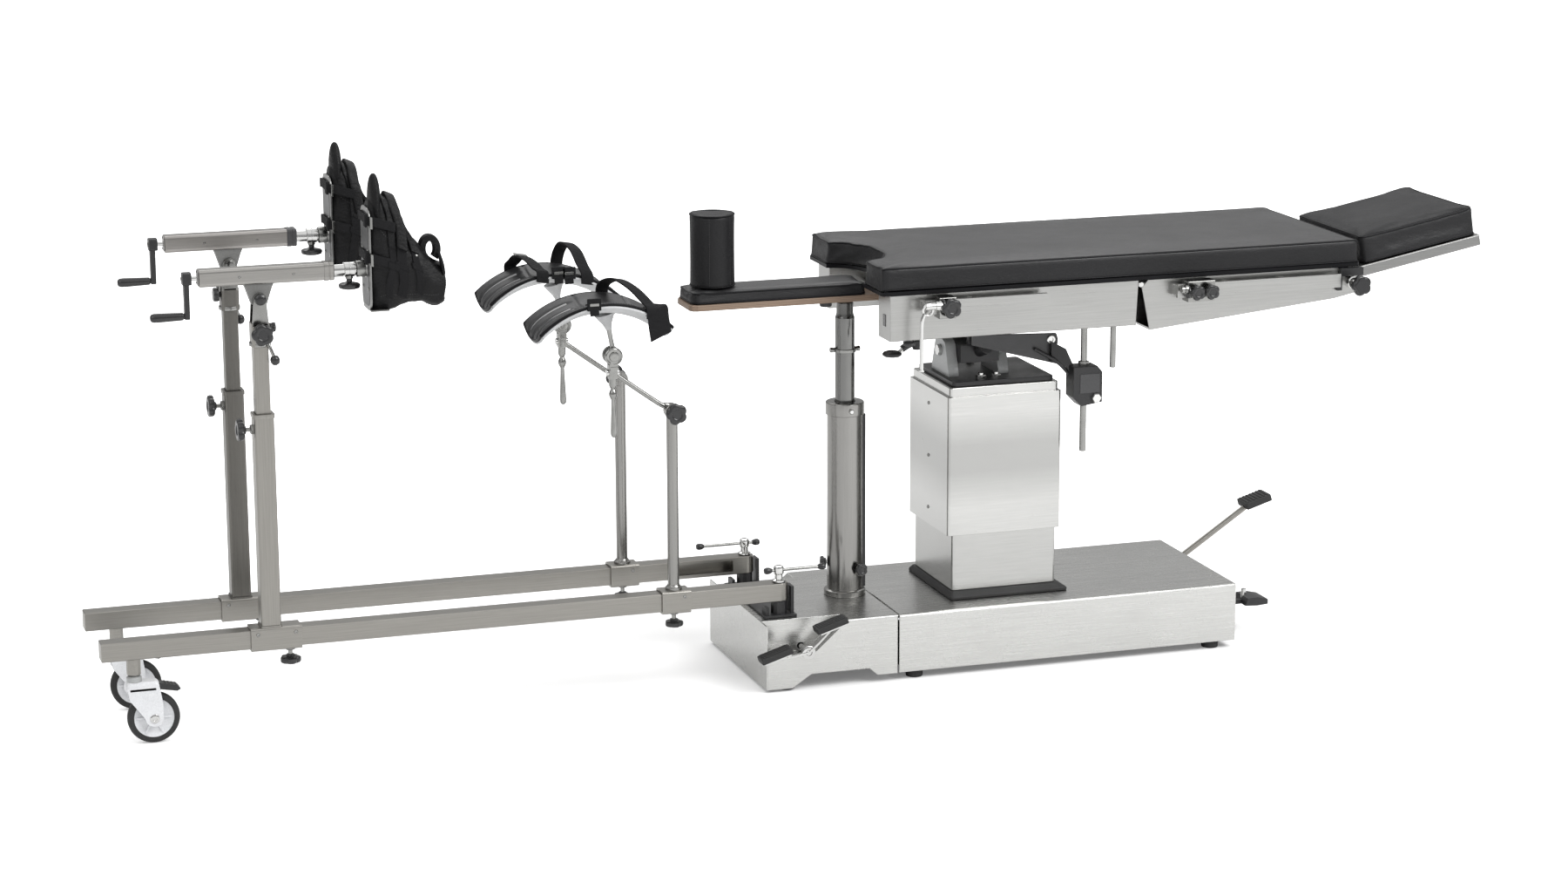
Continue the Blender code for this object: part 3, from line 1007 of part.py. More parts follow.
    x = UPRIGHT_X[side]
    sleeve, hole = sleeve_on_beam(x - 0.045, x + 0.063, y)
    top_of_sleeve = BEAM_Z + BEAM_HALF + 0.003
    outer = square_tube(x, y, 0.0, OUTER_TUBE_HALF, top_of_sleeve, OUTER_TUBE_TOP)
    rim = square_tube(x, y, 0.0, OUTER_TUBE_HALF + 0.0015, OUTER_TUBE_TOP - 0.007, OUTER_TUBE_TOP + 0.001)
    run = INNER_TUBE_HALF + 0.0006
    well = square_tube(x, y, 0.0, run, 0.300, OUTER_TUBE_TOP + 0.01, corner=0.002)
    lock = star_knob((x - OUTER_TUBE_HALF, y, 0.655), (-1, 0, 0), 0.024, 0.014, 0.020)
    under = star_knob((x + 0.041, y, BEAM_Z - BEAM_HALF - 0.004), (0, 0, -1), 0.022, 0.014, 0.022)
    node(f"upright_{side}", "tube steel", [outer, sleeve, rim, lock, under], [hole, well],
         pivot=(x, y, BEAM_Z))

    z = HOUSING_Z[side]
    tilt = z - TILT_DROP
    neck = tilt - NECK_DROP
    inner_tube = square_tube(x, y, 0.0, INNER_TUBE_HALF, INNER_TUBE_BOTTOM, neck, corner=0.002)
    peg = rod((x, y, neck - 0.005), (x, y, neck + 0.040), PEG_RADIUS, count=SHAFT_SIDES)
    node(f"upright_inner_{side}", "tube steel", [inner_tube, peg], pivot=(x, y, INNER_TUBE_BOTTOM))

    socket_low = neck + GAP
    socket = prism(rounded(x - 0.019, x + 0.019, y - 0.019, y + 0.019, 0.004), "Z", socket_low,
                   socket_low + 0.050, 0.002)
    bore = rod((x, y, socket_low - 0.01), (x, y, neck + 0.042), PEG_RADIUS + GAP, count=SHAFT_SIDES)
    cheeks = []
    for out in (-1.0, 1.0):
        low, high = sorted((y + out * 0.0130, y + out * 0.0188))
        cheeks.append(prism([(x - 0.016, socket_low + 0.044), (x + 0.016, socket_low + 0.044),
                             (x + 0.012, tilt + 0.006),
                             (x + 0.005, tilt + 0.013), (x - 0.005, tilt + 0.013), (x - 0.012,
                                                                                    tilt + 0.006)], "Y", low, high))
    pin = rod((x, y - 0.024, tilt), (x, y + 0.024, tilt), TILT_PIN)
    front = sign * 0.019
    star = star_knob((x, y + front, socket_low + 0.030), (0, sign, 0), 0.023, 0.014, 0.012)
    if side == "left":
        small = star_knob((x + 0.019, y, socket_low + 0.038), (1, 0, 0), 0.010, 0.008, 0.006)
    else:
        small = star_knob((x - 0.019, y, socket_low + 0.034), (-1, 0, 0), 0.015, 0.012, 0.004)
    lever = swept([(x + 0.010, y + sign * 0.018, socket_low + 0.020),
                   (x + 0.018, y + sign * 0.024, socket_low - 0.004),
                   (x + 0.026, y + sign * 0.026, socket_low - 0.026)], 0.0045)
    ball = turned((x + 0.024, y + sign * 0.0255, socket_low - 0.020), (0.2, 0.0, -1.0),
                  [(0.005, 0.0), (0.009, 0.004), (0.010, 0.010), (0.007, 0.017), (0.003, 0.019)], ROD_SIDES)
    pin_knob = turned((x, y + sign * 0.020, tilt), (0, sign, 0),
                      [(0.010, 0.0), (0.011, 0.010), (0.008, 0.012)])
    node(f"swivel_bracket_{side}", "tube steel", [socket, cheeks, pin, star, small, lever, ball, pin_knob],
         [bore],
         pivot=(x, y, neck))

    left = HOUSING_X[side] - HOUSING_HALF_LENGTH
    right = HOUSING_X[side] + HOUSING_HALF_LENGTH
    outline = rounded(y - HOUSING_HALF, y + HOUSING_HALF, z - HOUSING_HALF, z + HOUSING_HALF, 0.006)
    wider = rounded(y - COLLAR_HALF, y + COLLAR_HALF, z - COLLAR_HALF, z + COLLAR_HALF, 0.007)
    steps = [(inset(outline, 0.003), left), (outline, left + 0.003), (outline, right - 0.020),
             (wider, right - 0.019),
             (wider, right), (inset(wider, 0.001), right + 0.001)]
    body = loft([[place("X", a, b, at) for a, b in ring] for ring, at in steps])
    lug = prism([(x - 0.034, z - HOUSING_HALF + 0.002), (x - 0.026, z - HOUSING_HALF - 0.008),
                 (x - 0.016, tilt - 0.012),
                 (x + 0.016, tilt - 0.012), (x + 0.026, z - HOUSING_HALF - 0.008), (x + 0.034,
                                                                                    z - HOUSING_HALF + 0.002)],
                "Y", y - 0.0125, y + 0.0125)
    lug_bore = rod((x, y - 0.03, tilt), (x, y + 0.03, tilt), TILT_PIN + GAP)
    ram_bore = rod((left + 0.012, y, z), (right + 0.01, y, z), TRACTION_RAM_RADIUS + GAP, count=SHAFT_SIDES)
    shaft_bore = rod((left - 0.01, y, z), (left + 0.02, y, z), CRANK_SHAFT + GAP)
    node(f"traction_housing_{side}", "casting", [body, lug], [lug_bore, ram_bore, shaft_bore],
         pivot=(x, y, tilt))

    ram_end = right + RAM_OUT
    ram = rod((left + 0.050, y, z), (ram_end, y, z), TRACTION_RAM_RADIUS, count=SHAFT_SIDES)
    clamp = turned((right + 0.024, y, z), (1, 0, 0), [(0.013, 0.0), (0.0155, 0.002), (0.0155, 0.020),
                                                      (0.013, 0.022)])
    under = star_knob((right + 0.035, y, z - 0.013), (0, 0, -1), 0.022, 0.012, 0.016)
    node(f"traction_ram_{side}", "chrome", [ram, clamp, under], pivot=(right, y, z))

    shaft = rod((left - 0.030, y, z), (left + 0.010, y, z), CRANK_SHAFT)
    hub = turned((left - 0.032, y, z), (1, 0, 0), [(0.011, 0.0), (0.013, 0.002), (0.013, 0.018)])
    arm = loft([[(left - 0.030, y - wide, up), (left - 0.030, y + wide, up), (left - 0.018, y + wide, up),
                 (left - 0.018, y - wide, up)] for wide, up in ((0.010, z + 0.006), (0.008, z - 0.084))])
    grip = turned((left - 0.022, y, z - 0.078), (-1, 0, 0), [
        (0.006, 0.0), (0.006, 0.010), (0.0085, 0.014), (0.0095, 0.074), (0.006, 0.078)])
    node(f"traction_crank_{side}", "black paint", [shaft, hub, arm, grip], pivot=(left, y, z))

    plate_x = ram_end + GAP
    plate = prism(rounded(y - 0.042, y + 0.042, z - 0.086, z + 0.130, 0.020), "X", plate_x,
                  plate_x + BOOT_PLATE)
    hub = turned((plate_x - 0.022, y, z), (1, 0, 0), [(0.0155, 0.0), (0.0175, 0.002), (0.0175, 0.024)])
    socket = rod((plate_x - 0.03, y, z), (plate_x, y, z), TRACTION_RAM_RADIUS + GAP, count=SHAFT_SIDES)
    lip = block((plate_x + 0.001, plate_x + 0.040), (y - 0.040, y + 0.040),
                (z - 0.086, z - 0.086 + BOOT_PLATE))
    node(f"boot_plate_{side}", "stainless", [plate, hub, lip], [socket], pivot=(plate_x, y, z))

    heel = plate_x + BOOT_PLATE + GAP
    shape = [(0.0, -0.0815), (0.040, -0.0815), (0.052, -0.078), (0.070, -0.072), (0.095, -0.078),
             (0.120, -0.087),
             (0.152, -0.080), (0.146, -0.022), (0.138, 0.040), (0.112, 0.054), (0.088, 0.060), (0.068, 0.078),
             (0.060, 0.112), (0.030, 0.136), (0.014, 0.178), (0.0, 0.198)]
    outline = [(heel + a, z + b) for a, b in shape]
    body = prism(outline, "Y", y - 0.046, y + 0.046, 0.010)
    leg_space = rod((heel + 0.040, y, z - 0.022), (heel + 0.170, y, z - 0.022), 0.034, 0.040, SHAFT_SIDES)
    foot_space = prism([(heel + 0.012, z - 0.050), (heel + 0.060, z - 0.050), (heel + 0.048, z + 0.080),
                        (heel + 0.022, z + 0.120), (heel + 0.012, z + 0.120)], "Y", y - 0.032, y + 0.032)
    course = [(-0.046, 0.020), (-0.050, 0.024), (-0.050, 0.036), (-0.046, 0.040)]
    strap_low = strap([(heel + 0.030, y + across, z + up) for across, up in course], (1, 0, 0), 0.050, 0.003)
    node(f"boot_{side}", "boot leather", [body, strap_low], [leg_space, foot_space], pivot=(plate_x, y, z))


def build_leg_rest(side, sign):
    """One sliding leg post, its arm and the padded gutter."""
    y = sign * BEAM_Y
    x = LEG_POST_X[side]
    top = LEG_POST_TOP[side]
    sleeve, hole = sleeve_on_beam(x - 0.0325, x + 0.0325, y)
    post = rod((x, y, BEAM_Z + BEAM_HALF + 0.003), (x, y, top), LEG_POST_RADIUS)
    foot = turned((x, y, BEAM_Z + BEAM_HALF + 0.002), (0, 0, 1),
                  [(0.017, 0.0), (0.017, 0.008), (0.0125, 0.012)])
    boss = rod((x, y - 0.012, top), (x, y + 0.012, top), 0.0165)
    bolt = rod((x, y, top), (x, y + sign * 0.032, top), KNOB_STEM)
    knob = star_knob((x, y + sign * 0.024, top), (0, sign, 0), 0.023, 0.014, 0.005)
    under = star_knob((x, y, BEAM_Z - BEAM_HALF - 0.004), (0, 0, -1), 0.020, 0.012, 0.022)
    node(f"leg_post_{side}", "tube steel", [post, sleeve, foot, boss, bolt, knob, under], [hole],
         pivot=(x, y, top))

    arm_y = y + sign * 0.0186
    end_x = x + LEG_ARM_X
    end_z = top + LEG_ARM_Z
    ball_z = end_z + GUTTER_PIVOT
    eye_y = sorted((y + sign * 0.0130, y + sign * 0.0235))
    eye = rod((x, eye_y[0], top), (x, eye_y[1], top), 0.0145)
    bar = swept([(x, arm_y, top), (x - 0.020, arm_y, top + 0.012), (end_x, arm_y, end_z)], 0.0055, ROD_SIDES)
    block_y = (min(arm_y, y) - 0.009, max(arm_y, y) + 0.009)
    post_block = block((end_x - 0.009, end_x + 0.009), block_y, (end_z - 0.014, end_z + 0.018))
    cheeks = []
    for out in (-1.0, 1.0):
        low, high = sorted((y + out * 0.0060, y + out * 0.0150))
        thick = high - low
        cheeks.append(turned((end_x, low, ball_z), (0, 1, 0), [
            (0.016, 0.0), (0.0195, 0.003), (0.0195, thick - 0.003), (0.016, thick)]))
    stalk = block((end_x - 0.009, end_x + 0.009), (y - 0.0150, y + 0.0150), (end_z + 0.006, ball_z - 0.0215))
    cheek_pin = rod((end_x, y - 0.008, ball_z), (end_x, y + 0.008, ball_z), GUTTER_PIN)
    webs = []
    for out in (-1.0, 1.0):
        across = sorted((y + out * 0.0065, y + out * 0.0145))
        webs.append(block((end_x - 0.008, end_x + 0.008), across, (ball_z - 0.024, ball_z - 0.006)))
    lever = turned((end_x, y, end_z - 0.008), (0.01, 0.0, -1.0), [
        (0.008, 0.0), (0.008, 0.022), (0.005, 0.028), (0.0085, 0.036), (0.0085, 0.044), (0.0045, 0.052),
        (0.0070, 0.128), (0.005, 0.134)], ROD_SIDES)
    node(f"leg_arm_{side}", "chrome", [eye, bar, post_block, stalk, webs, cheeks, cheek_pin, lever],
         [rod((x, y, top), (x, y + sign * 0.06, top), KNOB_STEM + GAP)], pivot=(x, arm_y, top))

    top_z = ball_z + GUTTER_RISE
    centre_x = end_x + GUTTER_SHIFT

    def gutter_point(u, v, lift):
        along = (u - 0.5) * 2.0 * GUTTER_HALF_LENGTH
        across = (v - 0.5) * 2.0 * GUTTER_HALF_Y
        drop = GUTTER_RADIUS - math.sqrt(GUTTER_RADIUS ** 2 - along ** 2)
        flank = across * across / 0.24
        return Vector((centre_x + along * (1.0 + lift / GUTTER_RADIUS), y + across * (1.0 - lift * 3.0),
                       top_z - drop + flank + lift))

    def gutter_sheet(low, high):
        bm = bmesh.new()
        across, along = 6, 8
        rows = {}
        for level, lift in ((0, low), (1, high)):
            for i in range(along + 1):
                for j in range(across + 1):
                    rows[level, i, j] = bm.verts.new(gutter_point(i / along, j / across, lift))
        for i in range(along):
            for j in range(across):
                for level in (0, 1):
                    bm.faces.new((rows[level, i, j], rows[level, i + 1, j], rows[level, i + 1, j + 1],
                                  rows[level, i, j + 1]))
        for i in range(along):
            for j in (0, across):
                bm.faces.new((rows[0, i, j], rows[0, i + 1, j], rows[1, i + 1, j], rows[1, i, j]))
        for j in range(across):
            for i in (0, along):
                bm.faces.new((rows[0, i, j], rows[0, i, j + 1], rows[1, i, j + 1], rows[1, i, j]))
        return solid(bm)

    shell = gutter_sheet(-GUTTER_SHELL, 0.0)
    mount = turned((end_x - 0.016, y, top_z - 0.009), (0.26, 0.0, -1.0), [
        (0.020, 0.0), (0.016, 0.012), (0.007, 0.034), (0.0055, 0.094)])
    tab = rod((end_x, y - 0.0055, ball_z), (end_x, y + 0.0055, ball_z), 0.0165)
    stem = swept([(end_x - 0.004, y, top_z - 0.060), (end_x, y, ball_z + 0.010)], 0.0050)
    tab_bore = rod((end_x, y - 0.02, ball_z), (end_x, y + 0.02, ball_z), GUTTER_PIN + GAP)
    node(f"leg_shell_{side}", "shell plastic", [shell, mount, stem, tab], [tab_bore],
         pivot=(end_x, y, ball_z))
    pad = gutter_sheet(GAP, GUTTER_PAD)
    node(f"leg_pad_{side}", "black vinyl", [pad], pivot=(end_x, y, ball_z))


for old in list(bpy.data.objects):
    bpy.data.objects.remove(old)
build_base()
build_pedals()
build_column()
build_seat()
build_pads()
build_back()
build_bridge()
for side_name, side_sign in SIDES:
    build_traction(side_name, side_sign)
    build_leg_rest(side_name, side_sign)
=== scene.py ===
import json
import math

import bmesh
import bpy
from mathutils import Matrix, Quaternion, Vector, noise
from mathutils.bvhtree import BVHTree


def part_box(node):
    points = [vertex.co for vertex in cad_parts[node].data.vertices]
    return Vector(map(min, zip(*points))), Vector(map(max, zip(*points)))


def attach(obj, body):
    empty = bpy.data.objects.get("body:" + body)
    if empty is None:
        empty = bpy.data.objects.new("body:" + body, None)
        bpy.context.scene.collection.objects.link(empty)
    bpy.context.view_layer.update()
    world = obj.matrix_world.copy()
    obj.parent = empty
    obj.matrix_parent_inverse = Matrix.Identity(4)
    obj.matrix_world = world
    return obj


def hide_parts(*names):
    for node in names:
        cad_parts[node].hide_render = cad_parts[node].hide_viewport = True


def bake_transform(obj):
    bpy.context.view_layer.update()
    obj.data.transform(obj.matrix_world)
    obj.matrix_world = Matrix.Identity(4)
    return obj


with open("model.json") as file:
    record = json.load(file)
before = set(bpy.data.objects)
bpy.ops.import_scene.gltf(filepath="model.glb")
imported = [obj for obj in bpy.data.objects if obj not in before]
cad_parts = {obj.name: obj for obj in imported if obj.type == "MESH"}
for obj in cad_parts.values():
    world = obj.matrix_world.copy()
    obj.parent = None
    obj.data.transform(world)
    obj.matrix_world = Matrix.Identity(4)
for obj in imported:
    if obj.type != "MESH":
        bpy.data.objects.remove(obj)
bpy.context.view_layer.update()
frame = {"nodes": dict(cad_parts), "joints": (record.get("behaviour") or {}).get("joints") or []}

# Camera: where the photograph was taken from, 7.5 m from the table's middle line on the near side, towards
# the foot end and 2.3 m up. It looks down by 13 degrees through a long lens.
yaw, pitch, roll = math.radians(18.17), math.radians(13.047), math.radians(-0.18)
camera = bpy.data.objects.new("camera", bpy.data.cameras.new("camera"))
bpy.context.scene.collection.objects.link(camera)
camera.location = (-2.504, -7.4995, 2.3337)
forward = Vector((math.sin(yaw) * math.cos(pitch), math.cos(yaw) * math.cos(pitch), -math.sin(pitch)))
camera.rotation_mode = "QUATERNION"
camera.rotation_quaternion = forward.to_track_quat("-Z", "Y") @ Quaternion((0.0, 0.0, 1.0), roll)
camera.data.lens = 83.83
camera.data.sensor_width = 36.0
bpy.context.scene.camera = camera

# A white floor that runs past the view on every side. It glows towards the camera, more so away from the
# table, so that the background is white and only the soft shadow under the table is left.


class Value:
    """A shader socket. Sums and products with it add Math nodes."""

    def __init__(self, shader, out):
        self.shader = shader
        self.out = out

    def maths(self, operation, first, second):
        return self.shader.node("Math", {"operation": operation}, {0: first, 1: second})

    def __add__(self, other):
        return self.maths("ADD", self, other)

    def __radd__(self, other):
        return self.maths("ADD", other, self)

    def __sub__(self, other):
        return self.maths("SUBTRACT", self, other)

    def __rsub__(self, other):
        return self.maths("SUBTRACT", other, self)

    def __mul__(self, other):
        return self.maths("MULTIPLY", self, other)

    def __rmul__(self, other):
        return self.maths("MULTIPLY", other, self)


class Shader:
    """One material: a Principled shader fed by nodes that read places in metres."""

    def __init__(self, name):
        self.material = bpy.data.materials.new(name)
        self.material.use_nodes = True
        self.tree = self.material.node_tree
        self.surface = self.tree.nodes["Principled BSDF"]
        self.place = self.node("TexCoord", {}, {}, "Object")

    def node(self, kind, settings, inputs, output=0):
        """Any node: its type, its settings, and a value or link for each of its sockets."""
        made = self.tree.nodes.new("ShaderNode" + kind)
        for name, value in settings.items():
            if name == "stops":
                for stop, (place, colour) in zip(made.color_ramp.elements, value):
                    stop.position, stop.color = place, colour
            else:
                setattr(made, name, value)
        for name, value in inputs.items():
            if isinstance(value, Value):
                self.tree.links.new(value.out, made.inputs[name])
            else:
                made.inputs[name].default_value = value
        return Value(self, made.outputs[output])

    def scaled(self, x, y, z):
        return self.node("Mapping", {}, {"Vector": self.place, "Scale": (x, y, z)})

    def noise(self, where, scale, detail=3.0, rough=0.5):
        return self.node("TexNoise", {},
                         {"Vector": where, "Scale": scale, "Detail": detail, "Roughness": rough})

    def fade(self, value, low, high, start=0.0, end=1.0):
        """The value stretched from one range to another, held at both ends."""
        return self.node("MapRange", {}, {"Value": value, 1: low, 2: high, 3: start, 4: end})

    def height(self, axis="Z"):
        return self.node("SeparateXYZ", {}, {0: self.place}, axis)

    def mix(self, factor, first, second):
        return self.node("Mix", {"data_type": "RGBA"},
                         {0: factor, 6: (*first, 1.0) if isinstance(first, tuple) else first,
                          7: (*second, 1.0) if isinstance(second, tuple) else second}, 2)

    def bump(self, height, distance, strength=1.0, under=None):
        inputs = {"Height": height, "Distance": distance, "Strength": strength}
        if under is not None:
            inputs["Normal"] = under
        return self.node("Bump", {}, inputs)

    def set(self, **values):
        """Feeds the Principled shader: colour, rough, metal, coat and normal."""
        names = {"colour": "Base Color", "rough": "Roughness", "metal": "Metallic", "coat": "Coat Weight",
                 "normal": "Normal", "shine": "Specular IOR Level"}
        for name, value in values.items():
            socket = self.surface.inputs[names[name]]
            if isinstance(value, Value):
                self.tree.links.new(value.out, socket)
            else:
                socket.default_value = (*value, 1.0) if isinstance(value, tuple) else value
        return self


floor_mesh = bpy.data.meshes.new("floor")
floor_mesh.from_pydata([(-40, -40, 0), (40, -40, 0), (40, 60, 0), (-40, 60, 0)], [], [(0, 1, 2, 3)])
floor = bpy.data.objects.new("floor", floor_mesh)
bpy.context.scene.collection.objects.link(floor)
paper = Shader("paper")
paper.set(colour=paper.mix(paper.noise(paper.place, 3.0), (0.9, 0.9, 0.9), (0.93, 0.93, 0.93)), rough=0.9,
          shine=0.1)
away = paper.fade(paper.node("VectorMath", {"operation": "LENGTH"}, {0: paper.scaled(0.45, 1.0, 1.0)},
                             "Value"), 0.5, 1.6, 0.16, 1.0)
seen = paper.node("LightPath", {}, {}, "Is Camera Ray")
glow = paper.mix(away * seen, (0.0, 0.0, 0.0), (1.0, 1.0, 1.0))
paper.tree.links.new(glow.out, paper.surface.inputs["Emission Color"])
paper.surface.inputs["Emission Strength"].default_value = 1.0
floor_mesh.materials.append(paper.material)

# Studio: a white room, brighter overhead, with a large soft lamp in front on the right, a weaker one on the
# left and one behind. The lamps stand high, so that the steel shows long soft reflections.


def studio(low, high, from_z, to_z):
    """A white room that grows brighter from the horizon to overhead, and is plain white to the camera."""
    world = bpy.data.worlds.new("studio")
    bpy.context.scene.world = world
    world.use_nodes = True
    tree = world.node_tree
    background = tree.nodes["Background"]
    way = tree.nodes.new("ShaderNodeTexCoord")
    split = tree.nodes.new("ShaderNodeSeparateXYZ")
    grade = tree.nodes.new("ShaderNodeMapRange")
    path = tree.nodes.new("ShaderNodeLightPath")
    white = tree.nodes.new("ShaderNodeMath")
    white.operation = "MAXIMUM"
    tree.links.new(way.outputs["Generated"], split.inputs[0])
    tree.links.new(split.outputs["Z"], grade.inputs["Value"])
    for socket, value in ((1, from_z), (2, to_z), (3, low), (4, high)):
        grade.inputs[socket].default_value = value
    tree.links.new(grade.outputs[0], white.inputs[0])
    tree.links.new(path.outputs["Is Camera Ray"], white.inputs[1])
    tree.links.new(white.outputs[0], background.inputs["Strength"])
    background.inputs["Color"].default_value = (1.0, 1.0, 1.0, 1.0)


def lamp(name, place, target, size, power):
    """A soft rectangular light aimed at a point."""
    data = bpy.data.lights.new(name, "AREA")
    data.shape = "RECTANGLE"
    data.size, data.size_y = size
    data.energy = power
    made = bpy.data.objects.new(name, data)
    made.location = place
    made.rotation_mode = "QUATERNION"
    made.rotation_quaternion = (Vector(target) - Vector(place)).to_track_quat("-Z", "Y")
    bpy.context.scene.collection.objects.link(made)


studio(0.42, 1.05, 0.3, 0.8)
lamp("key", (3.0, -3.6, 4.4), (0.2, 0.0, 0.3), (4.0, 3.0), 260.0)
lamp("fill", (-4.5, -2.5, 3.5), (-0.4, 0.0, 0.5), (4.0, 3.0), 45.0)
lamp("back", (1.0, 4.5, 5.5), (0.0, 0.0, 0.6), (6.0, 2.5), 90.0)
bpy.context.scene.view_settings.view_transform = "Standard"

# Base: bright sheet covers over a black chassis, a rubber skirt round the column and the black saddles for
# the beams. 1.12 m long, 0.42 m wide and 0.15 m high. The CAD shells stay, with eased edges, and six round
# rubber feet cover the plain ones.
SIDES = (("left", -1.0), ("right", 1.0))


def tinted(colour, factor):
    return tuple(min(1.0, c * factor) for c in colour)


def brushed(name, colour, along, rough=0.27, reflection_band=None, black_beyond=None):
    """Brushed steel with the grain along one axis and faint hand marks; it may have a darker band in
    height, a painted reflection, and black knobs further out than a distance to either side."""
    s = Shader(name)
    fine = {"X": (8.0, 420.0, 420.0), "Y": (420.0, 8.0, 420.0), "Z": (420.0, 420.0, 8.0)}[along]
    grain = s.noise(s.scaled(*fine), 1.0, 2.0, 0.6)
    broad = s.noise(s.place, 5.0, 3.0)
    marks = s.fade(s.noise(s.place, 26.0, 5.0, 0.65), 0.56, 0.72)
    tone = s.fade(grain * 0.9 + broad * 0.3, 0.35, 0.85)
    steel = s.mix(tone, tinted(colour, 0.88), tinted(colour, 1.06))
    if reflection_band:
        z = s.height()
        (low, rise, top, fall, depth) = reflection_band
        reflection_mask = s.fade(z, low, rise) * (1.0 - s.fade(z, top, fall))
        steel = s.mix(reflection_mask * depth, steel, tinted(colour, 0.62))
    metal = 1.0
    if black_beyond:
        out = s.node("Math", {"operation": "ABSOLUTE"}, {0: s.height("Y")})
        paint = s.fade(out, black_beyond, black_beyond + 0.0005)
        steel = s.mix(paint, steel, (0.012, 0.012, 0.013))
        metal = s.fade(paint, 0.0, 1.0, 1.0, 0.0)
    return s.set(colour=steel, metal=metal, rough=grain * 0.1 + broad * 0.03 + marks * 0.03 + (rough - 0.07),
                 normal=s.bump(grain, 0.0002, 0.35))


def cast(name, colour, rough, grain=420.0, depth=0.0004, metal=0.0, coat=0.0):
    """Paint, cast metal or moulded plastic with an even fine grain and worn patches."""
    s = Shader(name)
    skin = s.noise(s.place, grain, 3.0)
    broad = s.noise(s.place, 12.0, 4.0)
    worn = s.fade(broad, 0.58, 0.75)
    tone = s.mix(s.fade(skin * 0.4 + broad * 0.6, 0.3, 0.7), tinted(colour, 0.84), tinted(colour, 1.14))
    return s.set(colour=s.mix(worn * 0.25, tone, tinted(colour, 1.5)), metal=metal, coat=coat,
                 rough=s.fade(broad, 0.3, 0.7, rough * 0.85, rough * 1.2), normal=s.bump(skin, depth, 0.6))


STEEL = (0.6, 0.6, 0.585)
steel_x = brushed("steel_side", STEEL, "X")
black_paint = cast("black_paint", (0.016, 0.016, 0.017), 0.38, 500.0, 0.0003)
rubber = cast("rubber", (0.017, 0.017, 0.017), 0.62, 260.0, 0.0005)


def raised(outline, axis, place):
    """A flat outline set square to an axis, at a place along it."""
    return [{"X": (place, a, b), "Y": (a, place, b), "Z": (a, b, place)}[axis] for a, b in outline]


def swung(first, second, turns):
    """A unit step in the plane of two directions, some part of a turn round from the first."""
    angle = math.tau * turns
    return first * math.cos(angle) + second * math.sin(angle)


def square_to(along):
    """Two unit vectors square to a direction and to each other."""
    helper = Vector((0.0, 0.0, 1.0)) if abs(along.z) < 0.9 else Vector((1.0, 0.0, 0.0))
    first = along.cross(helper).normalized()
    return first, along.cross(first).normalized()


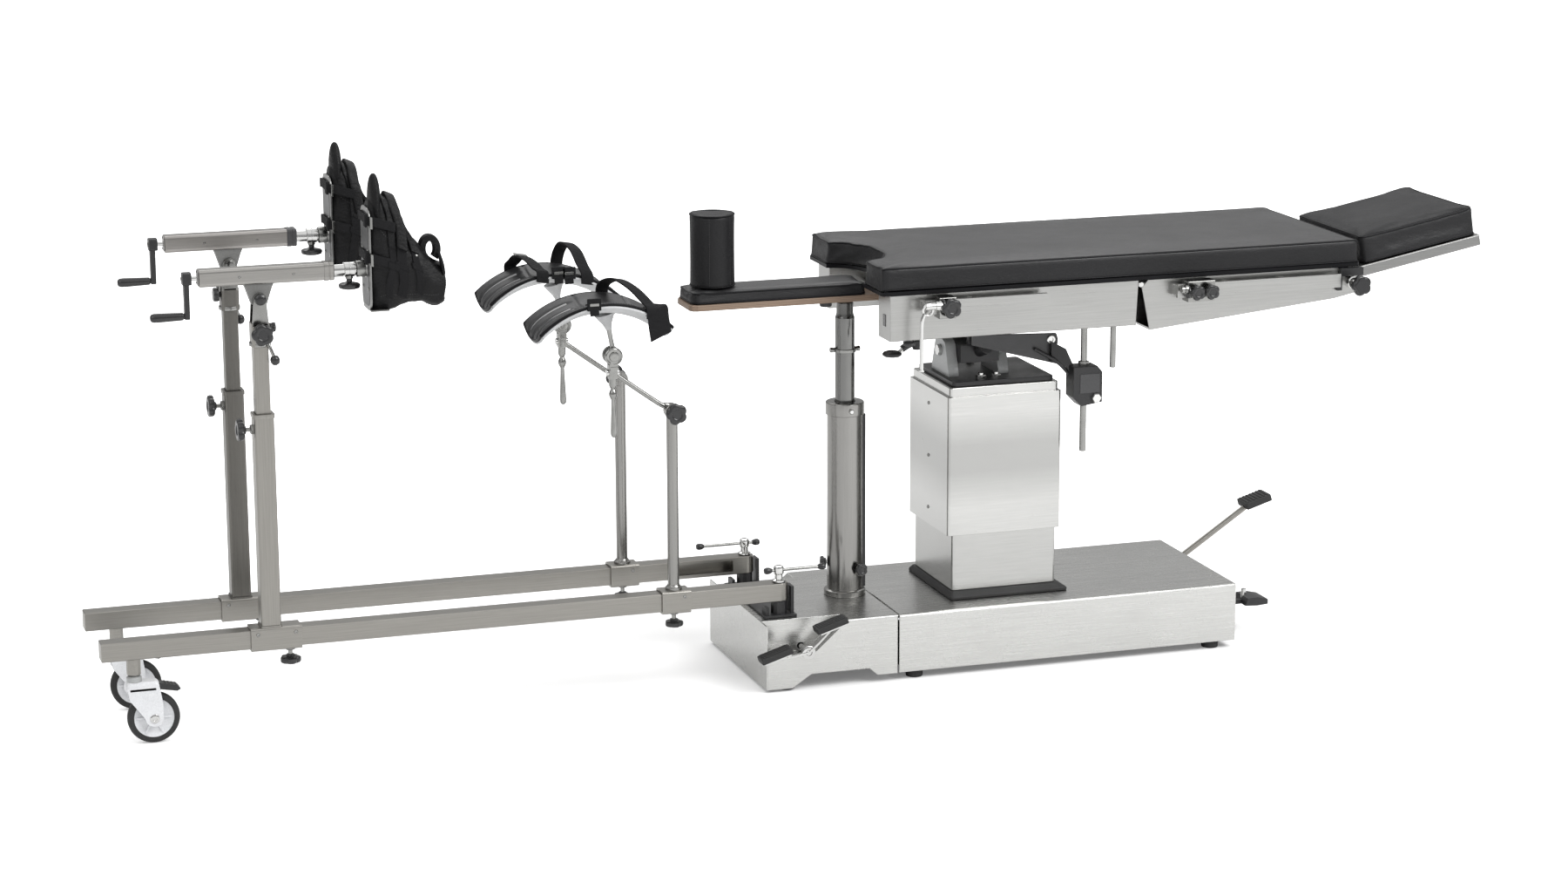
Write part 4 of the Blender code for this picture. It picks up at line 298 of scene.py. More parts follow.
class Piece:
    """One visible piece in the making: shapes are added one by one, each in one of its materials."""

    def __init__(self, name, *shaders):
        self.name = name
        self.shaders = shaders
        self.bm = bmesh.new()

    def loft(self, rings, slot=0, edge=0.0, steps=2, loop=False):
        """A closed solid through rings of points, capped or joined end to end, with its sharp edges
        rounded."""
        rows = [[self.bm.verts.new(point) for point in ring] for ring in rings]
        faces = [] if loop else [self.bm.faces.new(rows[0][::-1]), self.bm.faces.new(rows[-1])]
        count = len(rows[0])
        for low, high in zip(rows, rows[1:] + rows[:1] if loop else rows[1:]):
            for i in range(count):
                faces.append(self.bm.faces.new((low[i], low[(i + 1) % count],
                                                high[(i + 1) % count], high[i])))
        bmesh.ops.recalc_face_normals(self.bm, faces=faces)
        for face in faces:
            face.material_index = slot
        if edge:
            edges = dict.fromkeys(e for f in faces for e in f.edges)
            sharp = [e for e in edges if len(e.link_faces) == 2 and e.calc_face_angle() > 0.6]
            bmesh.ops.bevel(self.bm, geom=sharp, offset=edge, segments=steps, profile=0.7, affect="EDGES",
                            clamp_overlap=True, material=-1)

    def prism(self, outline, axis, low, high, slot=0, edge=0.0008):
        """An outline pushed along an axis."""
        self.loft([raised(outline, axis, place) for place in (low, high)], slot, edge)

    def hollow(self, outer, inner, axis, low, high, slot=0, edge=0.0008):
        """A tube between two outlines with the same number of points."""
        ends = ((outer, low), (outer, high), (inner, high), (inner, low))
        self.loft([raised(outline, axis, place) for outline, place in ends], slot, edge, loop=True)

    def slab(self, centre, along, across, size, slot=0, edge=0.002, steps=3):
        """A block turned freely: its middle, its long way, the way across it, and its three sizes."""
        a = Vector(along).normalized()
        b = Vector(across).normalized()
        c = a.cross(b)
        rings = []
        for up in (-0.5, 0.5):
            rings.append([Vector(centre) + a * i * size[0] + b * j * size[1] + c * up * size[2]
                          for i, j in ((-0.5, -0.5), (0.5, -0.5), (0.5, 0.5), (-0.5, 0.5))])
        self.loft(rings, slot, edge, steps)

    def box(self, x, y, z, slot=0, edge=0.0008):
        self.prism([(x[0], y[0]), (x[1], y[0]), (x[1], y[1]), (x[0], y[1])], "Z", z[0], z[1], slot, edge)

    def turned(self, start, direction, profile, slot=0, count=40, loop=False):
        """A turned shape from (radius, distance) pairs in millimetres; a looped profile gives a ring."""
        along = Vector(direction).normalized()
        first, second = square_to(along)
        rings = []
        for radius, distance in profile:
            centre = Vector(start) + along * distance / 1000.0
            rings.append([centre + radius / 1000.0 * swung(first, second, k / count) for k in range(count)])
        self.loft(rings, slot, loop=loop)

    def rod(self, start, end, radius, slot=0, edge=0.0007, count=32):
        """A straight bar with eased ends."""
        along = Vector(end) - Vector(start)
        ease, r, length = 1000.0 * edge, 1000.0 * radius, 1000.0 * along.length
        self.turned(start, along,
                    [(r - ease, 0), (r, ease), (r, length - ease), (r - ease, length)], slot, count)

    def sweep(self, path, radius, slot=0, count=16, flat=None):
        """A round or flat bar along a smooth path; flat gives its width and thickness, and the way its
        width lies."""
        points = smooth(path)
        rings = []
        first = None
        for i, point in enumerate(points):
            along = (points[min(i + 1, len(points) - 1)] - points[max(i - 1, 0)]).normalized()
            if flat:
                side = Vector(flat[2]).normalized()
                out = along.cross(side).normalized()
                ring = []
                for k in range(count):
                    a = math.tau * k / count
                    ca, sa = math.cos(a), math.sin(a)
                    ring.append(point + side * flat[0] / 2.0 * math.copysign(abs(ca) ** 0.35, ca)
                                + out * flat[1] / 2.0 * math.copysign(abs(sa) ** 0.35, sa))
                rings.append(ring)
                continue
            first = square_to(along)[0] if first is None else (first - along * first.dot(along)).normalized()
            second = along.cross(first)
            rings.append([point + radius * swung(first, second, k / count) for k in range(count)])
        self.loft(rings, slot)

    def knob(self, root, direction, radius, depth, stem, slot=0, metal=1):
        """A five-lobed clamping knob with a dished cap, on a steel stud."""
        along = Vector(direction).normalized()
        first, second = square_to(along)
        rings = []
        for scale, rise in ((0.3, -0.02), (0.6, 0.0), (0.9, 0.1), (0.99, 0.24), (1.0, 0.6), (0.97, 0.8),
                            (0.9, 0.93), (0.8, 1.0), (0.55, 1.0), (0.46, 0.94), (0.4, 0.86), (0.05, 0.86)):
            ring = []
            for i in range(60):
                dip = 0.17 * (1.0 - abs(math.cos(2.5 * math.tau * i / 60)) ** 0.9)
                lobe = 1.0 - dip * min(1.0, max(0.0, scale * 2.2 - 0.9))
                out = radius * scale * lobe * swung(first, second, i / 60)
                ring.append(Vector(root) + along * (stem + depth * rise) + out)
            rings.append(ring)
        self.loft(rings, slot)
        self.rod(Vector(root) - along * 0.002, Vector(root) + along * (stem + 0.004), 0.0045, metal)
        self.turned(Vector(root) + along * (stem - 0.004), along, [(8, 0), (9, 1), (9, 6)], slot, 24)

    def screw(self, place, direction, radius=0.004, slot=0):
        """A low round screw head with a socket."""
        along = Vector(direction).normalized()
        profile = [(1000.0 * radius * a, 1000.0 * radius * b)
                   for a, b in ((1, 0), (1, 0.35), (0.8, 0.6), (0.45, 0.62), (0.4, 0.3))]
        self.turned(Vector(place) - along * 0.0005, along, profile, slot, 18)

    def nut(self, place, direction, radius, depth, slot):
        """A six-sided nut with its outer edge cut back, in millimetres."""
        self.turned(place, direction, [(radius, 0), (radius, depth), (radius - 1.5, depth + 1.5)], slot, 6)

    def made(self):
        """The piece as an object, not yet tied to a body."""
        mesh = bpy.data.meshes.new(self.name)
        self.bm.to_mesh(mesh)
        self.bm.free()
        for shader in self.shaders:
            mesh.materials.append(shader.material)
        mesh.shade_smooth()
        mesh.set_sharp_from_angle(angle=math.radians(38.0))
        piece = bpy.data.objects.new(self.name, mesh)
        bpy.context.scene.collection.objects.link(piece)
        return piece

    def done(self, body, *nodes):
        """The piece as an object that rides on a body and stands in for CAD nodes."""
        piece = self.made()
        weight = piece.modifiers.new("flat_faces", "WEIGHTED_NORMAL")
        weight.keep_sharp = True
        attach(piece, body)
        if nodes:
            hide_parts(*nodes)
        return piece


def keep(name, shader, edge=0.0008):
    """A CAD node that stays: its own material, and its edges eased."""
    node = frame["nodes"][name]
    node.data.materials.clear()
    node.data.materials.append(shader.material)
    if edge:
        weld = node.modifiers.new("weld", "WELD")
        weld.merge_threshold = 0.00002
        ease = node.modifiers.new("ease", "BEVEL")
        ease.width = edge
        ease.segments = 2
        ease.limit_method = "ANGLE"
        ease.angle_limit = math.radians(38.0)
        ease.harden_normals = True
        ease.use_clamp_overlap = True


for name in ("base_cover", "front_cover"):
    keep(name, steel_x, 0.0012)
keep("base_chassis", black_paint, 0.0005)
keep("column_plinth", rubber, 0.0015)
keep("beam_pivot_bridge", black_paint, 0.0008)
feet = Piece("base_feet", rubber)
for x in (-0.1, 0.2, 0.918):
    for side, sign in SIDES:
        feet.turned((x, sign * 0.183, 0.0), (0, 0, 1), [(16, 0), (18.5, 1), (19.2, 5), (19.2, 16.5)], 0, 36)
feet.done("base")

# Brake rocker: two bright flat arms on one hub that turns on a pin at the near ledge. Each ends in a small
# bright plate with a ribbed black rubber foot pad on it, 74 mm long.
at = {joint["name"]: Vector(joint["pos_m"]) for joint in frame["joints"]}


def smooth(path, per=8):
    """A path's points with a curve run through them."""
    points = [Vector(point) for point in path]
    if len(points) == 2:
        return points
    out = []
    for i in range(len(points) - 1):
        before = points[max(i - 1, 0)]
        start, end = points[i], points[i + 1]
        after = points[min(i + 2, len(points) - 1)]
        for k in range(per):
            t = k / per
            out.append(0.5
                       * ((2.0 * start) + (end - before) * t
                          + (2.0 * before - 5.0 * start + 4.0 * end - after) * t * t
                          + (3.0 * start - before - 3.0 * end + after) * t ** 3))
    out.append(points[-1])
    return out


def polished(name, colour, rough=0.1):
    """Chrome, a little cloudy in places."""
    s = Shader(name)
    cloud = s.noise(s.place, 30.0, 4.0)
    return s.set(colour=s.mix(cloud, tinted(colour, 0.92), tinted(colour, 1.04)), metal=1.0,
                 rough=s.fade(cloud, 0.35, 0.75, rough * 0.6, rough * 1.8))


chrome = polished("chrome", (0.62, 0.62, 0.61))
pivot = at["brake_rock"]
rocker = Piece("brake_rocker_shown", chrome, rubber)
rocker.rod((pivot.x, -0.146, pivot.z), (pivot.x, -0.226, pivot.z), 0.006)
rocker.turned((pivot.x, -0.2135, pivot.z), (0, -1, 0),
              [(12, 0), (15, 1), (15, 11), (13, 12.5), (7, 12.5), (6, 10), (1, 10)])
slope = math.radians(17.0)
along, up = Vector((math.cos(slope), 0.0, math.sin(slope))), Vector((-math.sin(slope), 0.0, math.cos(slope)))
for x, z in ((-0.141, 0.094), (-0.014, 0.151)):
    pad = Vector((x, -0.236, z))
    halfway = ((pivot.x + x) / 2.0, -0.225, (pivot.z + z) / 2.0 - 0.008)
    rocker.sweep([(pivot.x, -0.2205, pivot.z), halfway, pad - up * 0.01 - along * 0.004], 0.0, 0, 16,
                 (0.015, 0.0055, (0, 1, 0)))
    rocker.slab(pad - up * 0.0085, along, (0, 1, 0), (0.062, 0.03, 0.004), 0, 0.001)
    rocker.slab(pad, along, (0, 1, 0), (0.074, 0.036, 0.014), 1, 0.004, 4)
    for across in (-0.012, -0.004, 0.004, 0.012):
        rocker.slab(pad + up * 0.0072 + Vector((0.0, across, 0.0)), along, (0, 1, 0),
                    (0.064, 0.0042, 0.003), 1, 0.001)
rocker.done("brake", "brake_rocker")

# Pump pedal: a 14 mm steel bar that rises 33 degrees from the head end of the base, with a black rubber
# pad. The release pedal below it is a flat black plate on a short bar, with a light stop sleeve under it.
PIPE = (0.31, 0.3, 0.278)
pipe_x = brushed("pipe_along", PIPE, "X", 0.34)
white_plastic = cast("white_plastic", (0.74, 0.75, 0.77), 0.35, 400.0, 0.0002)
pivot = at["pump_press"]
pump = Piece("pump_pedal_shown", pipe_x, rubber, chrome)
pump.rod((pivot.x, pivot.y - 0.0245, pivot.z), (pivot.x, pivot.y + 0.0245, pivot.z), 0.006, 2)
pad = Vector((1.158, pivot.y, 0.259))
pump.sweep([pivot + Vector((-0.004, 0.0, -0.003)), pivot + Vector((0.02, 0.0, 0.012)),
            pad - Vector((0.022, 0.0, 0.0145)), pad], 0.007, 0, 24)
pump.slab(pad, along, (0, 1, 0), (0.066, 0.056, 0.017), 1, 0.005, 4)
for step in range(-3, 4):
    pump.slab(pad + up * 0.0088 + along * step * 0.0085, (0, 1, 0), along, (0.048, 0.0045, 0.0028), 1, 0.001)
pump.slab(pad - up * 0.0095, along, (0, 1, 0), (0.04, 0.034, 0.005), 2, 0.0015)
pump.done("pump", "pump_pedal")
pivot = at["release_press"]
release = Piece("release_pedal_shown", black_paint, white_plastic, chrome)
release.rod((pivot.x, pivot.y - 0.0245, pivot.z), (pivot.x, pivot.y + 0.0245, pivot.z), 0.006, 2)
release.box((pivot.x - 0.01, 1.045), (pivot.y - 0.007, pivot.y + 0.007),
            (pivot.z - 0.005, pivot.z + 0.005), 0, 0.0015)
release.prism([(1.03, pivot.z - 0.004), (1.06, pivot.z - 0.006), (1.088, pivot.z - 0.004),
               (1.088, pivot.z + 0.008), (1.062, pivot.z + 0.014), (1.036, pivot.z + 0.014)], "Y",
              pivot.y - 0.032, pivot.y + 0.032, 0, 0.003)
release.rod((0.992, pivot.y, pivot.z - 0.005), (0.992, pivot.y, pivot.z - 0.02), 0.009, 1)
release.rod((1.04, pivot.y, pivot.z), (1.04, pivot.y, pivot.z + 0.029), 0.006, 2)
release.done("release", "release_pedal")

# Column: two square brushed sleeves, the outer one 270 mm long with a bright rounded collar, and three
# small screws down its foot-end face.
# The upper sleeve's darker band in height is a painted reflection.
steel_up = brushed("steel_column", (0.56, 0.56, 0.547), "X", 0.24, (0.36, 0.44, 0.5, 0.575, 0.75))
steel_low = brushed("steel_lower_sleeve", (0.49, 0.49, 0.478), "X", 0.24)
dark_chrome = polished("dark_chrome", (0.3, 0.3, 0.29), 0.2)
keep("lower_sleeve", steel_low, 0.002)
keep("upper_sleeve", steel_up, 0.002)
low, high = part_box("upper_sleeve")
screws = Piece("sleeve_screws", dark_chrome)
for z in (0.575, 0.455, 0.335):
    screws.screw((low[0], 0.0, z), (-1, 0, 0), 0.0042)
screws.done("lift")

# Column head: a black plate on the collar, two tapered grey castings that carry the rocking shaft, and
# chrome studs.


def rounded(left, right, low, high, radius, steps=6):
    """A rectangle's outline with round corners."""
    outline = []
    for a, b, start in ((right - radius, high - radius, 0.0), (left + radius, high - radius, 90.0),
                        (left + radius, low + radius, 180.0), (right - radius, low + radius, 270.0)):
        for step in range(steps + 1):
            angle = math.radians(start + 90.0 * step / steps)
            outline.append((a + radius * math.cos(angle), b + radius * math.sin(angle)))
    return outline


def around(centre, outline, count=64):
    """Points of a closed outline, met by rays at even angles from a centre."""
    points = []
    for k in range(count):
        way = Vector((math.cos(math.tau * k / count), math.sin(math.tau * k / count)))
        best = None
        for a, b in zip(outline, outline[1:] + outline[:1]):
            start, side = Vector(a) - Vector(centre), Vector(b) - Vector(a)
            turn = way.x * side.y - way.y * side.x
            if abs(turn) < 1e-12:
                continue
            far = (start.x * side.y - start.y * side.x) / turn
            share = (start.x * way.y - start.y * way.x) / turn
            if far > 0.0 and -1e-9 <= share <= 1.0 + 1e-9 and (best is None or far > best):
                best = far
        points.append((centre[0] + way.x * best, centre[1] + way.y * best))
    return points


def circle(centre, radius, count=64):
    return [(centre[0] + radius * math.cos(math.tau * k / count),
             centre[1] + radius * math.sin(math.tau * k / count)) for k in range(count)]


grey_cast = cast("grey_cast", (0.42, 0.43, 0.43), 0.42, 300.0, 0.0006, 0.35)
low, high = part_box("column_head")
pivot = at["side_tilt"]
BLOCKS = (0.338, 0.457)
plate_z = low[2] + 0.3925
head = Piece("column_head_shown", black_paint, grey_cast, chrome)
head.prism(rounded(0.315, 0.555, -0.112, 0.112, 0.008), "Z", plate_z, plate_z + 0.01, 0, 0.002)
middle = (0.31225 + 0.56025) / 2.0
head.turned((middle, 0.0, low[2]), (0, 0, 1), [(28, 0), (30, 2), (30, 393.5)], 2)
for x in BLOCKS:
    shape = [(-0.056, plate_z + 0.009), (0.056, plate_z + 0.009), (0.054, plate_z + 0.018),
             (0.034, pivot.z + 0.012)]
    for step in range(9):
        angle = math.radians(20.0 * step + 10.0)
        shape.append((0.034 * math.cos(angle), pivot.z + 0.012 + 0.016 * math.sin(angle)))
    shape += [(-0.034, pivot.z + 0.012), (-0.054, plate_z + 0.018)]
    head.hollow(around((0.0, pivot.z), shape), circle((0.0, pivot.z), 0.0125), "X",
                x - 0.0125, x + 0.0125, 1, 0.0022)
for x in (0.392, 0.428):
    for y in (-0.082, 0.082):
        head.rod((x, y, plate_z + 0.009), (x, y, plate_z + 0.022), 0.0065, 2, count=24)
        head.nut((x, y, plate_z + 0.009), (0, 0, 1), 11.5, 6, 2)
head.done("lift", "column_head")

# Tilting yoke: a black hub between the castings, two ears with the bright cross pin, and on the near side a
# dark slanted plate that carries an arm and the bracket box for the tilt rod.


def between(sign, a, b):
    """The (low, high) pair of two distances from the middle, on the side of that sign."""
    return (min(sign * a, sign * b), max(sign * a, sign * b))


dark_paint = cast("dark_paint", (0.045, 0.045, 0.047), 0.34, 500.0, 0.0003)
pin = at["end_tilt"]
yoke = Piece("tilt_yoke_shown", black_paint, dark_paint, chrome)
yoke.rod((BLOCKS[0] - 0.02, 0.0, pivot.z), (BLOCKS[1] + 0.02, 0.0, pivot.z), 0.012, 2)
yoke.box((BLOCKS[0] + 0.0133, BLOCKS[1] - 0.0133), (-0.062, 0.062),
         (pivot.z - 0.022, pivot.z + 0.02), 0, 0.004)
for side, sign in SIDES:
    ear = [(pin.x - 0.03, pivot.z + 0.012), (pin.x + 0.03, pivot.z + 0.012)]
    for step in range(9):
        angle = math.radians(22.5 * step)
        ear.append((pin.x + 0.0185 * math.cos(angle), pin.z + 0.0185 * math.sin(angle)))
    yoke.prism(ear, "Y", *between(sign, 0.046, 0.06), 0, 0.002)
    yoke.turned((pin.x, sign * 0.06, pin.z), (0, sign, 0), [(13, 0), (15.5, 1), (15.5, 4), (12, 6)], 2)
yoke.rod((pin.x, -0.0595, pin.z), (pin.x, 0.0595, pin.z), 0.0118, 2)
yoke.rod((pin.x, -0.058, pivot.z + 0.004), (pin.x, -0.104, pivot.z + 0.02), 0.014, 0)
yoke.prism([(0.362, 0.745), (0.562, 0.737), (0.566, 0.724), (0.56, 0.668), (0.362, 0.722)], "Y",
           -0.108, -0.099, 1, 0.002)
yoke.turned((0.548, -0.107, 0.724), (0, -1, 0), [(10, 0), (10, 4), (8.5, 5.5), (5, 5.5), (4.5, 3)],
            2, 28)
yoke.loft([raised(ring, "X", x) for x, ring in (
    (0.545, ((-0.12, 0.674), (-0.1, 0.674), (-0.1, 0.722), (-0.12, 0.722))),
    (0.574, ((-0.136, 0.666), (-0.116, 0.666), (-0.116, 0.706), (-0.136, 0.706))),
    (0.592, ((-0.142, 0.632), (-0.121, 0.632), (-0.121, 0.664), (-0.142, 0.664))))], 0, 0.002)
yoke.prism([(0.58, 0.6), (0.6, 0.579), (0.65, 0.586), (0.65, 0.655), (0.638, 0.669), (0.58, 0.669)],
           "Y", -0.166, -0.12, 0, 0.003)
yoke.prism([(0.596, 0.609), (0.643, 0.609), (0.643, 0.652), (0.596, 0.652)], "Y", -0.1672, -0.16, 1, 0.001)
yoke.turned((0.634, -0.1655, 0.597), (0, -1, 0), [(12, 0), (12, 6), (10, 8.5), (4, 8.5)], 2, 6)
yoke.sweep([(0.508, -0.112, 0.706), (0.556, -0.126, 0.676), (0.584, -0.134, 0.646)], 0.004, 0, 16)
yoke.done("roll", "tilt_yoke")
low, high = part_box("tilt_spindle")
rod_x, rod_y = (low[0] + high[0]) / 2.0, (low[1] + high[1]) / 2.0
spindle = Piece("tilt_spindle_shown", dark_chrome)
spindle.rod((rod_x, rod_y, low[2]), (rod_x, rod_y, high[2]), 0.0075, 0, 0.0012)
spindle.turned((rod_x, rod_y, 0.668), (0, 0, 1), [(12, 0), (12.5, 1), (12.5, 9), (10, 10)], 0, 6)
spindle.done("roll", "tilt_spindle")

# Support column under the pelvic board: an 80 mm tube on a round foot with a stepped top collar, a black
# key strip along its head-end side, a cross pin, two clamping knobs near the foot, and the polished rod
# that slides in it.
tube_round = brushed("tube_round", (0.285, 0.281, 0.27), "Z", 0.22)
knob_black = cast("knob_black", (0.012, 0.012, 0.013), 0.3, 700.0, 0.0002, coat=0.3)
nickel = polished("nickel", (0.185, 0.185, 0.18), 0.14)
low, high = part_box("support_tube")
axis_x = at["support_lift"].x
length = 1000.0 * (high[2] - low[2])
support = Piece("support_tube_shown", tube_round, black_paint, chrome, knob_black)
support.turned((axis_x, 0.0, low[2]), (0, 0, 1),
               [(46.5, 0), (47, 1), (47, 11), (45.5, 12.5), (40.5, 14), (40, 16), (40, length - 30),
                (43, length - 28.5), (43.5, length - 27), (43.5, length - 3), (42.5, length - 1),
                (41, length), (24.5, length), (23.5, length - 1), (23.5, 12)], 0, 72)
support.box((axis_x + 0.037, axis_x + 0.0465), (-0.0085, 0.0085), (low[2] + 0.014, high[2] - 0.031), 1, 0.001)
support.box((axis_x + 0.0455, axis_x + 0.0475), (-0.004, 0.004), (low[2] + 0.02, high[2] - 0.036), 2, 0.0006)
for side, sign in SIDES:
    support.turned((axis_x, sign * 0.043, high[2] - 0.016), (0, sign, 0), [(5.5, 0), (5.5, 5), (4, 7)], 2, 24)
support.knob((axis_x + 0.02, -0.034, 0.215), (0.2, -1.0, 0.0), 0.015, 0.01, 0.01, 3, 2)
support.knob((axis_x - 0.037, 0.01, 0.225), (-1.0, 0.2, 0.0), 0.013, 0.009, 0.008, 3, 2)
support.done("base", "support_tube")
low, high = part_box("support_ram")
length = 1000.0 * (high[2] - low[2])
ram = Piece("support_ram_shown", nickel, dark_chrome)
ram.turned((axis_x, 0.0, low[2]), (0, 0, 1),
           [(21, 0), (22, 1), (22, length - 45), (21.5, length - 43), (19, length - 34), (19, length - 12),
            (17.5, length - 8), (16, length - 5), (12, length - 2), (4, length)], 0, 56)
ram.turned((axis_x, 0.0, low[2] + 0.4055), (0, 0, 1), [(22.2, 0), (25.5, 1), (25.5, 7), (22.2, 8)], 1, 56)
ram.rod((axis_x - 0.034, 0.0, 0.711), (axis_x + 0.034, 0.0, 0.711), 0.005, 0)
for sign in (-1.0, 1.0):
    ram.turned((axis_x + sign * 0.029, 0.0, 0.711), (sign, 0, 0), [(6, 0), (6, 5), (5, 6)], 1, 24)
ram.done("support", "support_ram")

# Seat frame, back frame and head plate: deep hollow side members in brushed sheet, kept from the CAD with
# eased edges. Black knobs, brackets and bright pins are set over the plain ones.
frame_steel = brushed("frame_steel", tinted(STEEL, 0.7), "X", 0.3, black_beyond=0.2725)
head_steel = brushed("head_steel", (0.27, 0.27, 0.265), "X", 0.32)
keep("seat_frame", frame_steel, 0.0008)
keep("back_frame", frame_steel, 0.0008)
hinge_pin = at["back_raise"]
fittings = Piece("seat_fittings", chrome, knob_black, dark_chrome)
fittings.knob((0.17, -0.222, 0.772), (0, 0, -1), 0.0145, 0.0095, 0.0055, 1, 0)
for side, sign in SIDES:
    fittings.turned((hinge_pin.x, sign * 0.2385, hinge_pin.z), (0, sign, 0),
                    [(6.5, 0), (6.5, 3), (5, 4.5)], 0, 28)
fittings.turned((0.663, -0.19, 0.669), (0, 0, 1), [(5.5, 0), (6.8, 1), (6.8, 103)], 2, 32)
fittings.box((0.119, 0.1205), (-0.212, -0.196), (0.8, 0.826), 1, 0.0005)
fittings.done("top")
locks = Piece("head_locks", knob_black, black_paint, chrome)
for side, sign in SIDES:
    locks.knob((1.215, sign * 0.238, 0.838), (0, sign, 0), 0.024, 0.0168, 0.05, 0, 2)
    locks.turned((1.215, sign * 0.2385, 0.838), (0, sign, 0), [(14.5, 0), (14.5, 21), (12.5, 23.5)], 2, 36)
    locks.box((1.186, 1.2425), between(sign, 0.2395, 0.252), (0.852, 0.8705), 1, 0.0015)
    locks.box((1.18, 1.192), between(sign, 0.2395, 0.249), (0.82, 0.858), 1, 0.0015)
locks.done("back")
keep("head_plate", head_steel, 0.0008)

# Crank under the foot end: a black spindle that turns in the frame's boss, a short black arm, a thin bright
# elbow and a flattened black knob 43 mm across.
pivot = at["crank_turn"]
crank = Piece("table_crank_shown", black_paint, chrome)
crank.turned((pivot.x, pivot.y, pivot.z - 0.01), (0, 0, 1), [(9, 0), (10, 1), (10, 19), (7, 22), (7, 60)])
crank.sweep([pivot, pivot + Vector((-0.015, 0.0, 0.003)), pivot + Vector((-0.035, 0.0, -0.007))], 0.008, 0,
            24)
crank.sweep([pivot + Vector((-0.031, 0.0, -0.005)), pivot + Vector((-0.043, 0.0, -0.015)),
             pivot + Vector((-0.058, 0.0, -0.016))], 0.005, 1, 20)
crank.turned((pivot.x - 0.058, pivot.y, pivot.z - 0.0235), (0, 0, 1),
             [(10, 0), (17, 1.5), (21, 4.5), (21.5, 7.5), (19, 11), (12, 13.5), (4, 14.5)])
crank.done("crank", "table_crank")

# Clamps on the near rail. The foot-end one has a chrome barrel, a ring with a rod hanging from it, a black
# washer and a star knob; the other, near the break, has a dark barrel and two smaller star knobs.
rail_low, rail_high = 0.832, 0.862


def saddle(piece, left, right, out, slot):
    """A clamp's body round the near rail."""
    piece.hollow(rounded(-out, -0.247, rail_low - 0.009, rail_high + 0.007, 0.002, 3),
                 rounded(-0.2707, -0.2593, rail_low - 0.0007, rail_high + 0.0007, 0.0004, 3), "X",
                 left, right, slot, 0.0008)


clamp = Piece("rail_clamp_shown", chrome, knob_black, dark_chrome)
saddle(clamp, 0.218, 0.256, 0.282, 2)
clamp.turned((0.184, -0.285, 0.853), (1, 0, 0),
             [(7.5, 0), (8.5, 1), (8.5, 22), (10.5, 23), (10.5, 36), (6, 37)])
clamp.turned((0.2215, -0.285, 0.853), (1, 0, 0), [(14.5, 0), (15.2, 1), (15.2, 4), (14.5, 5)], 1)
ring = [(0.19 + 0.0115 * math.cos(math.tau * k / 12), -0.286 - 0.003 * math.sin(math.tau * k / 12),
         0.8455 + 0.0125 * math.sin(math.tau * k / 12)) for k in range(13)]
clamp.sweep(ring, 0.0032, 0, 16)
clamp.sweep([(0.182, -0.2875, 0.838), (0.1775, -0.286, 0.825), (0.176, -0.285, 0.805),
             (0.176, -0.285, 0.716)], 0.0042, 0, 20)
clamp.turned((0.176, -0.285, 0.716), (0, 0, -1), [(4.2, 0), (6.2, 1), (6.2, 4.5), (4, 6)], 0, 24)
clamp.knob((0.24, -0.281, 0.848), (0, -1, 0), 0.0225, 0.0135, 0.01, 1, 0)
clamp.done("top", "rail_clamp")
pair = Piece("back_rail_clamp_shown", chrome, knob_black, dark_chrome)
saddle(pair, 0.802, 0.866, 0.28, 2)
pair.turned((0.7985, -0.2805, 0.852), (-1, 0, 0), [(10, 0), (10, 6), (7.5, 7), (7.5, 14), (6, 15)], 2)
pair.turned((0.803, -0.2805, 0.846), (-1, 0, 0), [(13.5, 0), (14, 1), (14, 3), (13.5, 4)], 1)
for x in (0.817, 0.851):
    pair.knob((x, -0.279, 0.846), (0, -1, 0), 0.0175, 0.012, 0.0125, 1, 0)
pair.done("back", "back_rail_clamp")

# Beams: a 40 mm square brushed tube 1.5 m long on each side, with a rounded end that swings on the pivot
# bridge. Both are kept from the CAD.


def stand(side, *joints):
    """Where the named joints of one side stand."""
    return [at[f"{joint}_{side}"] for joint in joints]


for side, sign in SIDES:
    keep(f"beam_{side}", pipe_x, 0.0015)

# Clamp screw: a 16 mm threaded shaft with a collar and a bored head, and a 7 mm bar with black egg-shaped
# ends.
for side, sign in SIDES:
    y = at[f"beam_swing_{side}"].y
    pivot = at[f"clamp_screw_turn_{side}"]
    low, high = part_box(f"clamp_screw_{side}")
    screw = Piece(f"clamp_screw_{side}_shown", chrome, knob_black, dark_chrome)
    screw.turned((pivot.x, y, low[2]), (0, 0, 1),
                 [(7.2, 0), (8, 1), (8, 70), (12.5, 70.2), (14.5, 71.5), (14.5, 74.5), (12.5, 75.5),
                  (8.8, 77.5), (8.5, 87), (10.5, 89), (11.2, 91), (11.2, 102), (9.5, 105.5), (4, 108)])
    screw.rod((low[0] + 0.01, y, pivot.z), (high[0] - 0.01, y, pivot.z), 0.0032, 2, count=20)
    for end, way in ((low[0], 1.0), (high[0], -1.0)):
        screw.turned((end, y, pivot.z), (way, 0, 0),
                     [(1.5, 0), (5.2, 1), (7, 4), (7.5, 8), (6.8, 13), (4.5, 18)], 1, 28)
    screw.done(f"clamp_screw_{side}", f"clamp_screw_{side}")

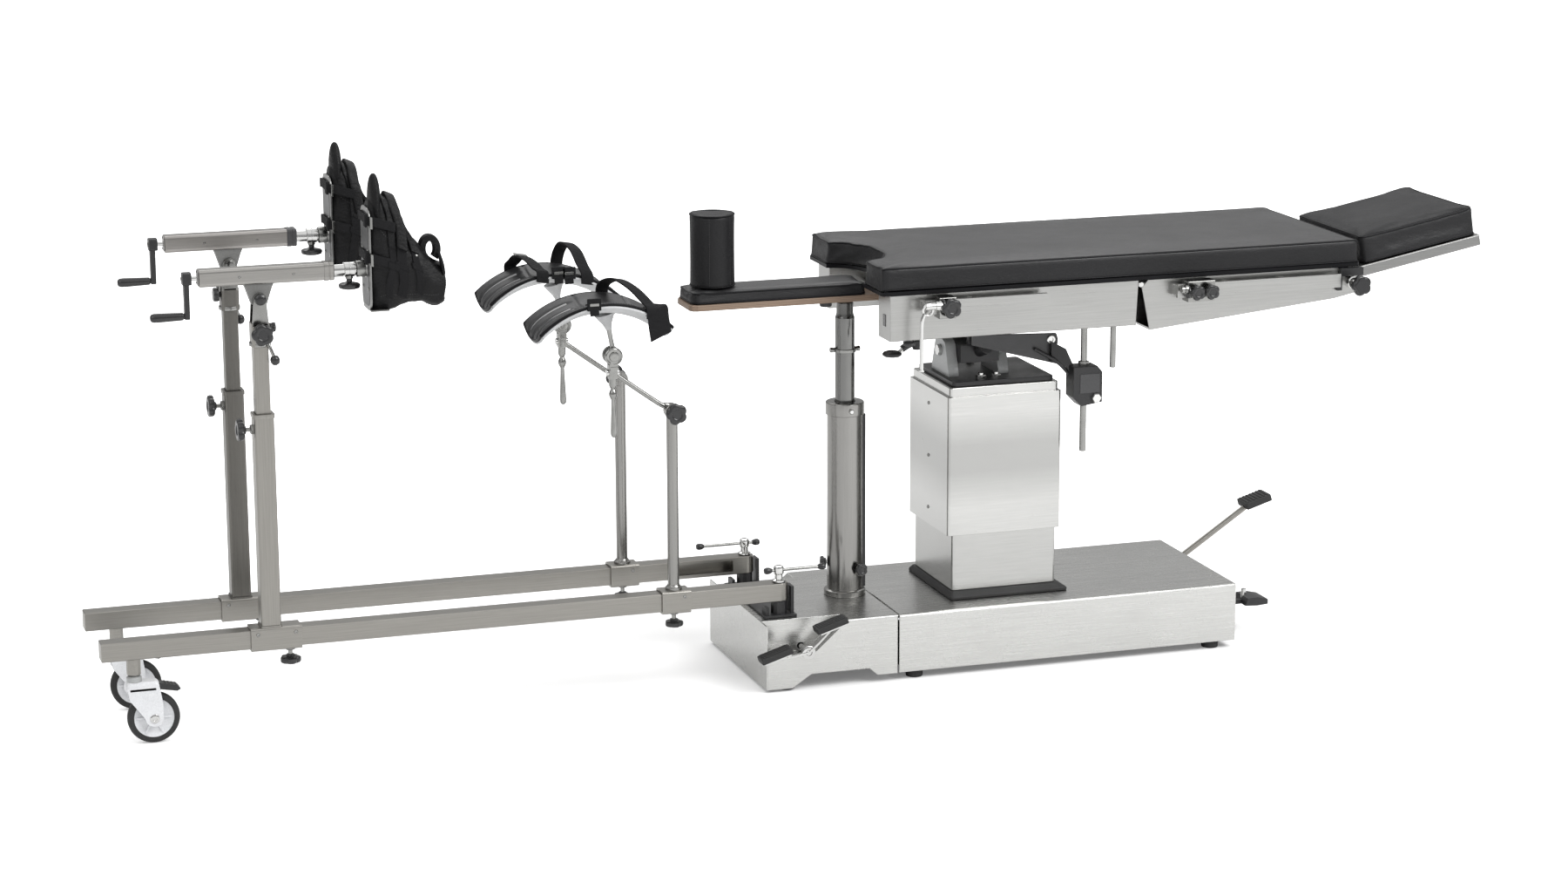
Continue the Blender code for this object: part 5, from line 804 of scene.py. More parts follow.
# Caster: a white plastic fork on a bright stem with a grey cup and a black brake wedge, and a 110 mm wheel
# with a white ribbed hub and a thin black tyre.
for side, sign in SIDES:
    y = at[f"beam_swing_{side}"].y
    swivel, hub = at[f"caster_swivel_{side}"], at[f"caster_roll_{side}"]
    fork = Piece(f"caster_fork_{side}_shown", white_plastic, grey_cast, black_paint, chrome)
    fork.turned((swivel.x, y, swivel.z - 0.01), (0, 0, 1), [(8, 0), (9, 1), (9, 57), (8, 58)], 3)
    fork.turned((swivel.x, y, swivel.z + 0.005), (0, 0, 1), [(14.5, 0), (16, 1), (16, 10), (13.5, 12.5)], 1)
    crown = []
    for s, z in ((0.0015, 0.116), (0.0, 0.1175), (0.0, 0.127), (0.0015, 0.132), (0.005, 0.136)):
        outline = rounded(swivel.x - 0.02 + s, hub.x + 0.014 - s, y - 0.0187 + s, y + 0.0187 - s, 0.0085, 6)
        crown.append(raised(outline, "Z", z))
    fork.loft(crown, 0)
    for out in (-1.0, 1.0):
        cheek = [(hub.x + 0.013, 0.124), (swivel.x - 0.018, 0.124), (swivel.x - 0.013, 0.098),
                 (hub.x - 0.0195, 0.056)]
        for step in range(13):
            angle = math.radians(180.0 + 15.0 * step)
            cheek.append((hub.x + 0.019 * math.cos(angle), hub.z + 0.017 * math.sin(angle)))
        cheek.append((hub.x + 0.0185, 0.09))
        fork.prism(cheek, "Y", *sorted((y + out * 0.0134, y + out * 0.0187)), 0, 0.0018)
        fork.turned((hub.x, y + out * 0.018, hub.z), (0, out, 0),
                    [(10, 0), (10, 1.6), (8, 2.8), (4.5, 2.8), (4, 1.2)], 3, 28)
    fork.rod((hub.x, y - 0.018, hub.z), (hub.x, y + 0.018, hub.z), 0.0048, 3, count=20)
    fork.prism([(hub.x + 0.006, 0.118), (hub.x + 0.05, 0.11), (hub.x + 0.058, 0.114), (hub.x + 0.05, 0.1225),
                (hub.x + 0.006, 0.1325)], "Y", y - 0.014, y + 0.014, 2, 0.002)
    for step in range(4):
        x = hub.x + 0.026 + step * 0.0075
        fork.slab((x, y, 0.128 - step * 0.0019), (0, 1, 0), (1, 0, -0.25), (0.022, 0.0026, 0.0026), 2, 0.0008)
    fork.done(f"caster_fork_{side}", f"caster_fork_{side}")
    wheel = Piece(f"caster_wheel_{side}_shown", rubber, white_plastic, chrome)
    wheel.turned((hub.x, y - 0.012, hub.z), (0, 1, 0),
                 [(42, 2), (47, 0.8), (51.5, 1.6), (54, 4.5), (55, 8.5), (55, 15.5), (54, 19.5), (51.5, 22.4),
                  (47, 23.2), (42, 22)], 0, 72, True)
    wheel.turned((hub.x, y - 0.012, hub.z), (0, 1, 0),
                 [(5.6, 1.5), (11.5, 1.5), (13, 5), (30, 7.5), (38, 4.5), (42.5, 3), (42.5, 21), (38, 19.5),
                  (30, 16.5), (13, 19), (11.5, 22.5), (5.6, 22.5)], 1, 72, True)
    for step in range(6):
        angle = math.tau * step / 6.0
        spoke = Vector((math.cos(angle), 0.0, math.sin(angle)))
        for out in (-1.0, 1.0):
            wheel.slab(Vector((hub.x, y + out * 0.0062, hub.z)) + spoke * 0.024, spoke, (0, 1, 0),
                       (0.028, 0.0045, 0.0042), 1, 0.001)
    wheel.done(f"caster_wheel_{side}", f"caster_wheel_{side}")

# Upright: a 42 mm square tube with a rim at its top, on a sleeve that slides along the beam, with a black
# star knob on a long stud that points away from the table and another under the beam. The far one's steel
# is darkened as painted shade.
pipe_z = brushed("pipe_upright", PIPE, "Z", 0.34)
pipe_far_painted_shade = brushed("pipe_far_upright_painted_shade", tinted(PIPE, 0.58), "Z", 0.36)
# The far side's darker steel, on its upright, inner tube and swivel bracket, is painted shade.
post_steel = {"left": pipe_z, "right": pipe_far_painted_shade}


def square(x, y, half, corner, steps=4):
    """The outline of a square tube round a point."""
    return rounded(x - half, x + half, y - half, y + half, corner, steps)


def slider(piece, y, z, left, right):
    """A square sleeve that slides along a beam, in the piece's fourth material."""
    piece.hollow(square(y, z, 0.025, 0.005), square(y, z, 0.0206, 0.002), "X", left, right, 3, 0.0009)


for side, sign in SIDES:
    swing, slide, bend = stand(side, "beam_swing", "upright_slide", "boot_swing")
    x, y = slide.x, swing.y
    low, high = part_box(f"upright_{side}")
    top = high[2]
    upright = Piece(f"upright_{side}_shown", post_steel[side], knob_black, dark_chrome, pipe_x)
    slider(upright, y, slide.z, x - 0.045, x + 0.063)
    bore = square(x, y, 0.0162, 0.0025)
    upright.hollow(square(x, y, 0.021, 0.0045), bore, "Z", slide.z + 0.0235, top - 0.0005, 0, 0.0006)
    for z, rise, out in ((top - 0.0085, 0.0085, 0.0018), (slide.z + 0.0245, 0.004, 0.0022)):
        upright.hollow(square(x, y, 0.021 + out, 0.006), bore, "Z", z, z + rise, 0, 0.0012)
    upright.knob((x - 0.021, y, 0.655), (-1, 0, 0), 0.0245, 0.0145, 0.0195, 1, 2)
    upright.nut((x - 0.0205, y, 0.655), (-1, 0, 0), 10.5, 5.5, 2)
    upright.knob((x + 0.041, y, slide.z - 0.0245), (0, 0, -1), 0.0225, 0.0145, 0.0215, 1, 2)
    upright.nut((x + 0.041, y, slide.z - 0.0245), (0, 0, -1), 11, 6, 2)
    for along in (-0.03, 0.05):
        upright.screw((x + along, y - 0.025, slide.z + 0.012), (0, -1, 0), 0.0042, 2)
    upright.done(f"upright_{side}", f"upright_{side}")
    inner = Piece(f"upright_inner_{side}_shown", post_steel[side], chrome)
    low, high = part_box(f"upright_inner_{side}")
    inner.prism(square(x, y, 0.0155, 0.0022), "Z", low[2], bend.z, 0, 0.0006)
    inner.rod((x, y, bend.z - 0.004), (x, y, bend.z + 0.04), 0.0105, 1)
    inner.done(f"upright_inner_{side}", f"upright_inner_{side}")

# Swivel bracket: a socket on the inner tube with two cheeks round the tilt pin, a black cap on the pin, a
# large star knob, a small knob (or a round one on the far side) and a thin lever with a black ball.
for side, sign in SIDES:
    swing, slide, bend, tilt = stand(side, "beam_swing", "upright_slide", "boot_swing", "housing_tilt")
    x, y = slide.x, swing.y
    bracket = Piece(f"swivel_bracket_{side}_shown", post_steel[side], knob_black, dark_chrome, nickel)
    foot = bend.z + 0.0005
    bracket.hollow(around((x, y), square(x, y, 0.019, 0.005, 5)), circle((x, y), 0.0115),
                   "Z", foot, foot + 0.05, 0, 0.0018)
    bracket.turned((x, y, foot + 0.001), (0, 0, 1),
                   [(15, 0), (22.2, 0), (23, 1.2), (23, 6.8), (22.2, 8), (15, 8)], 2, 48, True)
    for out in (-1.0, 1.0):
        cheek = [(x + 0.0175, foot + 0.044), (x + 0.013, tilt.z)]
        for step in range(1, 12):
            angle = math.radians(15.0 * step)
            cheek.append((x + 0.013 * math.cos(angle), tilt.z + 0.013 * math.sin(angle)))
        cheek += [(x - 0.013, tilt.z), (x - 0.0175, foot + 0.044)]
        bracket.prism(cheek, "Y", *sorted((y + out * 0.013, y + out * 0.019)), 2, 0.0014)
    bracket.rod((x, y - 0.0215, tilt.z), (x, y + 0.0215, tilt.z), 0.0058, 3)
    bracket.turned((x, y + sign * 0.0192, tilt.z), (0, sign, 0),
                   [(10, 0), (11.8, 0.8), (12.4, 6), (11.5, 10.5), (8.5, 13), (3, 13.8)], 1, 40)
    bracket.turned((x, y - sign * 0.0192, tilt.z), (0, -sign, 0), [(8.5, 0), (8.5, 3.5), (7, 4.5)], 3, 6)
    bracket.knob((x, y + sign * 0.019, foot + 0.03), (0, sign, 0), 0.024, 0.0145, 0.012, 1, 2)
    if side == "left":
        bracket.knob((x + 0.019, y, foot + 0.038), (1, 0, 0), 0.0105, 0.0085, 0.006, 1, 2)
    else:
        bracket.turned((x - 0.0185, y, foot + 0.034), (-1, 0, 0),
                       [(6, 0), (6, 3.5), (14, 4.5), (15.2, 6.2), (15.2, 13), (13.8, 15.5), (6, 16.3)], 1, 44)
    elbow = [(x + 0.01, y + sign * 0.018, foot + 0.02), (x + 0.018, y + sign * 0.024, foot - 0.004),
             (x + 0.026, y + sign * 0.026, foot - 0.026)]
    bracket.sweep(elbow, 0.0036, 2, 18)
    bracket.turned((x + 0.0235, y + sign * 0.0253, foot - 0.0175), (0.25, 0.0, -1.0),
                   [(3.8, 0), (7.5, 2.2), (9.8, 7), (9.8, 12.5), (7.5, 18), (3, 20.6)], 1, 28)
    bracket.done(f"swivel_bracket_{side}", f"swivel_bracket_{side}")

# Traction housing: a 36 mm square bored casing 280 mm long with a stepped end collar, on a tapered lug. Both
# are in satin steel, and the far one's collar is painted dark.
satin = brushed("satin_housing", (0.345, 0.336, 0.32), "X", 0.34)
satin_far = brushed("satin_far_housing", (0.36, 0.345, 0.33), "X", 0.3)
lug_grey = cast("lug_grey", (0.18, 0.18, 0.175), 0.42, 300.0, 0.0006, 0.35)
casing = {"left": (satin, satin), "right": (satin_far, dark_paint)}
for side, sign in SIDES:
    swing, wind, pull = stand(side, "beam_swing", "traction_crank_turn", "traction_pull")
    y, z, left, right = swing.y, pull.z, wind.x, pull.x
    x, tilt = at[f"upright_slide_{side}"].x, at[f"housing_tilt_{side}"]
    housing = Piece(f"traction_housing_{side}_shown", *casing[side], lug_grey, dark_chrome)

    def ring(half, corner, along):
        return raised(around((y, z), square(y, z, half, corner, 6)), "X", along)

    def hole(radius, along):
        return raised(circle((y, z), radius), "X", along)

    housing.loft([hole(0.0056, left), ring(0.0155, 0.005, left), ring(0.0175, 0.006, left + 0.0012),
                  ring(0.018, 0.0062, left + 0.003), ring(0.018, 0.0062, right - 0.02),
                  hole(0.0127, right - 0.02), hole(0.0127, left + 0.012), hole(0.0056, left + 0.012)], 0,
                 loop=True)
    housing.loft([hole(0.0127, right - 0.0198), ring(0.0185, 0.006, right - 0.0198),
                  ring(0.0191, 0.0065, right - 0.019), ring(0.0191, 0.0065, right - 0.0105),
                  ring(0.0184, 0.006, right - 0.0098), ring(0.0184, 0.006, right - 0.0085),
                  ring(0.0191, 0.0065, right - 0.0078), ring(0.0191, 0.0065, right - 0.0006),
                  ring(0.018, 0.006, right + 0.0008), hole(0.0127, right + 0.0008)], 1, loop=True)
    lug = [(x - 0.034, z - 0.0165), (x - 0.027, z - 0.026), (x - 0.016, tilt.z - 0.0115),
           (x - 0.0135, tilt.z - 0.013), (x + 0.0135, tilt.z - 0.013), (x + 0.016, tilt.z - 0.0115),
           (x + 0.027, z - 0.026), (x + 0.034, z - 0.0165)]
    housing.hollow(around((x, tilt.z), lug), circle((x, tilt.z), 0.0062), "Y",
                   y - 0.0125, y + 0.0125, 2, 0.0014)
    for a, b in ((-1, -1), (1, -1), (1, 1), (-1, 1)):
        housing.screw((left, y + a * 0.0115, z + b * 0.0115), (-1, 0, 0), 0.0026, 3)
    for along in (0.3, 0.7):
        housing.screw((left + (right - left) * along, y - 0.018, z), (0, -1, 0), 0.003, 3)
    housing.done(f"traction_housing_{side}", f"traction_housing_{side}")

# Ram: a 24 mm chrome rod that slides in the housing and carries the foot plate at its end, with a chrome
# clamp ring round it and a wide flat black knob under the ring.
for side, sign in SIDES:
    swing, wind, pull, plate = stand(side, "beam_swing", "traction_crank_turn", "traction_pull", "boot_turn")
    y, z, left, right = swing.y, pull.z, wind.x, pull.x
    ram = Piece(f"traction_ram_{side}_shown", chrome, knob_black, dark_chrome)
    ram.rod((left + 0.05, y, z), (plate.x - 0.0005, y, z), 0.012, 0, 0.0012, 48)
    ram.turned((right + 0.024, y, z), (1, 0, 0),
               [(12.2, 0), (14.8, 0), (15.6, 0.8), (15.6, 9.5), (15, 10.2), (15, 11.8), (15.6, 12.5),
                (15.6, 21.2), (14.8, 22), (12.2, 22)], 0, 56)
    ram.turned((right + 0.035, y, z - 0.014), (0, 0, -1),
               [(6, 0), (6.2, 11.5), (8.5, 13), (20.5, 16), (22.6, 18.2), (22.8, 21.2), (21, 25),
                (13, 27.6), (3, 28.4)], 1, 48)
    ram.turned((right + 0.035, y, z - 0.013), (0, 0, -1), [(8, 0), (8, 6), (6.6, 7.2)], 2, 24)
    ram.done(f"traction_ram_{side}", f"traction_ram_{side}")

# Crank: a black square hub on a bright pin at the housing's outer end, a flat black arm that tapers
# downwards, and a conical black grip 78 mm long that points away from the table.
for side, sign in SIDES:
    swing, wind, pull = stand(side, "beam_swing", "traction_crank_turn", "traction_pull")
    y, z, left = swing.y, pull.z, wind.x
    handle = Piece(f"traction_crank_{side}_shown", black_paint, chrome, dark_chrome, knob_black)
    handle.rod((left - 0.02, y, z), (left + 0.01, y, z), 0.0048, 1, count=24)
    handle.prism(square(y, z, 0.0128, 0.0045, 6), "X", left - 0.032, left - 0.0135, 0, 0.0022)
    handle.loft([[(left - 0.0295, y - w, up), (left - 0.0295, y + w, up), (left - 0.0185, y + w, up),
                  (left - 0.0185, y - w, up)]
                 for w, up in ((0.0098, z - 0.004), (0.0088, z - 0.05), (0.0082, z - 0.0845))], 0, 0.0024)
    handle.screw((left - 0.032, y, z), (-1, 0, 0), 0.0048, 2)
    handle.turned((left - 0.022, y, z - 0.078), (-1, 0, 0),
                  [(5.8, 0), (6, 9.5), (7.8, 10.5), (8.2, 13), (8.8, 30), (9.5, 52), (9.8, 64), (9.4, 71),
                   (7.8, 75.5), (5, 77.7), (1, 78.2)], 3, 40)
    handle.done(f"traction_crank_{side}", f"traction_crank_{side}")

# Foot plate: 4 mm steel with round corners, a dark panel on the ram's side, four screws and a lip along its
# lower edge. A dark ring in its middle takes the end of the ram.
for side, sign in SIDES:
    swing, pull, plate = stand(side, "beam_swing", "traction_pull", "boot_turn")
    y, z = swing.y, pull.z
    foot_plate = Piece(f"boot_plate_{side}_shown", head_steel, dark_chrome, dark_paint)
    outline = around((y, z), rounded(y - 0.042, y + 0.042, z - 0.086, z + 0.13, 0.024, 8), 96)
    foot_plate.prism(outline, "X", plate.x, plate.x + 0.004, 0, 0.0012)
    inner = around((y, z), rounded(y - 0.033, y + 0.033, z - 0.077, z + 0.121, 0.018, 8), 96)
    foot_plate.prism(inner, "X", plate.x - 0.0006, plate.x + 0.001, 2, 0.0003)
    foot_plate.turned((plate.x - 0.022, y, z), (1, 0, 0),
                      [(12.6, 0), (15, 0), (17.2, 1.5), (17.5, 3), (17.5, 19.2), (19, 20.5), (19.5, 22.2),
                       (12.6, 22.2)], 1, 56, True)
    foot_plate.box((plate.x + 0.001, plate.x + 0.04), (y - 0.04, y + 0.04),
                   (z - 0.0862, z - 0.0825), 0, 0.0012)
    for a, b in ((-0.026, 0.04), (0.026, 0.04), (-0.026, -0.04), (0.026, -0.04)):
        foot_plate.screw((plate.x, y + a, z + b), (-1, 0, 0), 0.0044, 1)
    foot_plate.done(f"boot_{side}", f"boot_plate_{side}")

# Leg post: a 25 mm round post with a flanged foot on a sliding sleeve, and at its top the arm's pivot with
# a star knob.
for side, sign in SIDES:
    swing, base, arm = stand(side, "beam_swing", "leg_post_slide", "leg_arm_raise")
    y, px, top = swing.y, base.x, arm.z
    post = Piece(f"leg_post_{side}_shown", tube_round, knob_black, dark_chrome, pipe_x)
    slider(post, y, base.z, px - 0.0325, px + 0.0325)
    shaft = 1000.0 * (top - base.z)
    post.turned((px, y, base.z + 0.0235), (0, 0, 1),
                [(18.5, 0), (18.5, 6), (16.5, 7.5), (13.5, 11.5), (12.5, 13.5), (12.5, shaft - 30),
                 (12, shaft - 23.5)], 0, 48)
    post.rod((px, y - 0.012, top), (px, y + 0.012, top), 0.0165, 0, 0.0012, 44)
    post.rod((px, y + sign * 0.01, top), (px, y + sign * 0.032, top), 0.0058, 2, count=24)
    post.knob((px, y + sign * 0.024, top), (0, sign, 0), 0.024, 0.0145, 0.005, 1, 2)
    post.knob((px, y, base.z - 0.0245), (0, 0, -1), 0.0205, 0.0125, 0.0215, 1, 2)
    post.turned((px, y, base.z - 0.0245), (0, 0, -1), [(10.5, 0), (10.5, 5.5), (9, 6.8)], 2, 6)
    post.screw((px + 0.018, y - 0.025, base.z + 0.012), (0, -1, 0), 0.004, 2)
    post.done(f"leg_post_{side}", f"leg_post_{side}")

# Arm: a bent 11 mm chrome bar from the post's pivot to a clamp block, the 39 mm discs of the gutter's joint
# above it, and a turned handle hanging below.
for side, sign in SIDES:
    swing, base, arm, gutter = stand(side, "beam_swing", "leg_post_slide", "leg_arm_raise", "gutter_tilt")
    y, px, top = swing.y, base.x, arm.z
    limb = Piece(f"leg_arm_{side}_shown", dark_chrome, chrome)
    arm_y, end_z = arm.y, gutter.z - 0.037
    thick = (gutter.x - 0.0085, gutter.x + 0.0085)
    limb.turned((px, y + sign * 0.013, top), (0, sign, 0),
                [(6.5, 0), (14, 0), (14.7, 0.8), (14.7, 9.7), (14, 10.5), (6.5, 10.5)], 0, 44, True)
    limb.sweep([(px, arm_y, top + 0.01), (px - 0.014, arm_y, top + 0.014), (px - 0.03, arm_y, top + 0.019),
                (gutter.x, arm_y, end_z)], 0.0056, 0, 24)
    across = (min(arm_y, y) - 0.009, max(arm_y, y) + 0.009)
    limb.box((gutter.x - 0.0095, gutter.x + 0.0095), across, (end_z - 0.014, end_z + 0.018), 0, 0.0028)
    limb.rod((gutter.x - 0.014, arm_y, end_z), (gutter.x + 0.014, arm_y, end_z), 0.0075, 1, count=28)
    limb.box(thick, (y - 0.015, y + 0.015), (end_z + 0.006, gutter.z - 0.0215), 0, 0.0014)
    for out in (-1.0, 1.0):
        face, skin_y = sorted((y + out * 0.006, y + out * 0.015))
        limb.box(thick, (face + 0.0004, skin_y - 0.0004), (gutter.z - 0.024, gutter.z - 0.004), 0, 0.0008)
        limb.turned((gutter.x, y + out * 0.006, gutter.z), (0, out, 0),
                    [(18, 0), (19.6, 1.2), (19.6, 7), (18, 8.5), (16.5, 9), (15, 8.4), (11, 8.4), (10, 10.5),
                     (6, 11), (2, 10.4)], 0, 52)
    limb.turned((gutter.x, y, end_z - 0.008), (0.01, 0.0, -1.0),
                [(8.5, 0), (8.5, 20), (7, 24), (4.8, 28), (7, 32), (9, 37), (9, 42), (6.8, 47.5), (4.4, 52),
                 (5, 70), (6.4, 100), (7.4, 123), (6.8, 130), (3.5, 134)], 0, 36)
    limb.done(f"leg_arm_{side}", f"leg_arm_{side}")

# Main cushion: one long black vinyl pad, 1.14 m by 0.50 m and 66 mm thick, crowned a little, with a round
# notch at its foot end, dark piping along both edges and a black strip under it.


def leather(name, colour, rough, cell=620.0, depth=0.0005, creases=0.0, shine=0.5):
    """Vinyl or leather: small rounded cells, soft creases and a sheen that varies."""
    s = Shader(name)
    warp = s.noise(s.place, 90.0, 2.0)
    cells = s.node("TexVoronoi", {"feature": "F1"}, {"Vector": s.place, "Scale": cell, "Randomness": 0.9})
    broad = s.noise(s.place, 7.0, 4.0)
    fold = s.node("TexNoise", {},
                  {"Vector": s.scaled(1.0, 1.8, 2.6), "Scale": 34.0, "Detail": 4.0, "Distortion": 1.2})
    tone = s.mix(s.fade(cells * 0.5 + broad * 0.5, 0.2, 0.7), tinted(colour, 1.25), tinted(colour, 0.75))
    grain = s.bump(cells + warp * 0.4, depth, 0.5)
    normal = s.bump(fold, 0.004, creases, grain) if creases else grain
    return s.set(colour=tone, rough=s.fade(broad, 0.3, 0.7, rough * 0.88, rough * 1.14),
                 normal=normal, shine=shine)


vinyl = leather("vinyl", (0.024, 0.024, 0.025), 0.42, creases=0.1, shine=0.55)
# The sides of the cushions take a darker, duller copy of the vinyl: painted shade.
vinyl_shaded_side = leather("vinyl_side_painted_shade", (0.008, 0.008, 0.009), 0.5, creases=0.25, shine=0.34)
piping = leather("piping", (0.004, 0.004, 0.005), 0.42, 900.0, 0.0002, shine=0.16)
thread_grey = cast("thread", (0.055, 0.055, 0.056), 0.6, 2000.0, 0.0001)


def baked(body):
    """The mesh a piece's modifiers make, with the modifiers taken off."""
    mesh = bpy.data.meshes.new_from_object(body.evaluated_get(bpy.context.evaluated_depsgraph_get()))
    body.modifiers.clear()
    return mesh


def swollen(piece, voxel, cap, still, to_place=None):
    """Replaces the piece's shapes by one cushion: an even net blown up a little as cloth, held where
    still is true."""
    mesh = bpy.data.meshes.new("cushion")
    piece.bm.to_mesh(mesh)
    body = bpy.data.objects.new("cushion", mesh)
    scene = bpy.context.scene
    scene.collection.objects.link(body)
    net = body.modifiers.new("net", "REMESH")
    net.mode, net.voxel_size = "VOXEL", voxel
    body.data = baked(body)
    before = [vertex.co.copy() for vertex in body.data.vertices]
    group = body.vertex_groups.new(name="still")
    group.add([i for i, co in enumerate(before) if still(co)], 1.0, "REPLACE")
    cloth = body.modifiers.new("cloth", "CLOTH")
    cloth.settings.quality = 4
    cloth.settings.use_pressure = True
    cloth.settings.uniform_pressure_force = 4.0
    cloth.settings.vertex_group_mass = "still"
    cloth.settings.effector_weights.gravity = 0.0
    cloth.collision_settings.use_collision = False
    cloth.point_cache.frame_start, cloth.point_cache.frame_end = 1, 20
    for frame_number in range(1, 21):
        scene.frame_set(frame_number)
    body.data = baked(body)
    for vertex, start in zip(body.data.vertices, before):
        step = vertex.co - start
        if step.length > 1e-7:
            vertex.co = start + step * (cap * (1.0 - math.exp(-step.length / cap)) / step.length)
    scene.frame_set(1)
    finer = body.modifiers.new("finer", "SUBSURF")
    finer.levels = 1
    body.data = baked(body)
    if to_place is not None:
        body.data.transform(to_place)
    piece.bm.clear()
    piece.bm.from_mesh(body.data)
    bpy.data.objects.remove(body)


def stitch_tree():
    """A Geometry Nodes tree: small stitches set end to end along every chain of edges."""
    tree = bpy.data.node_groups.new("stitches", "GeometryNodeTree")
    for name, kind in (("Geometry", "Geometry"), ("Spacing", "Float"), ("Length", "Float"),
                       ("Thickness", "Float"), ("Thread", "Material")):
        tree.interface.new_socket(name, in_out="INPUT", socket_type="NodeSocket" + kind)
    tree.interface.new_socket("Geometry", in_out="OUTPUT", socket_type="NodeSocketGeometry")
    made = {}
    for key, kind in (("given", "NodeGroupInput"), ("curve", "GeometryNodeMeshToCurve"),
                      ("points", "GeometryNodeCurveToPoints"), ("thread", "GeometryNodeMeshUVSphere"),
                      ("size", "ShaderNodeCombineXYZ"), ("ratio", "ShaderNodeMath"),
                      ("place", "GeometryNodeInstanceOnPoints"), ("real", "GeometryNodeRealizeInstances"),
                      ("paint", "GeometryNodeSetMaterial"), ("result", "NodeGroupOutput")):
        made[key] = tree.nodes.new(kind)
    made["points"].mode = "LENGTH"
    made["ratio"].operation = "DIVIDE"
    made["thread"].inputs["Segments"].default_value = 6
    made["thread"].inputs["Rings"].default_value = 4
    made["size"].inputs[0].default_value = made["size"].inputs[1].default_value = 1.0
    for source, out, target, into in (("given", "Geometry", "curve", "Mesh"),
                                      ("curve", "Curve", "points", "Curve"),
                                      ("given", "Spacing", "points", "Length"),
                                      ("given", "Thickness", "thread", "Radius"),
                                      ("given", "Length", "ratio", 0), ("given", "Thickness", "ratio", 1),
                                      ("ratio", 0, "size", 2), ("size", 0, "place", "Scale"),
                                      ("points", "Points", "place", "Points"),
                                      ("points", "Rotation", "place", "Rotation"),
                                      ("thread", "Mesh", "place", "Instance"),
                                      ("place", "Instances", "real", "Geometry"),
                                      ("real", "Geometry", "paint", "Geometry"),
                                      ("given", "Thread", "paint", "Material"),
                                      ("paint", "Geometry", "result", "Geometry")):
        tree.links.new(made[source].outputs[out], made[target].inputs[into])
    return tree


stitches = stitch_tree()


def sew(piece, chains, shader, spacing=0.0052, length=0.0017, thickness=0.00038):
    """Rows of stitches along chains of points, added to the piece in the shader that is its last slot."""
    mesh = bpy.data.meshes.new("seam")
    points = [tuple(point) for chain in chains for point in chain]
    edges = []
    start = 0
    for chain in chains:
        edges += [(start + i, start + i + 1) for i in range(len(chain) - 1)]
        start += len(chain)
    mesh.from_pydata(points, edges, [])
    body = bpy.data.objects.new("seam", mesh)
    bpy.context.scene.collection.objects.link(body)
    nodes = body.modifiers.new("stitches", "NODES")
    nodes.node_group = stitches
    values = {"Spacing": spacing, "Length": length, "Thickness": thickness, "Thread": shader.material}
    for item in stitches.interface.items_tree:
        if item.in_out == "INPUT" and item.name in values:
            nodes[item.identifier] = values[item.name]
    row = baked(body)
    faces = len(piece.bm.faces)
    piece.bm.from_mesh(row)
    piece.bm.faces.ensure_lookup_table()
    for face in piece.bm.faces[faces:]:
        face.material_index = piece.shaders.index(shader)
    bpy.data.objects.remove(body)


def resampled(outline, step):
    """Points every step along a closed outline."""
    corners = [Vector(point) for point in outline]
    points = []
    for a, b in zip(corners, corners[1:] + corners[:1]):
        count = max(1, round((b - a).length / step))
        points += [a.lerp(b, i / count) for i in range(count)]
    return points


def drawn_in(points, distance):
    """A closed outline, run anticlockwise, moved inwards."""
    moved = []
    for before, here, after in zip(points[-1:] + points[:-1], points, points[1:] + points[:1]):
        along = (after - before).normalized()
        moved.append(here + Vector((-along.y, along.x)) * distance)
    return moved


def bead(piece, points, radius, slot):
    """A closed cord through points that lie nearly level."""
    rings = []
    for before, here, after in zip(points[-1:] + points[:-1], points, points[1:] + points[:1]):
        along = (after - before).normalized()
        side = along.cross(Vector((0.0, 0.0, 1.0))).normalized()
        up = side.cross(along)
        rings.append([here + radius * swung(side, up, k / 10) for k in range(10)])
    piece.loft(rings, slot, loop=True)


def on_surface(tree, points):
    return [tree.find_nearest(point)[0] for point in points]


def finish_cushion(piece, outline, low, high, shaded_side_slot, bead_slot, thread, turn=None,
                   base_strip_and_shadow=None, inset_seam=0.009):
    """Gives a cushion's sides a darker, duller copy of its vinyl, which is painted shade, its piping round
    both edges, a stitched seam and, where given, a black base strip whose black is also painted shadow."""
    turn = turn or Matrix.Identity(4)
    level = turn.to_3x3() @ Vector((0.0, 0.0, 1.0))
    for face in piece.bm.faces:
        face.material_index = shaded_side_slot if abs(face.normal.dot(level)) < 0.55 else 0
    piece.bm.normal_update()
    surface = BVHTree.FromBMesh(piece.bm)
    points = resampled(outline, 0.008)
    outer = drawn_in(points, -0.004)
    tops = on_surface(surface, [turn @ Vector((p.x, p.y, high + 0.004)) for p in outer])
    feet = on_surface(surface, [turn @ Vector((p.x, p.y, low - 0.003)) for p in outer])
    seam = on_surface(surface, [turn @ Vector((p.x, p.y, high + 0.01)) for p in drawn_in(points, inset_seam)])
    sew(piece, [[point + level * 0.0001 for point in seam + seam[:1]]], thread)
    bead(piece, tops, 0.0023, bead_slot)
    bead(piece, feet, 0.0021, bead_slot)
    # The black base strip is a base board, and its black also paints the shadow gap under the cushion.
    if base_strip_and_shadow:
        rings = []
        for a, b in zip(drawn_in(points, 0.003), drawn_in(points, 0.012)):
            rings.append([turn @ Vector((p.x, p.y, z))
                          for p, z in ((a, base_strip_and_shadow[0]), (a, base_strip_and_shadow[1]), (b, base_strip_and_shadow[1]), (b, base_strip_and_shadow[0]))])
        piece.loft(rings, bead_slot, loop=True)


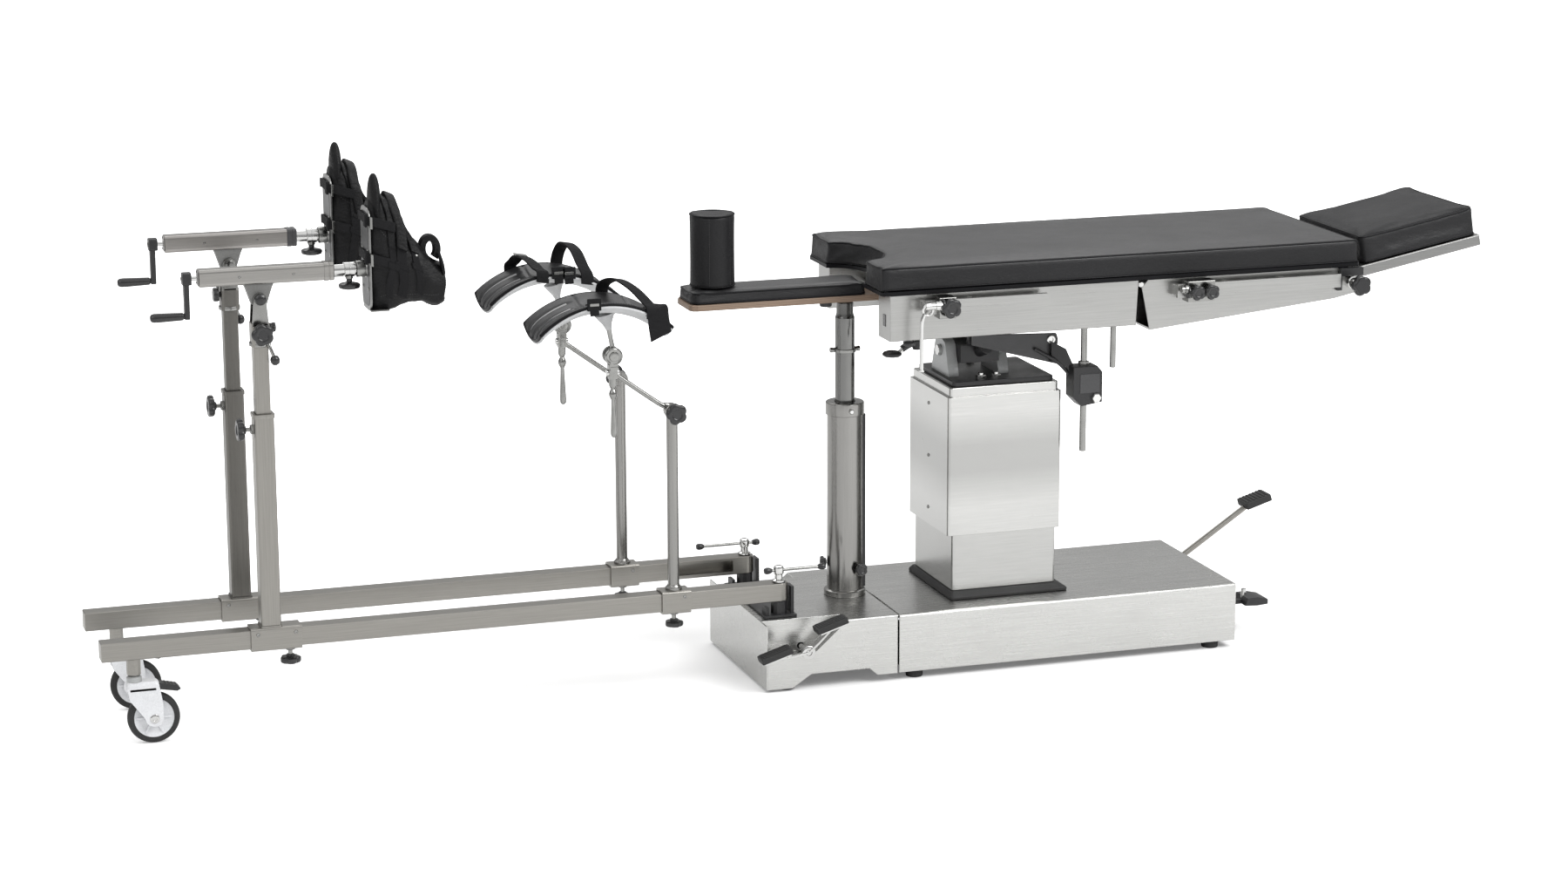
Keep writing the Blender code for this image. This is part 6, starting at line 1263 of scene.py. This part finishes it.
low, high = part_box("seat_pad")
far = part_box("back_pad")[1]
plan = rounded(low[0], far[0], low[1], far[1], 0.014, 5)
plan = [p for p in plan if p[0] > (low[0] + far[0]) / 2.0]
head_end = [Vector(p) for p in sorted(plan, key=lambda p: p[1])]
notch = [Vector((low[0] + 0.074 * math.cos(math.radians(a)), 0.1165 * math.sin(math.radians(a))))
         for a in range(84, -85, -7)]
foot_far = [Vector((low[0] + 0.01, high[1])), Vector((low[0] + 0.003, high[1] - 0.003)),
            Vector((low[0], high[1] - 0.01)), Vector((low[0], 0.122))]
foot_near = [Vector((p.x, -p.y)) for p in foot_far[::-1]]
plan = resampled(head_end + foot_far + notch + foot_near, 0.01)
cushion = Piece("main_cushion", vinyl, vinyl_shaded_side, piping, thread_grey)
slim = drawn_in(plan, 0.0045)
cushion.prism([tuple(p) for p in slim], "Z", low[2] + 0.0075, high[2] - 0.005, 0, 0.0)
swollen(cushion, 0.0092, 0.0048, lambda co: co.z < low[2] + 0.011)
# The strip under the main cushion stands for a base board and for painted shadow in the gap over the frame.
finish_cushion(cushion, plan, low[2] + 0.008, high[2] - 0.001, 1, 2, thread_grey,
               base_strip_and_shadow=(low[2] + 0.0003, low[2] + 0.0085))
cushion = cushion.made()
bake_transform(cushion)
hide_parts("seat_pad", "pad_bend", "back_pad")

# Head cushion: 300 mm by 340 mm and 70 mm thick, on the head plate and raised 10.6 degrees, with the same
# piping.
head_vinyl = leather("head_vinyl", (0.009, 0.009, 0.01), 0.46, creases=0.12, shine=0.22)
pivot = at["head_raise"]
tilt_up = math.radians(10.6)
turn = Matrix.Translation(pivot) @ Matrix.Rotation(-tilt_up, 4, "Y")
plan = [Vector(p) for p in rounded(0.0455, 0.3415, -0.1695, 0.1695, 0.02, 6)]
plan = resampled(plan, 0.008)
pad = Piece("head_cushion", head_vinyl, vinyl_shaded_side, piping, thread_grey)
pad.prism([tuple(p) for p in drawn_in(plan, 0.0045)], "Z", 0.0055, 0.0695, 0, 0.0)
for vertex in pad.bm.verts:
    if vertex.co.z > 0.06:
        vertex.co.x += 0.008 if vertex.co.x > 0.2 else -0.003
swollen(pad, 0.007, 0.005, lambda co: co.z < 0.009, turn)
finish_cushion(pad, plan, 0.006, 0.074, 1, 2, thread_grey, turn)
pad.done("head", "head_pad")

# Pelvic board: brown laminate 14 mm thick with round ends, kept from the CAD, with a black clip under each
# side and a chrome plate over its joint with the support column. The thin pad on it is 0.41 m by 0.12 m.


def laminated():
    """Board in thin plies: brown layers on the edge and a plain brown face."""
    s = Shader("laminate")
    plies = s.node("TexWave", {"wave_type": "BANDS", "bands_direction": "Z"},
                   {"Vector": s.place, "Scale": 95.0, "Distortion": 0.4})
    fibre = s.noise(s.scaled(30.0, 30.0, 600.0), 1.0, 4.0)
    wood = s.mix(plies, (0.24, 0.165, 0.115), (0.115, 0.075, 0.052))
    return s.set(colour=s.mix(fibre * 0.5, wood, (0.3, 0.225, 0.165)),
                 rough=s.fade(fibre, 0.3, 0.7, 0.42, 0.6),
                 normal=s.bump(plies * 0.6 + fibre * 0.4, 0.0003, 0.5))


laminate = laminated()
keep("pelvic_board", laminate, 0.001)
low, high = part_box("pelvic_board")
clips = Piece("board_fittings", black_paint, chrome)
for side, sign in SIDES:
    clips.turned((0.045, sign * 0.03, low[2] - 0.0002), (0, 0, 1),
                 [(9, 0), (12.5, 1), (13.5, 3), (13.5, 12.5)], 0, 32)
for x in (0.165, 0.215):
    for sign in (-1.0, 1.0):
        clips.turned((x, sign * 0.036, high[2] - 0.0005), (0, 0, 1),
                     [(6, 0), (6, 1), (4.8, 2.2), (2.8, 2.4), (2.4, 1)], 1, 22)
clips.done("top")
low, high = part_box("pelvic_pad")
plan = resampled(rounded(low[0] + 0.0005, high[0], low[1], high[1], 0.02, 6), 0.006)
pad = Piece("pelvic_cushion", vinyl, vinyl_shaded_side, piping, thread_grey)
pad.prism([tuple(p) for p in drawn_in(plan, 0.0035)], "Z", low[2] + 0.0005, high[2] - 0.006, 0, 0.0)
swollen(pad, 0.005, 0.0045, lambda co: co.z < low[2] + 0.004)
finish_cushion(pad, plan, low[2] + 0.001, high[2] - 0.002, 1, 2, thread_grey, inset_seam=0.008)
pad.done("top", "pelvic_pad")

# Perineal post: a 99 mm padded roll 165 mm high in six sewn panels, with a rolled rim and a shallow dip in
# its top.
vinyl_post = leather("post_vinyl", (0.007, 0.007, 0.008), 0.46, creases=0.2, shine=0.3)
low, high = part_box("perineal_post")
centre = Vector(((low[0] + high[0]) / 2.0, 0.0, 0.0))
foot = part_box("pelvic_pad")[1][2]
rise, radius = high[2] - foot, 0.0495
post = Piece("perineal_post_shown", vinyl_post, piping, thread_grey)
rings = []
for share, wide in ((0.0, 0.86), (0.006, 0.93), (0.02, 0.975), (0.05, 0.99), (0.12, 0.985), (0.3, 0.978),
                    (0.5, 0.976), (0.7, 0.979), (0.86, 0.986), (0.93, 0.992), (0.962, 0.985), (0.985, 0.955),
                    (0.997, 0.9), (1.0, 0.82), (0.998, 0.66), (0.99, 0.46), (0.984, 0.26), (0.982, 0.06)):
    ring = []
    for k in range(96):
        angle = math.tau * k / 96
        panel = 1.0 - 0.016 * (1.0 - abs(math.sin(3.0 * angle)) ** 0.35) * min(1.0, wide * 1.3 - 0.2)
        wave = 0.0028 * math.cos(2.0 * angle + 0.6) * (1.0 if share > 0.95 else 0.0) * wide
        reach = radius * wide * panel
        ring.append(centre + Vector((reach * math.cos(angle), reach * math.sin(angle),
                                     foot + 0.0006 + (rise - 0.0036) * share + wave)))
    rings.append(ring)
post.loft(rings, 0)
for share in (0.022, 0.965):
    bead(post, [centre
                + Vector((0.0486 * math.cos(math.tau * k / 72), 0.0486 * math.sin(math.tau * k / 72),
                          foot + rise * share)) for k in range(72)], 0.0018, 1)
rows = []
for k in range(6):
    angle = math.tau * (k + 0.1) / 6.0
    rows.append([centre
                 + Vector((0.0487 * math.cos(angle), 0.0487 * math.sin(angle),
                           foot + rise * (0.05 + 0.88 * i / 30.0))) for i in range(31)])
sew(post, rows, thread_grey)
post.done("top", "perineal_post")

# Boot: a bulky black leather shell on the foot plate, open towards the table, with a padded pointed tongue
# behind the plate's top, three straps over the slope, two buckled straps round the plate and a loop strap
# at the open end.


def webbing(name, colour, pitch=900.0):
    """Woven strap: a plain weave of thick threads."""
    s = Shader(name)
    over = s.node("TexWave", {"wave_type": "BANDS", "bands_direction": "X"},
                  {"Vector": s.place, "Scale": pitch / 6.0})
    under = s.node("TexWave", {"wave_type": "BANDS", "bands_direction": "Z"},
                   {"Vector": s.place, "Scale": pitch / 6.0})
    weave = over * under
    return s.set(colour=s.mix(weave, tinted(colour, 0.6), tinted(colour, 1.6)),
                 rough=s.fade(weave, 0.0, 1.0, 0.85, 0.6), normal=s.bump(weave, 0.0006, 0.7), shine=0.25)


boot_skin = leather("boot_skin", (0.006, 0.006, 0.0065), 0.46, 480.0, 0.0008, 0.5, shine=0.2)
strap_black = webbing("strap_black", (0.007, 0.007, 0.008))


def rumpled(piece, size, depth, seed):
    """Moves every point in or out a little by a smooth noise, for leather that has been pulled about."""
    piece.bm.normal_update()
    for vertex in piece.bm.verts:
        where = Vector([part / step for part, step in zip(vertex.co, size)]) + Vector((seed, 0.0, 0.0))
        vertex.co += vertex.normal * depth * (noise.noise(where) + 0.5 * noise.noise(where * 2.3))


for side, sign in SIDES:
    swing, plate = stand(side, "beam_swing", "boot_turn")
    y, z, heel = swing.y, plate.z, plate.x + 0.0048
    boot = Piece(f"boot_{side}_shown", boot_skin, piping, strap_black, dark_chrome, thread_grey)
    rings = []
    for x, under, over, half in ((0.0, -0.08, 0.14, 0.034), (0.006, -0.084, 0.15, 0.04),
                                 (0.014, -0.0875, 0.152, 0.0435), (0.026, -0.09, 0.15, 0.046),
                                 (0.036, -0.09, 0.141, 0.0472), (0.046, -0.0865, 0.124, 0.0478),
                                 (0.056, -0.082, 0.108, 0.0478), (0.067, -0.078, 0.091, 0.0474),
                                 (0.08, -0.0755, 0.076, 0.047), (0.094, -0.0745, 0.062, 0.0468),
                                 (0.106, -0.075, 0.049, 0.0464), (0.116, -0.0775, 0.031, 0.046),
                                 (0.126, -0.084, 0.019, 0.0456), (0.138, -0.0845, 0.013, 0.0446),
                                 (0.149, -0.081, 0.007, 0.0425), (0.156, -0.077, -0.003, 0.0385),
                                 (0.1555, -0.073, -0.007, 0.035), (0.15, -0.069, -0.008, 0.0325),
                                 (0.132, -0.065, 0.0, 0.0345), (0.105, -0.061, 0.02, 0.036),
                                 (0.08, -0.06, 0.038, 0.036), (0.05, -0.06, 0.054, 0.035),
                                 (0.024, -0.056, 0.058, 0.031)):
        ring = []
        for k in range(56):
            angle = math.tau * k / 56
            ca, sa = math.cos(angle), math.sin(angle)
            up = math.copysign(abs(sa) ** 0.72, sa)
            narrow = 1.0 - 0.2 * max(0.0, up) - 0.1 * max(0.0, -up)
            across = math.copysign(abs(ca) ** 0.62, ca) * half * narrow
            ring.append((heel + x, y + across, z + (over + under) / 2.0 + (over - under) / 2.0 * up))
        rings.append(ring)
    boot.loft(rings, 0)
    bmesh.ops.subdivide_edges(boot.bm, edges=list(boot.bm.edges), cuts=1, use_grid_fill=True, smooth=0.6)
    rumpled(boot, (0.022, 0.03, 0.048), 0.0034, {"left": 3.0, "right": 9.0}[side])
    shell = BVHTree.FromBMesh(boot.bm)
    tongue = []
    for up, half, thick in ((0.06, 0.03, 0.006), (0.085, 0.033, 0.01), (0.115, 0.034, 0.0125),
                            (0.142, 0.033, 0.013), (0.16, 0.03, 0.0125), (0.175, 0.0245, 0.0112),
                            (0.186, 0.0175, 0.0092), (0.193, 0.011, 0.0068), (0.197, 0.0055, 0.0038),
                            (0.198, 0.0015, 0.001)):
        tongue.append([(heel + 0.016 + thick * math.cos(math.tau * k / 32),
                        y + half * math.sin(math.tau * k / 32), z + up) for k in range(32)])
    boot.loft(tongue, 0)
    for x, spread, thick in ((0.042, 0.018, 0.006), (0.067, 0.025, 0.019), (0.098, 0.018, 0.011)):
        course = []
        for k in range(17):
            angle = math.radians(-28.0 + 236.0 * k / 16.0)
            aim = Vector((heel + x + 0.01 * math.sin(angle), y + 0.08 * math.cos(angle),
                          z + 0.005 + 0.16 * math.sin(angle)))
            touch, normal = shell.find_nearest(aim)[:2]
            course.append(touch + normal * (0.001 + 0.42 * thick * max(0.0, math.sin(angle)) ** 2))
        boot.sweep(course[:5], 0.0, 2, 14, (spread * 0.9, 0.003, (1, 0, -0.45)))
        boot.sweep(course[3:14], 0.0, 0, 22, (spread, thick, (1, 0, -0.45)))
        boot.sweep(course[12:], 0.0, 2, 14, (spread * 0.9, 0.003, (1, 0, -0.45)))
        for k in (3, 14):
            boot.slab(course[k], (1, 0, -0.45), course[k + 1] - course[k - 1],
                      (spread + 0.006, 0.013, 0.005), 2, 0.0014)
    rivet, normal = shell.find_nearest(Vector((heel + 0.104, y - 0.08, z + 0.04)))[:2]
    boot.turned(rivet + normal * 0.0005, normal, [(4.5, 0), (4.8, 0.6), (4, 2), (2, 2.6), (0.5, 2.7)], 3, 24)
    for up in (0.104, 0.026):
        around_plate = [(heel + 0.05, y - 0.0475, z + up - 0.014), (heel + 0.024, y - 0.0492, z + up - 0.006),
                        (heel + 0.004, y - 0.0478, z + up), (plate.x - 0.003, y - 0.044, z + up + 0.002),
                        (plate.x - 0.0042, y - 0.033, z + up + 0.003),
                        (plate.x - 0.0036, y - 0.01, z + up + 0.004),
                        (plate.x - 0.0034, y + 0.03, z + up + 0.004),
                        (plate.x - 0.003, y + 0.044, z + up + 0.002), (heel + 0.004, y + 0.0478, z + up),
                        (heel + 0.04, y + 0.0485, z + up - 0.01)]
        boot.sweep(around_plate, 0.0, 2, 14, (0.02, 0.0028, (0, 0, 1)))
        boot.slab((plate.x - 0.0062, y - 0.037, z + up + 0.003), (0, 0, 1), (0, 1, 0.1),
                  (0.027, 0.017, 0.005), 2, 0.0016)
        boot.slab((heel - 0.001, y - 0.05, z + up - 0.002), (0, 0, 1), (1, 0, -0.3),
                  (0.025, 0.006, 0.004), 3, 0.0014)
    loop = []
    for k in range(17):
        angle = math.radians(-55.0 + 290.0 * k / 16.0)
        loop.append((heel + 0.129 + 0.015 * math.cos(angle), y - 0.012 + 0.0008 * k,
                     z + 0.036 + 0.0225 * math.sin(angle)))
    boot.sweep(loop, 0.0, 0, 22, (0.024, 0.015, (0, 1, 0)))
    boot.sweep([(heel + 0.143, y - 0.03, z + 0.03), (heel + 0.1495, y - 0.034, z + 0.006),
                (heel + 0.153, y - 0.03, z - 0.016)], 0.0, 2, 14, (0.02, 0.006, (0, 1, 0)))
    rim = []
    for k in range(48):
        angle = math.tau * k / 48
        aim = Vector((heel + 0.17, y + 0.04 * math.cos(angle), z - 0.033 + 0.046 * math.sin(angle)))
        rim.append(shell.find_nearest(aim)[0])
    seams = [rim + rim[:1]]
    for off in (-0.06, 0.06):
        welt = [Vector((heel + 0.01 + 0.13 * i / 40.0, y + off, z - 0.062 + 0.004 * math.sin(i / 6.0)))
                for i in range(41)]
        slope_seam = [Vector((heel + 0.018 + 0.1 * i / 40.0, y + off, z + 0.085 - 0.075 * i / 40.0))
                      for i in range(41)]
        seams += [on_surface(shell, welt), on_surface(shell, slope_seam)]
    sew(boot, seams, thread_grey, 0.005, 0.0017, 0.00042)
    boot.done(f"boot_{side}", f"boot_{side}")

# Gutter: a light plastic shell, 284 mm long and bent to a 206 mm radius, with a conical mount, a thin stem
# and a round tab in the joint, and on it a thick quilted black pad with three channels at the foot end.
shell_grey = cast("shell_grey", (0.47, 0.475, 0.48), 0.38, 300.0, 0.0002)
# Light grey cords for the pad's channels: a painted reflection of the light along the channels.
channel_painted_reflection = leather("channel_painted_reflection", (0.34, 0.34, 0.34), 0.4, 900.0, 0.0002)
bend_radius, shell_long, shell_wide = 0.206, 0.284, 0.144
for side, sign in SIDES:
    y = at[f"beam_swing_{side}"].y
    gutter = at[f"gutter_tilt_{side}"]
    crown = gutter.z + 0.1
    middle = gutter.x - 0.03

    def skin(u, v, lift):
        along, over = (u - 0.5) * shell_long, (v - 0.5) * shell_wide
        drop = bend_radius - math.sqrt(bend_radius ** 2 - along ** 2)
        return Vector((middle + along * (1.0 + lift / bend_radius), y + over * (1.0 - lift * 3.0),
                       crown - drop + over * over / 0.24 + lift))

    def sheet(piece, low_at, high_at, slot, along_count, over_count):
        bm = piece.bm
        rows = [[[bm.verts.new(skin(i / along_count, j / over_count, lift(i / along_count, j / over_count)))
                  for j in range(over_count + 1)] for i in range(along_count + 1)]
                for lift in (low_at, high_at)]
        faces = []
        for i in range(along_count):
            for j in range(over_count):
                for level in rows:
                    faces.append(bm.faces.new((level[i][j], level[i + 1][j],
                                               level[i + 1][j + 1], level[i][j + 1])))
        edge = [(i, 0) for i in range(along_count)] + [(along_count, j) for j in range(over_count)]
        edge += [(i, over_count)
                 for i in range(along_count, 0, -1)] + [(0, j) for j in range(over_count, 0, -1)]
        for (a, b), (c, d) in zip(edge, edge[1:] + edge[:1]):
            faces.append(bm.faces.new((rows[0][a][b], rows[0][c][d], rows[1][c][d], rows[1][a][b])))
        bmesh.ops.recalc_face_normals(bm, faces=faces)
        for face in faces:
            face.material_index = slot

    shell = Piece(f"leg_shell_{side}_shown", shell_grey, chrome, dark_chrome)
    sheet(shell, lambda u, v: -0.004 + 0.0012 * (abs(2.0 * v - 1.0) ** 8), lambda u, v: -0.0002, 0, 64, 24)
    for v in (0.0, 1.0):
        shell.sweep([skin(i / 24.0, v, -0.0024) for i in range(25)], 0.0028, 0, 12)
    for u in (0.0, 1.0):
        shell.sweep([skin(u, j / 10.0, -0.0024) for j in range(11)], 0.0028, 0, 12)
    shell.turned((gutter.x - 0.016, y, crown - 0.0075), (0.26, 0.0, -1.0),
                 [(22.5, 0), (21.5, 3), (18, 10), (11, 22), (7.5, 32), (6.5, 36)], 0, 44)
    shell.turned((gutter.x - 0.007, y, crown - 0.042), (0.18, 0.0, -1.0),
                 [(6.2, 0), (5.6, 2), (5, 23), (5.6, 46)], 2, 32)
    shell.turned((gutter.x, y - 0.0055, gutter.z), (0, 1, 0),
                 [(6, 0), (15.2, 0), (16.2, 1), (16.2, 10), (15.2, 11), (6, 11)], 1, 44, True)
    for u in (0.3, 0.62):
        shell.screw(skin(u, 0.5, -0.0042), (0, 0, -1), 0.005, 1)
    shell.done(f"gutter_{side}", f"leg_shell_{side}")

    def padding(u, v):
        edge = min(u, 1.0 - u) * shell_long
        flank = min(v, 1.0 - v) * shell_wide
        thick = 0.0045 + 0.0105 * (1.0 - math.exp(-edge / 0.01)) * (1.0 - math.exp(-flank / 0.009))
        for channel in (0.25, 0.5, 0.75):
            fade = max(0.0, 1.0 - u / 0.36) ** 0.5
            thick -= 0.0068 * math.exp(-((v - channel) / 0.028) ** 2) * fade
        for cross in (0.37, 0.74):
            thick -= 0.003 * math.exp(-((u - cross) / 0.012) ** 2)
        return thick

    pad = Piece(f"leg_cushion_{side}", vinyl, piping, strap_black, dark_chrome, channel_painted_reflection, thread_grey)
    sheet(pad, lambda u, v: 0.0002, padding, 0, 120, 60)
    rumpled(pad, (0.04, 0.04, 0.04), 0.0006, 5.0)
    for v in (0.0, 1.0):
        pad.sweep([skin(i / 30.0, v, 0.0034) for i in range(31)], 0.003, 1, 12)
    for u in (0.0, 1.0):
        pad.sweep([skin(u, j / 12.0, 0.0034) for j in range(13)], 0.003, 1, 12)
    # Light grey cords down the three channels at the foot end are painted reflection.
    for v in (0.25, 0.5, 0.75):
        pad.sweep([skin(u / 40.0, v, padding(u / 40.0, v) + 0.001) for u in range(1, 13)], 0.0028, 4, 12)
    # Straps over the pad: standing loops from flank to flank, a square buckle at the near flank, and a
    # flap at the end.
    loops = {"left": ((0.6, 0.84, 0.03),), "right": ((0.28, 0.4, 0.022), (0.64, 0.74, 0.044))}[side]
    for start, end, rise in loops:
        a, b = skin(start, 1.0, 0.006), skin(end, 0.0, 0.006)
        course = [a + Vector((0.0, 0.004, -0.014)), a + Vector((0.0, 0.0035, 0.006)),
                  a + Vector((0.004, -0.01, rise * 0.75)), a.lerp(b, 0.3) + Vector((0.0, 0.0, rise + 0.01)),
                  a.lerp(b, 0.62) + Vector((0.0, 0.0, rise + 0.004)),
                  b + Vector((-0.006, 0.014, rise * 0.55)), b + Vector((0.0, -0.0035, 0.006)),
                  b + Vector((0.0, -0.004, -0.016))]
        pad.sweep(course, 0.0, 2, 14, (0.03, 0.0044, (1, 0.2, -0.2)))
        if rise < 0.025:
            top = a.lerp(b, 0.32) + Vector((0.0, 0.0, rise + 0.013))
            pad.slab(top, (1, 0.2, -0.2), (0, 1, 0), (0.03, 0.024, 0.003), 3, 0.0012)
    for u in {"left": (0.4,), "right": (0.52, 0.6)}[side]:
        edge = skin(u, 0.0, 0.004)
        pad.sweep([skin(u, 0.16, padding(u, 0.16) + 0.001), skin(u, 0.05, padding(u, 0.05) + 0.001),
                   edge + Vector((0.0, -0.0035, 0.0)), edge + Vector((0.001, -0.005, -0.02))], 0.0, 2, 14,
                  (0.02, 0.003, (1, 0, 0.1)))
        pad.slab(edge + Vector((0.0, -0.005, 0.004)), (1, 0, 0), (0, 0, 1), (0.03, 0.026, 0.005), 2, 0.0018)
        pad.slab(edge + Vector((0.0, -0.0078, 0.004)), (1, 0, 0), (0, 0, 1), (0.02, 0.006, 0.003), 3, 0.0012)
    if side == "left":
        flap = [skin(0.8, 0.4, padding(0.8, 0.4) + 0.0015), skin(0.835, 0.18, padding(0.835, 0.18) + 0.0025),
                skin(0.865, 0.01, 0.012) + Vector((0.0, -0.004, 0.0)),
                skin(0.9, 0.0, -0.006) + Vector((0.001, -0.006, 0.0)),
                skin(0.95, 0.0, -0.026) + Vector((0.003, -0.006, 0.0))]
        pad.sweep(flap, 0.0, 2, 18, (0.05, 0.0065, (1, 0, 0.45)))
    rows = []
    for v in (0.035, 0.965):
        rows.append([skin(i / 60.0, v, padding(i / 60.0, v) + 0.0002) for i in range(1, 60)])
    for u in (0.02, 0.98):
        rows.append([skin(u, j / 30.0, padding(u, j / 30.0) + 0.0002) for j in range(1, 30)])
    sew(pad, rows, thread_grey, 0.0056, 0.0018, 0.00042)
    pad.done(f"gutter_{side}", f"leg_pad_{side}")
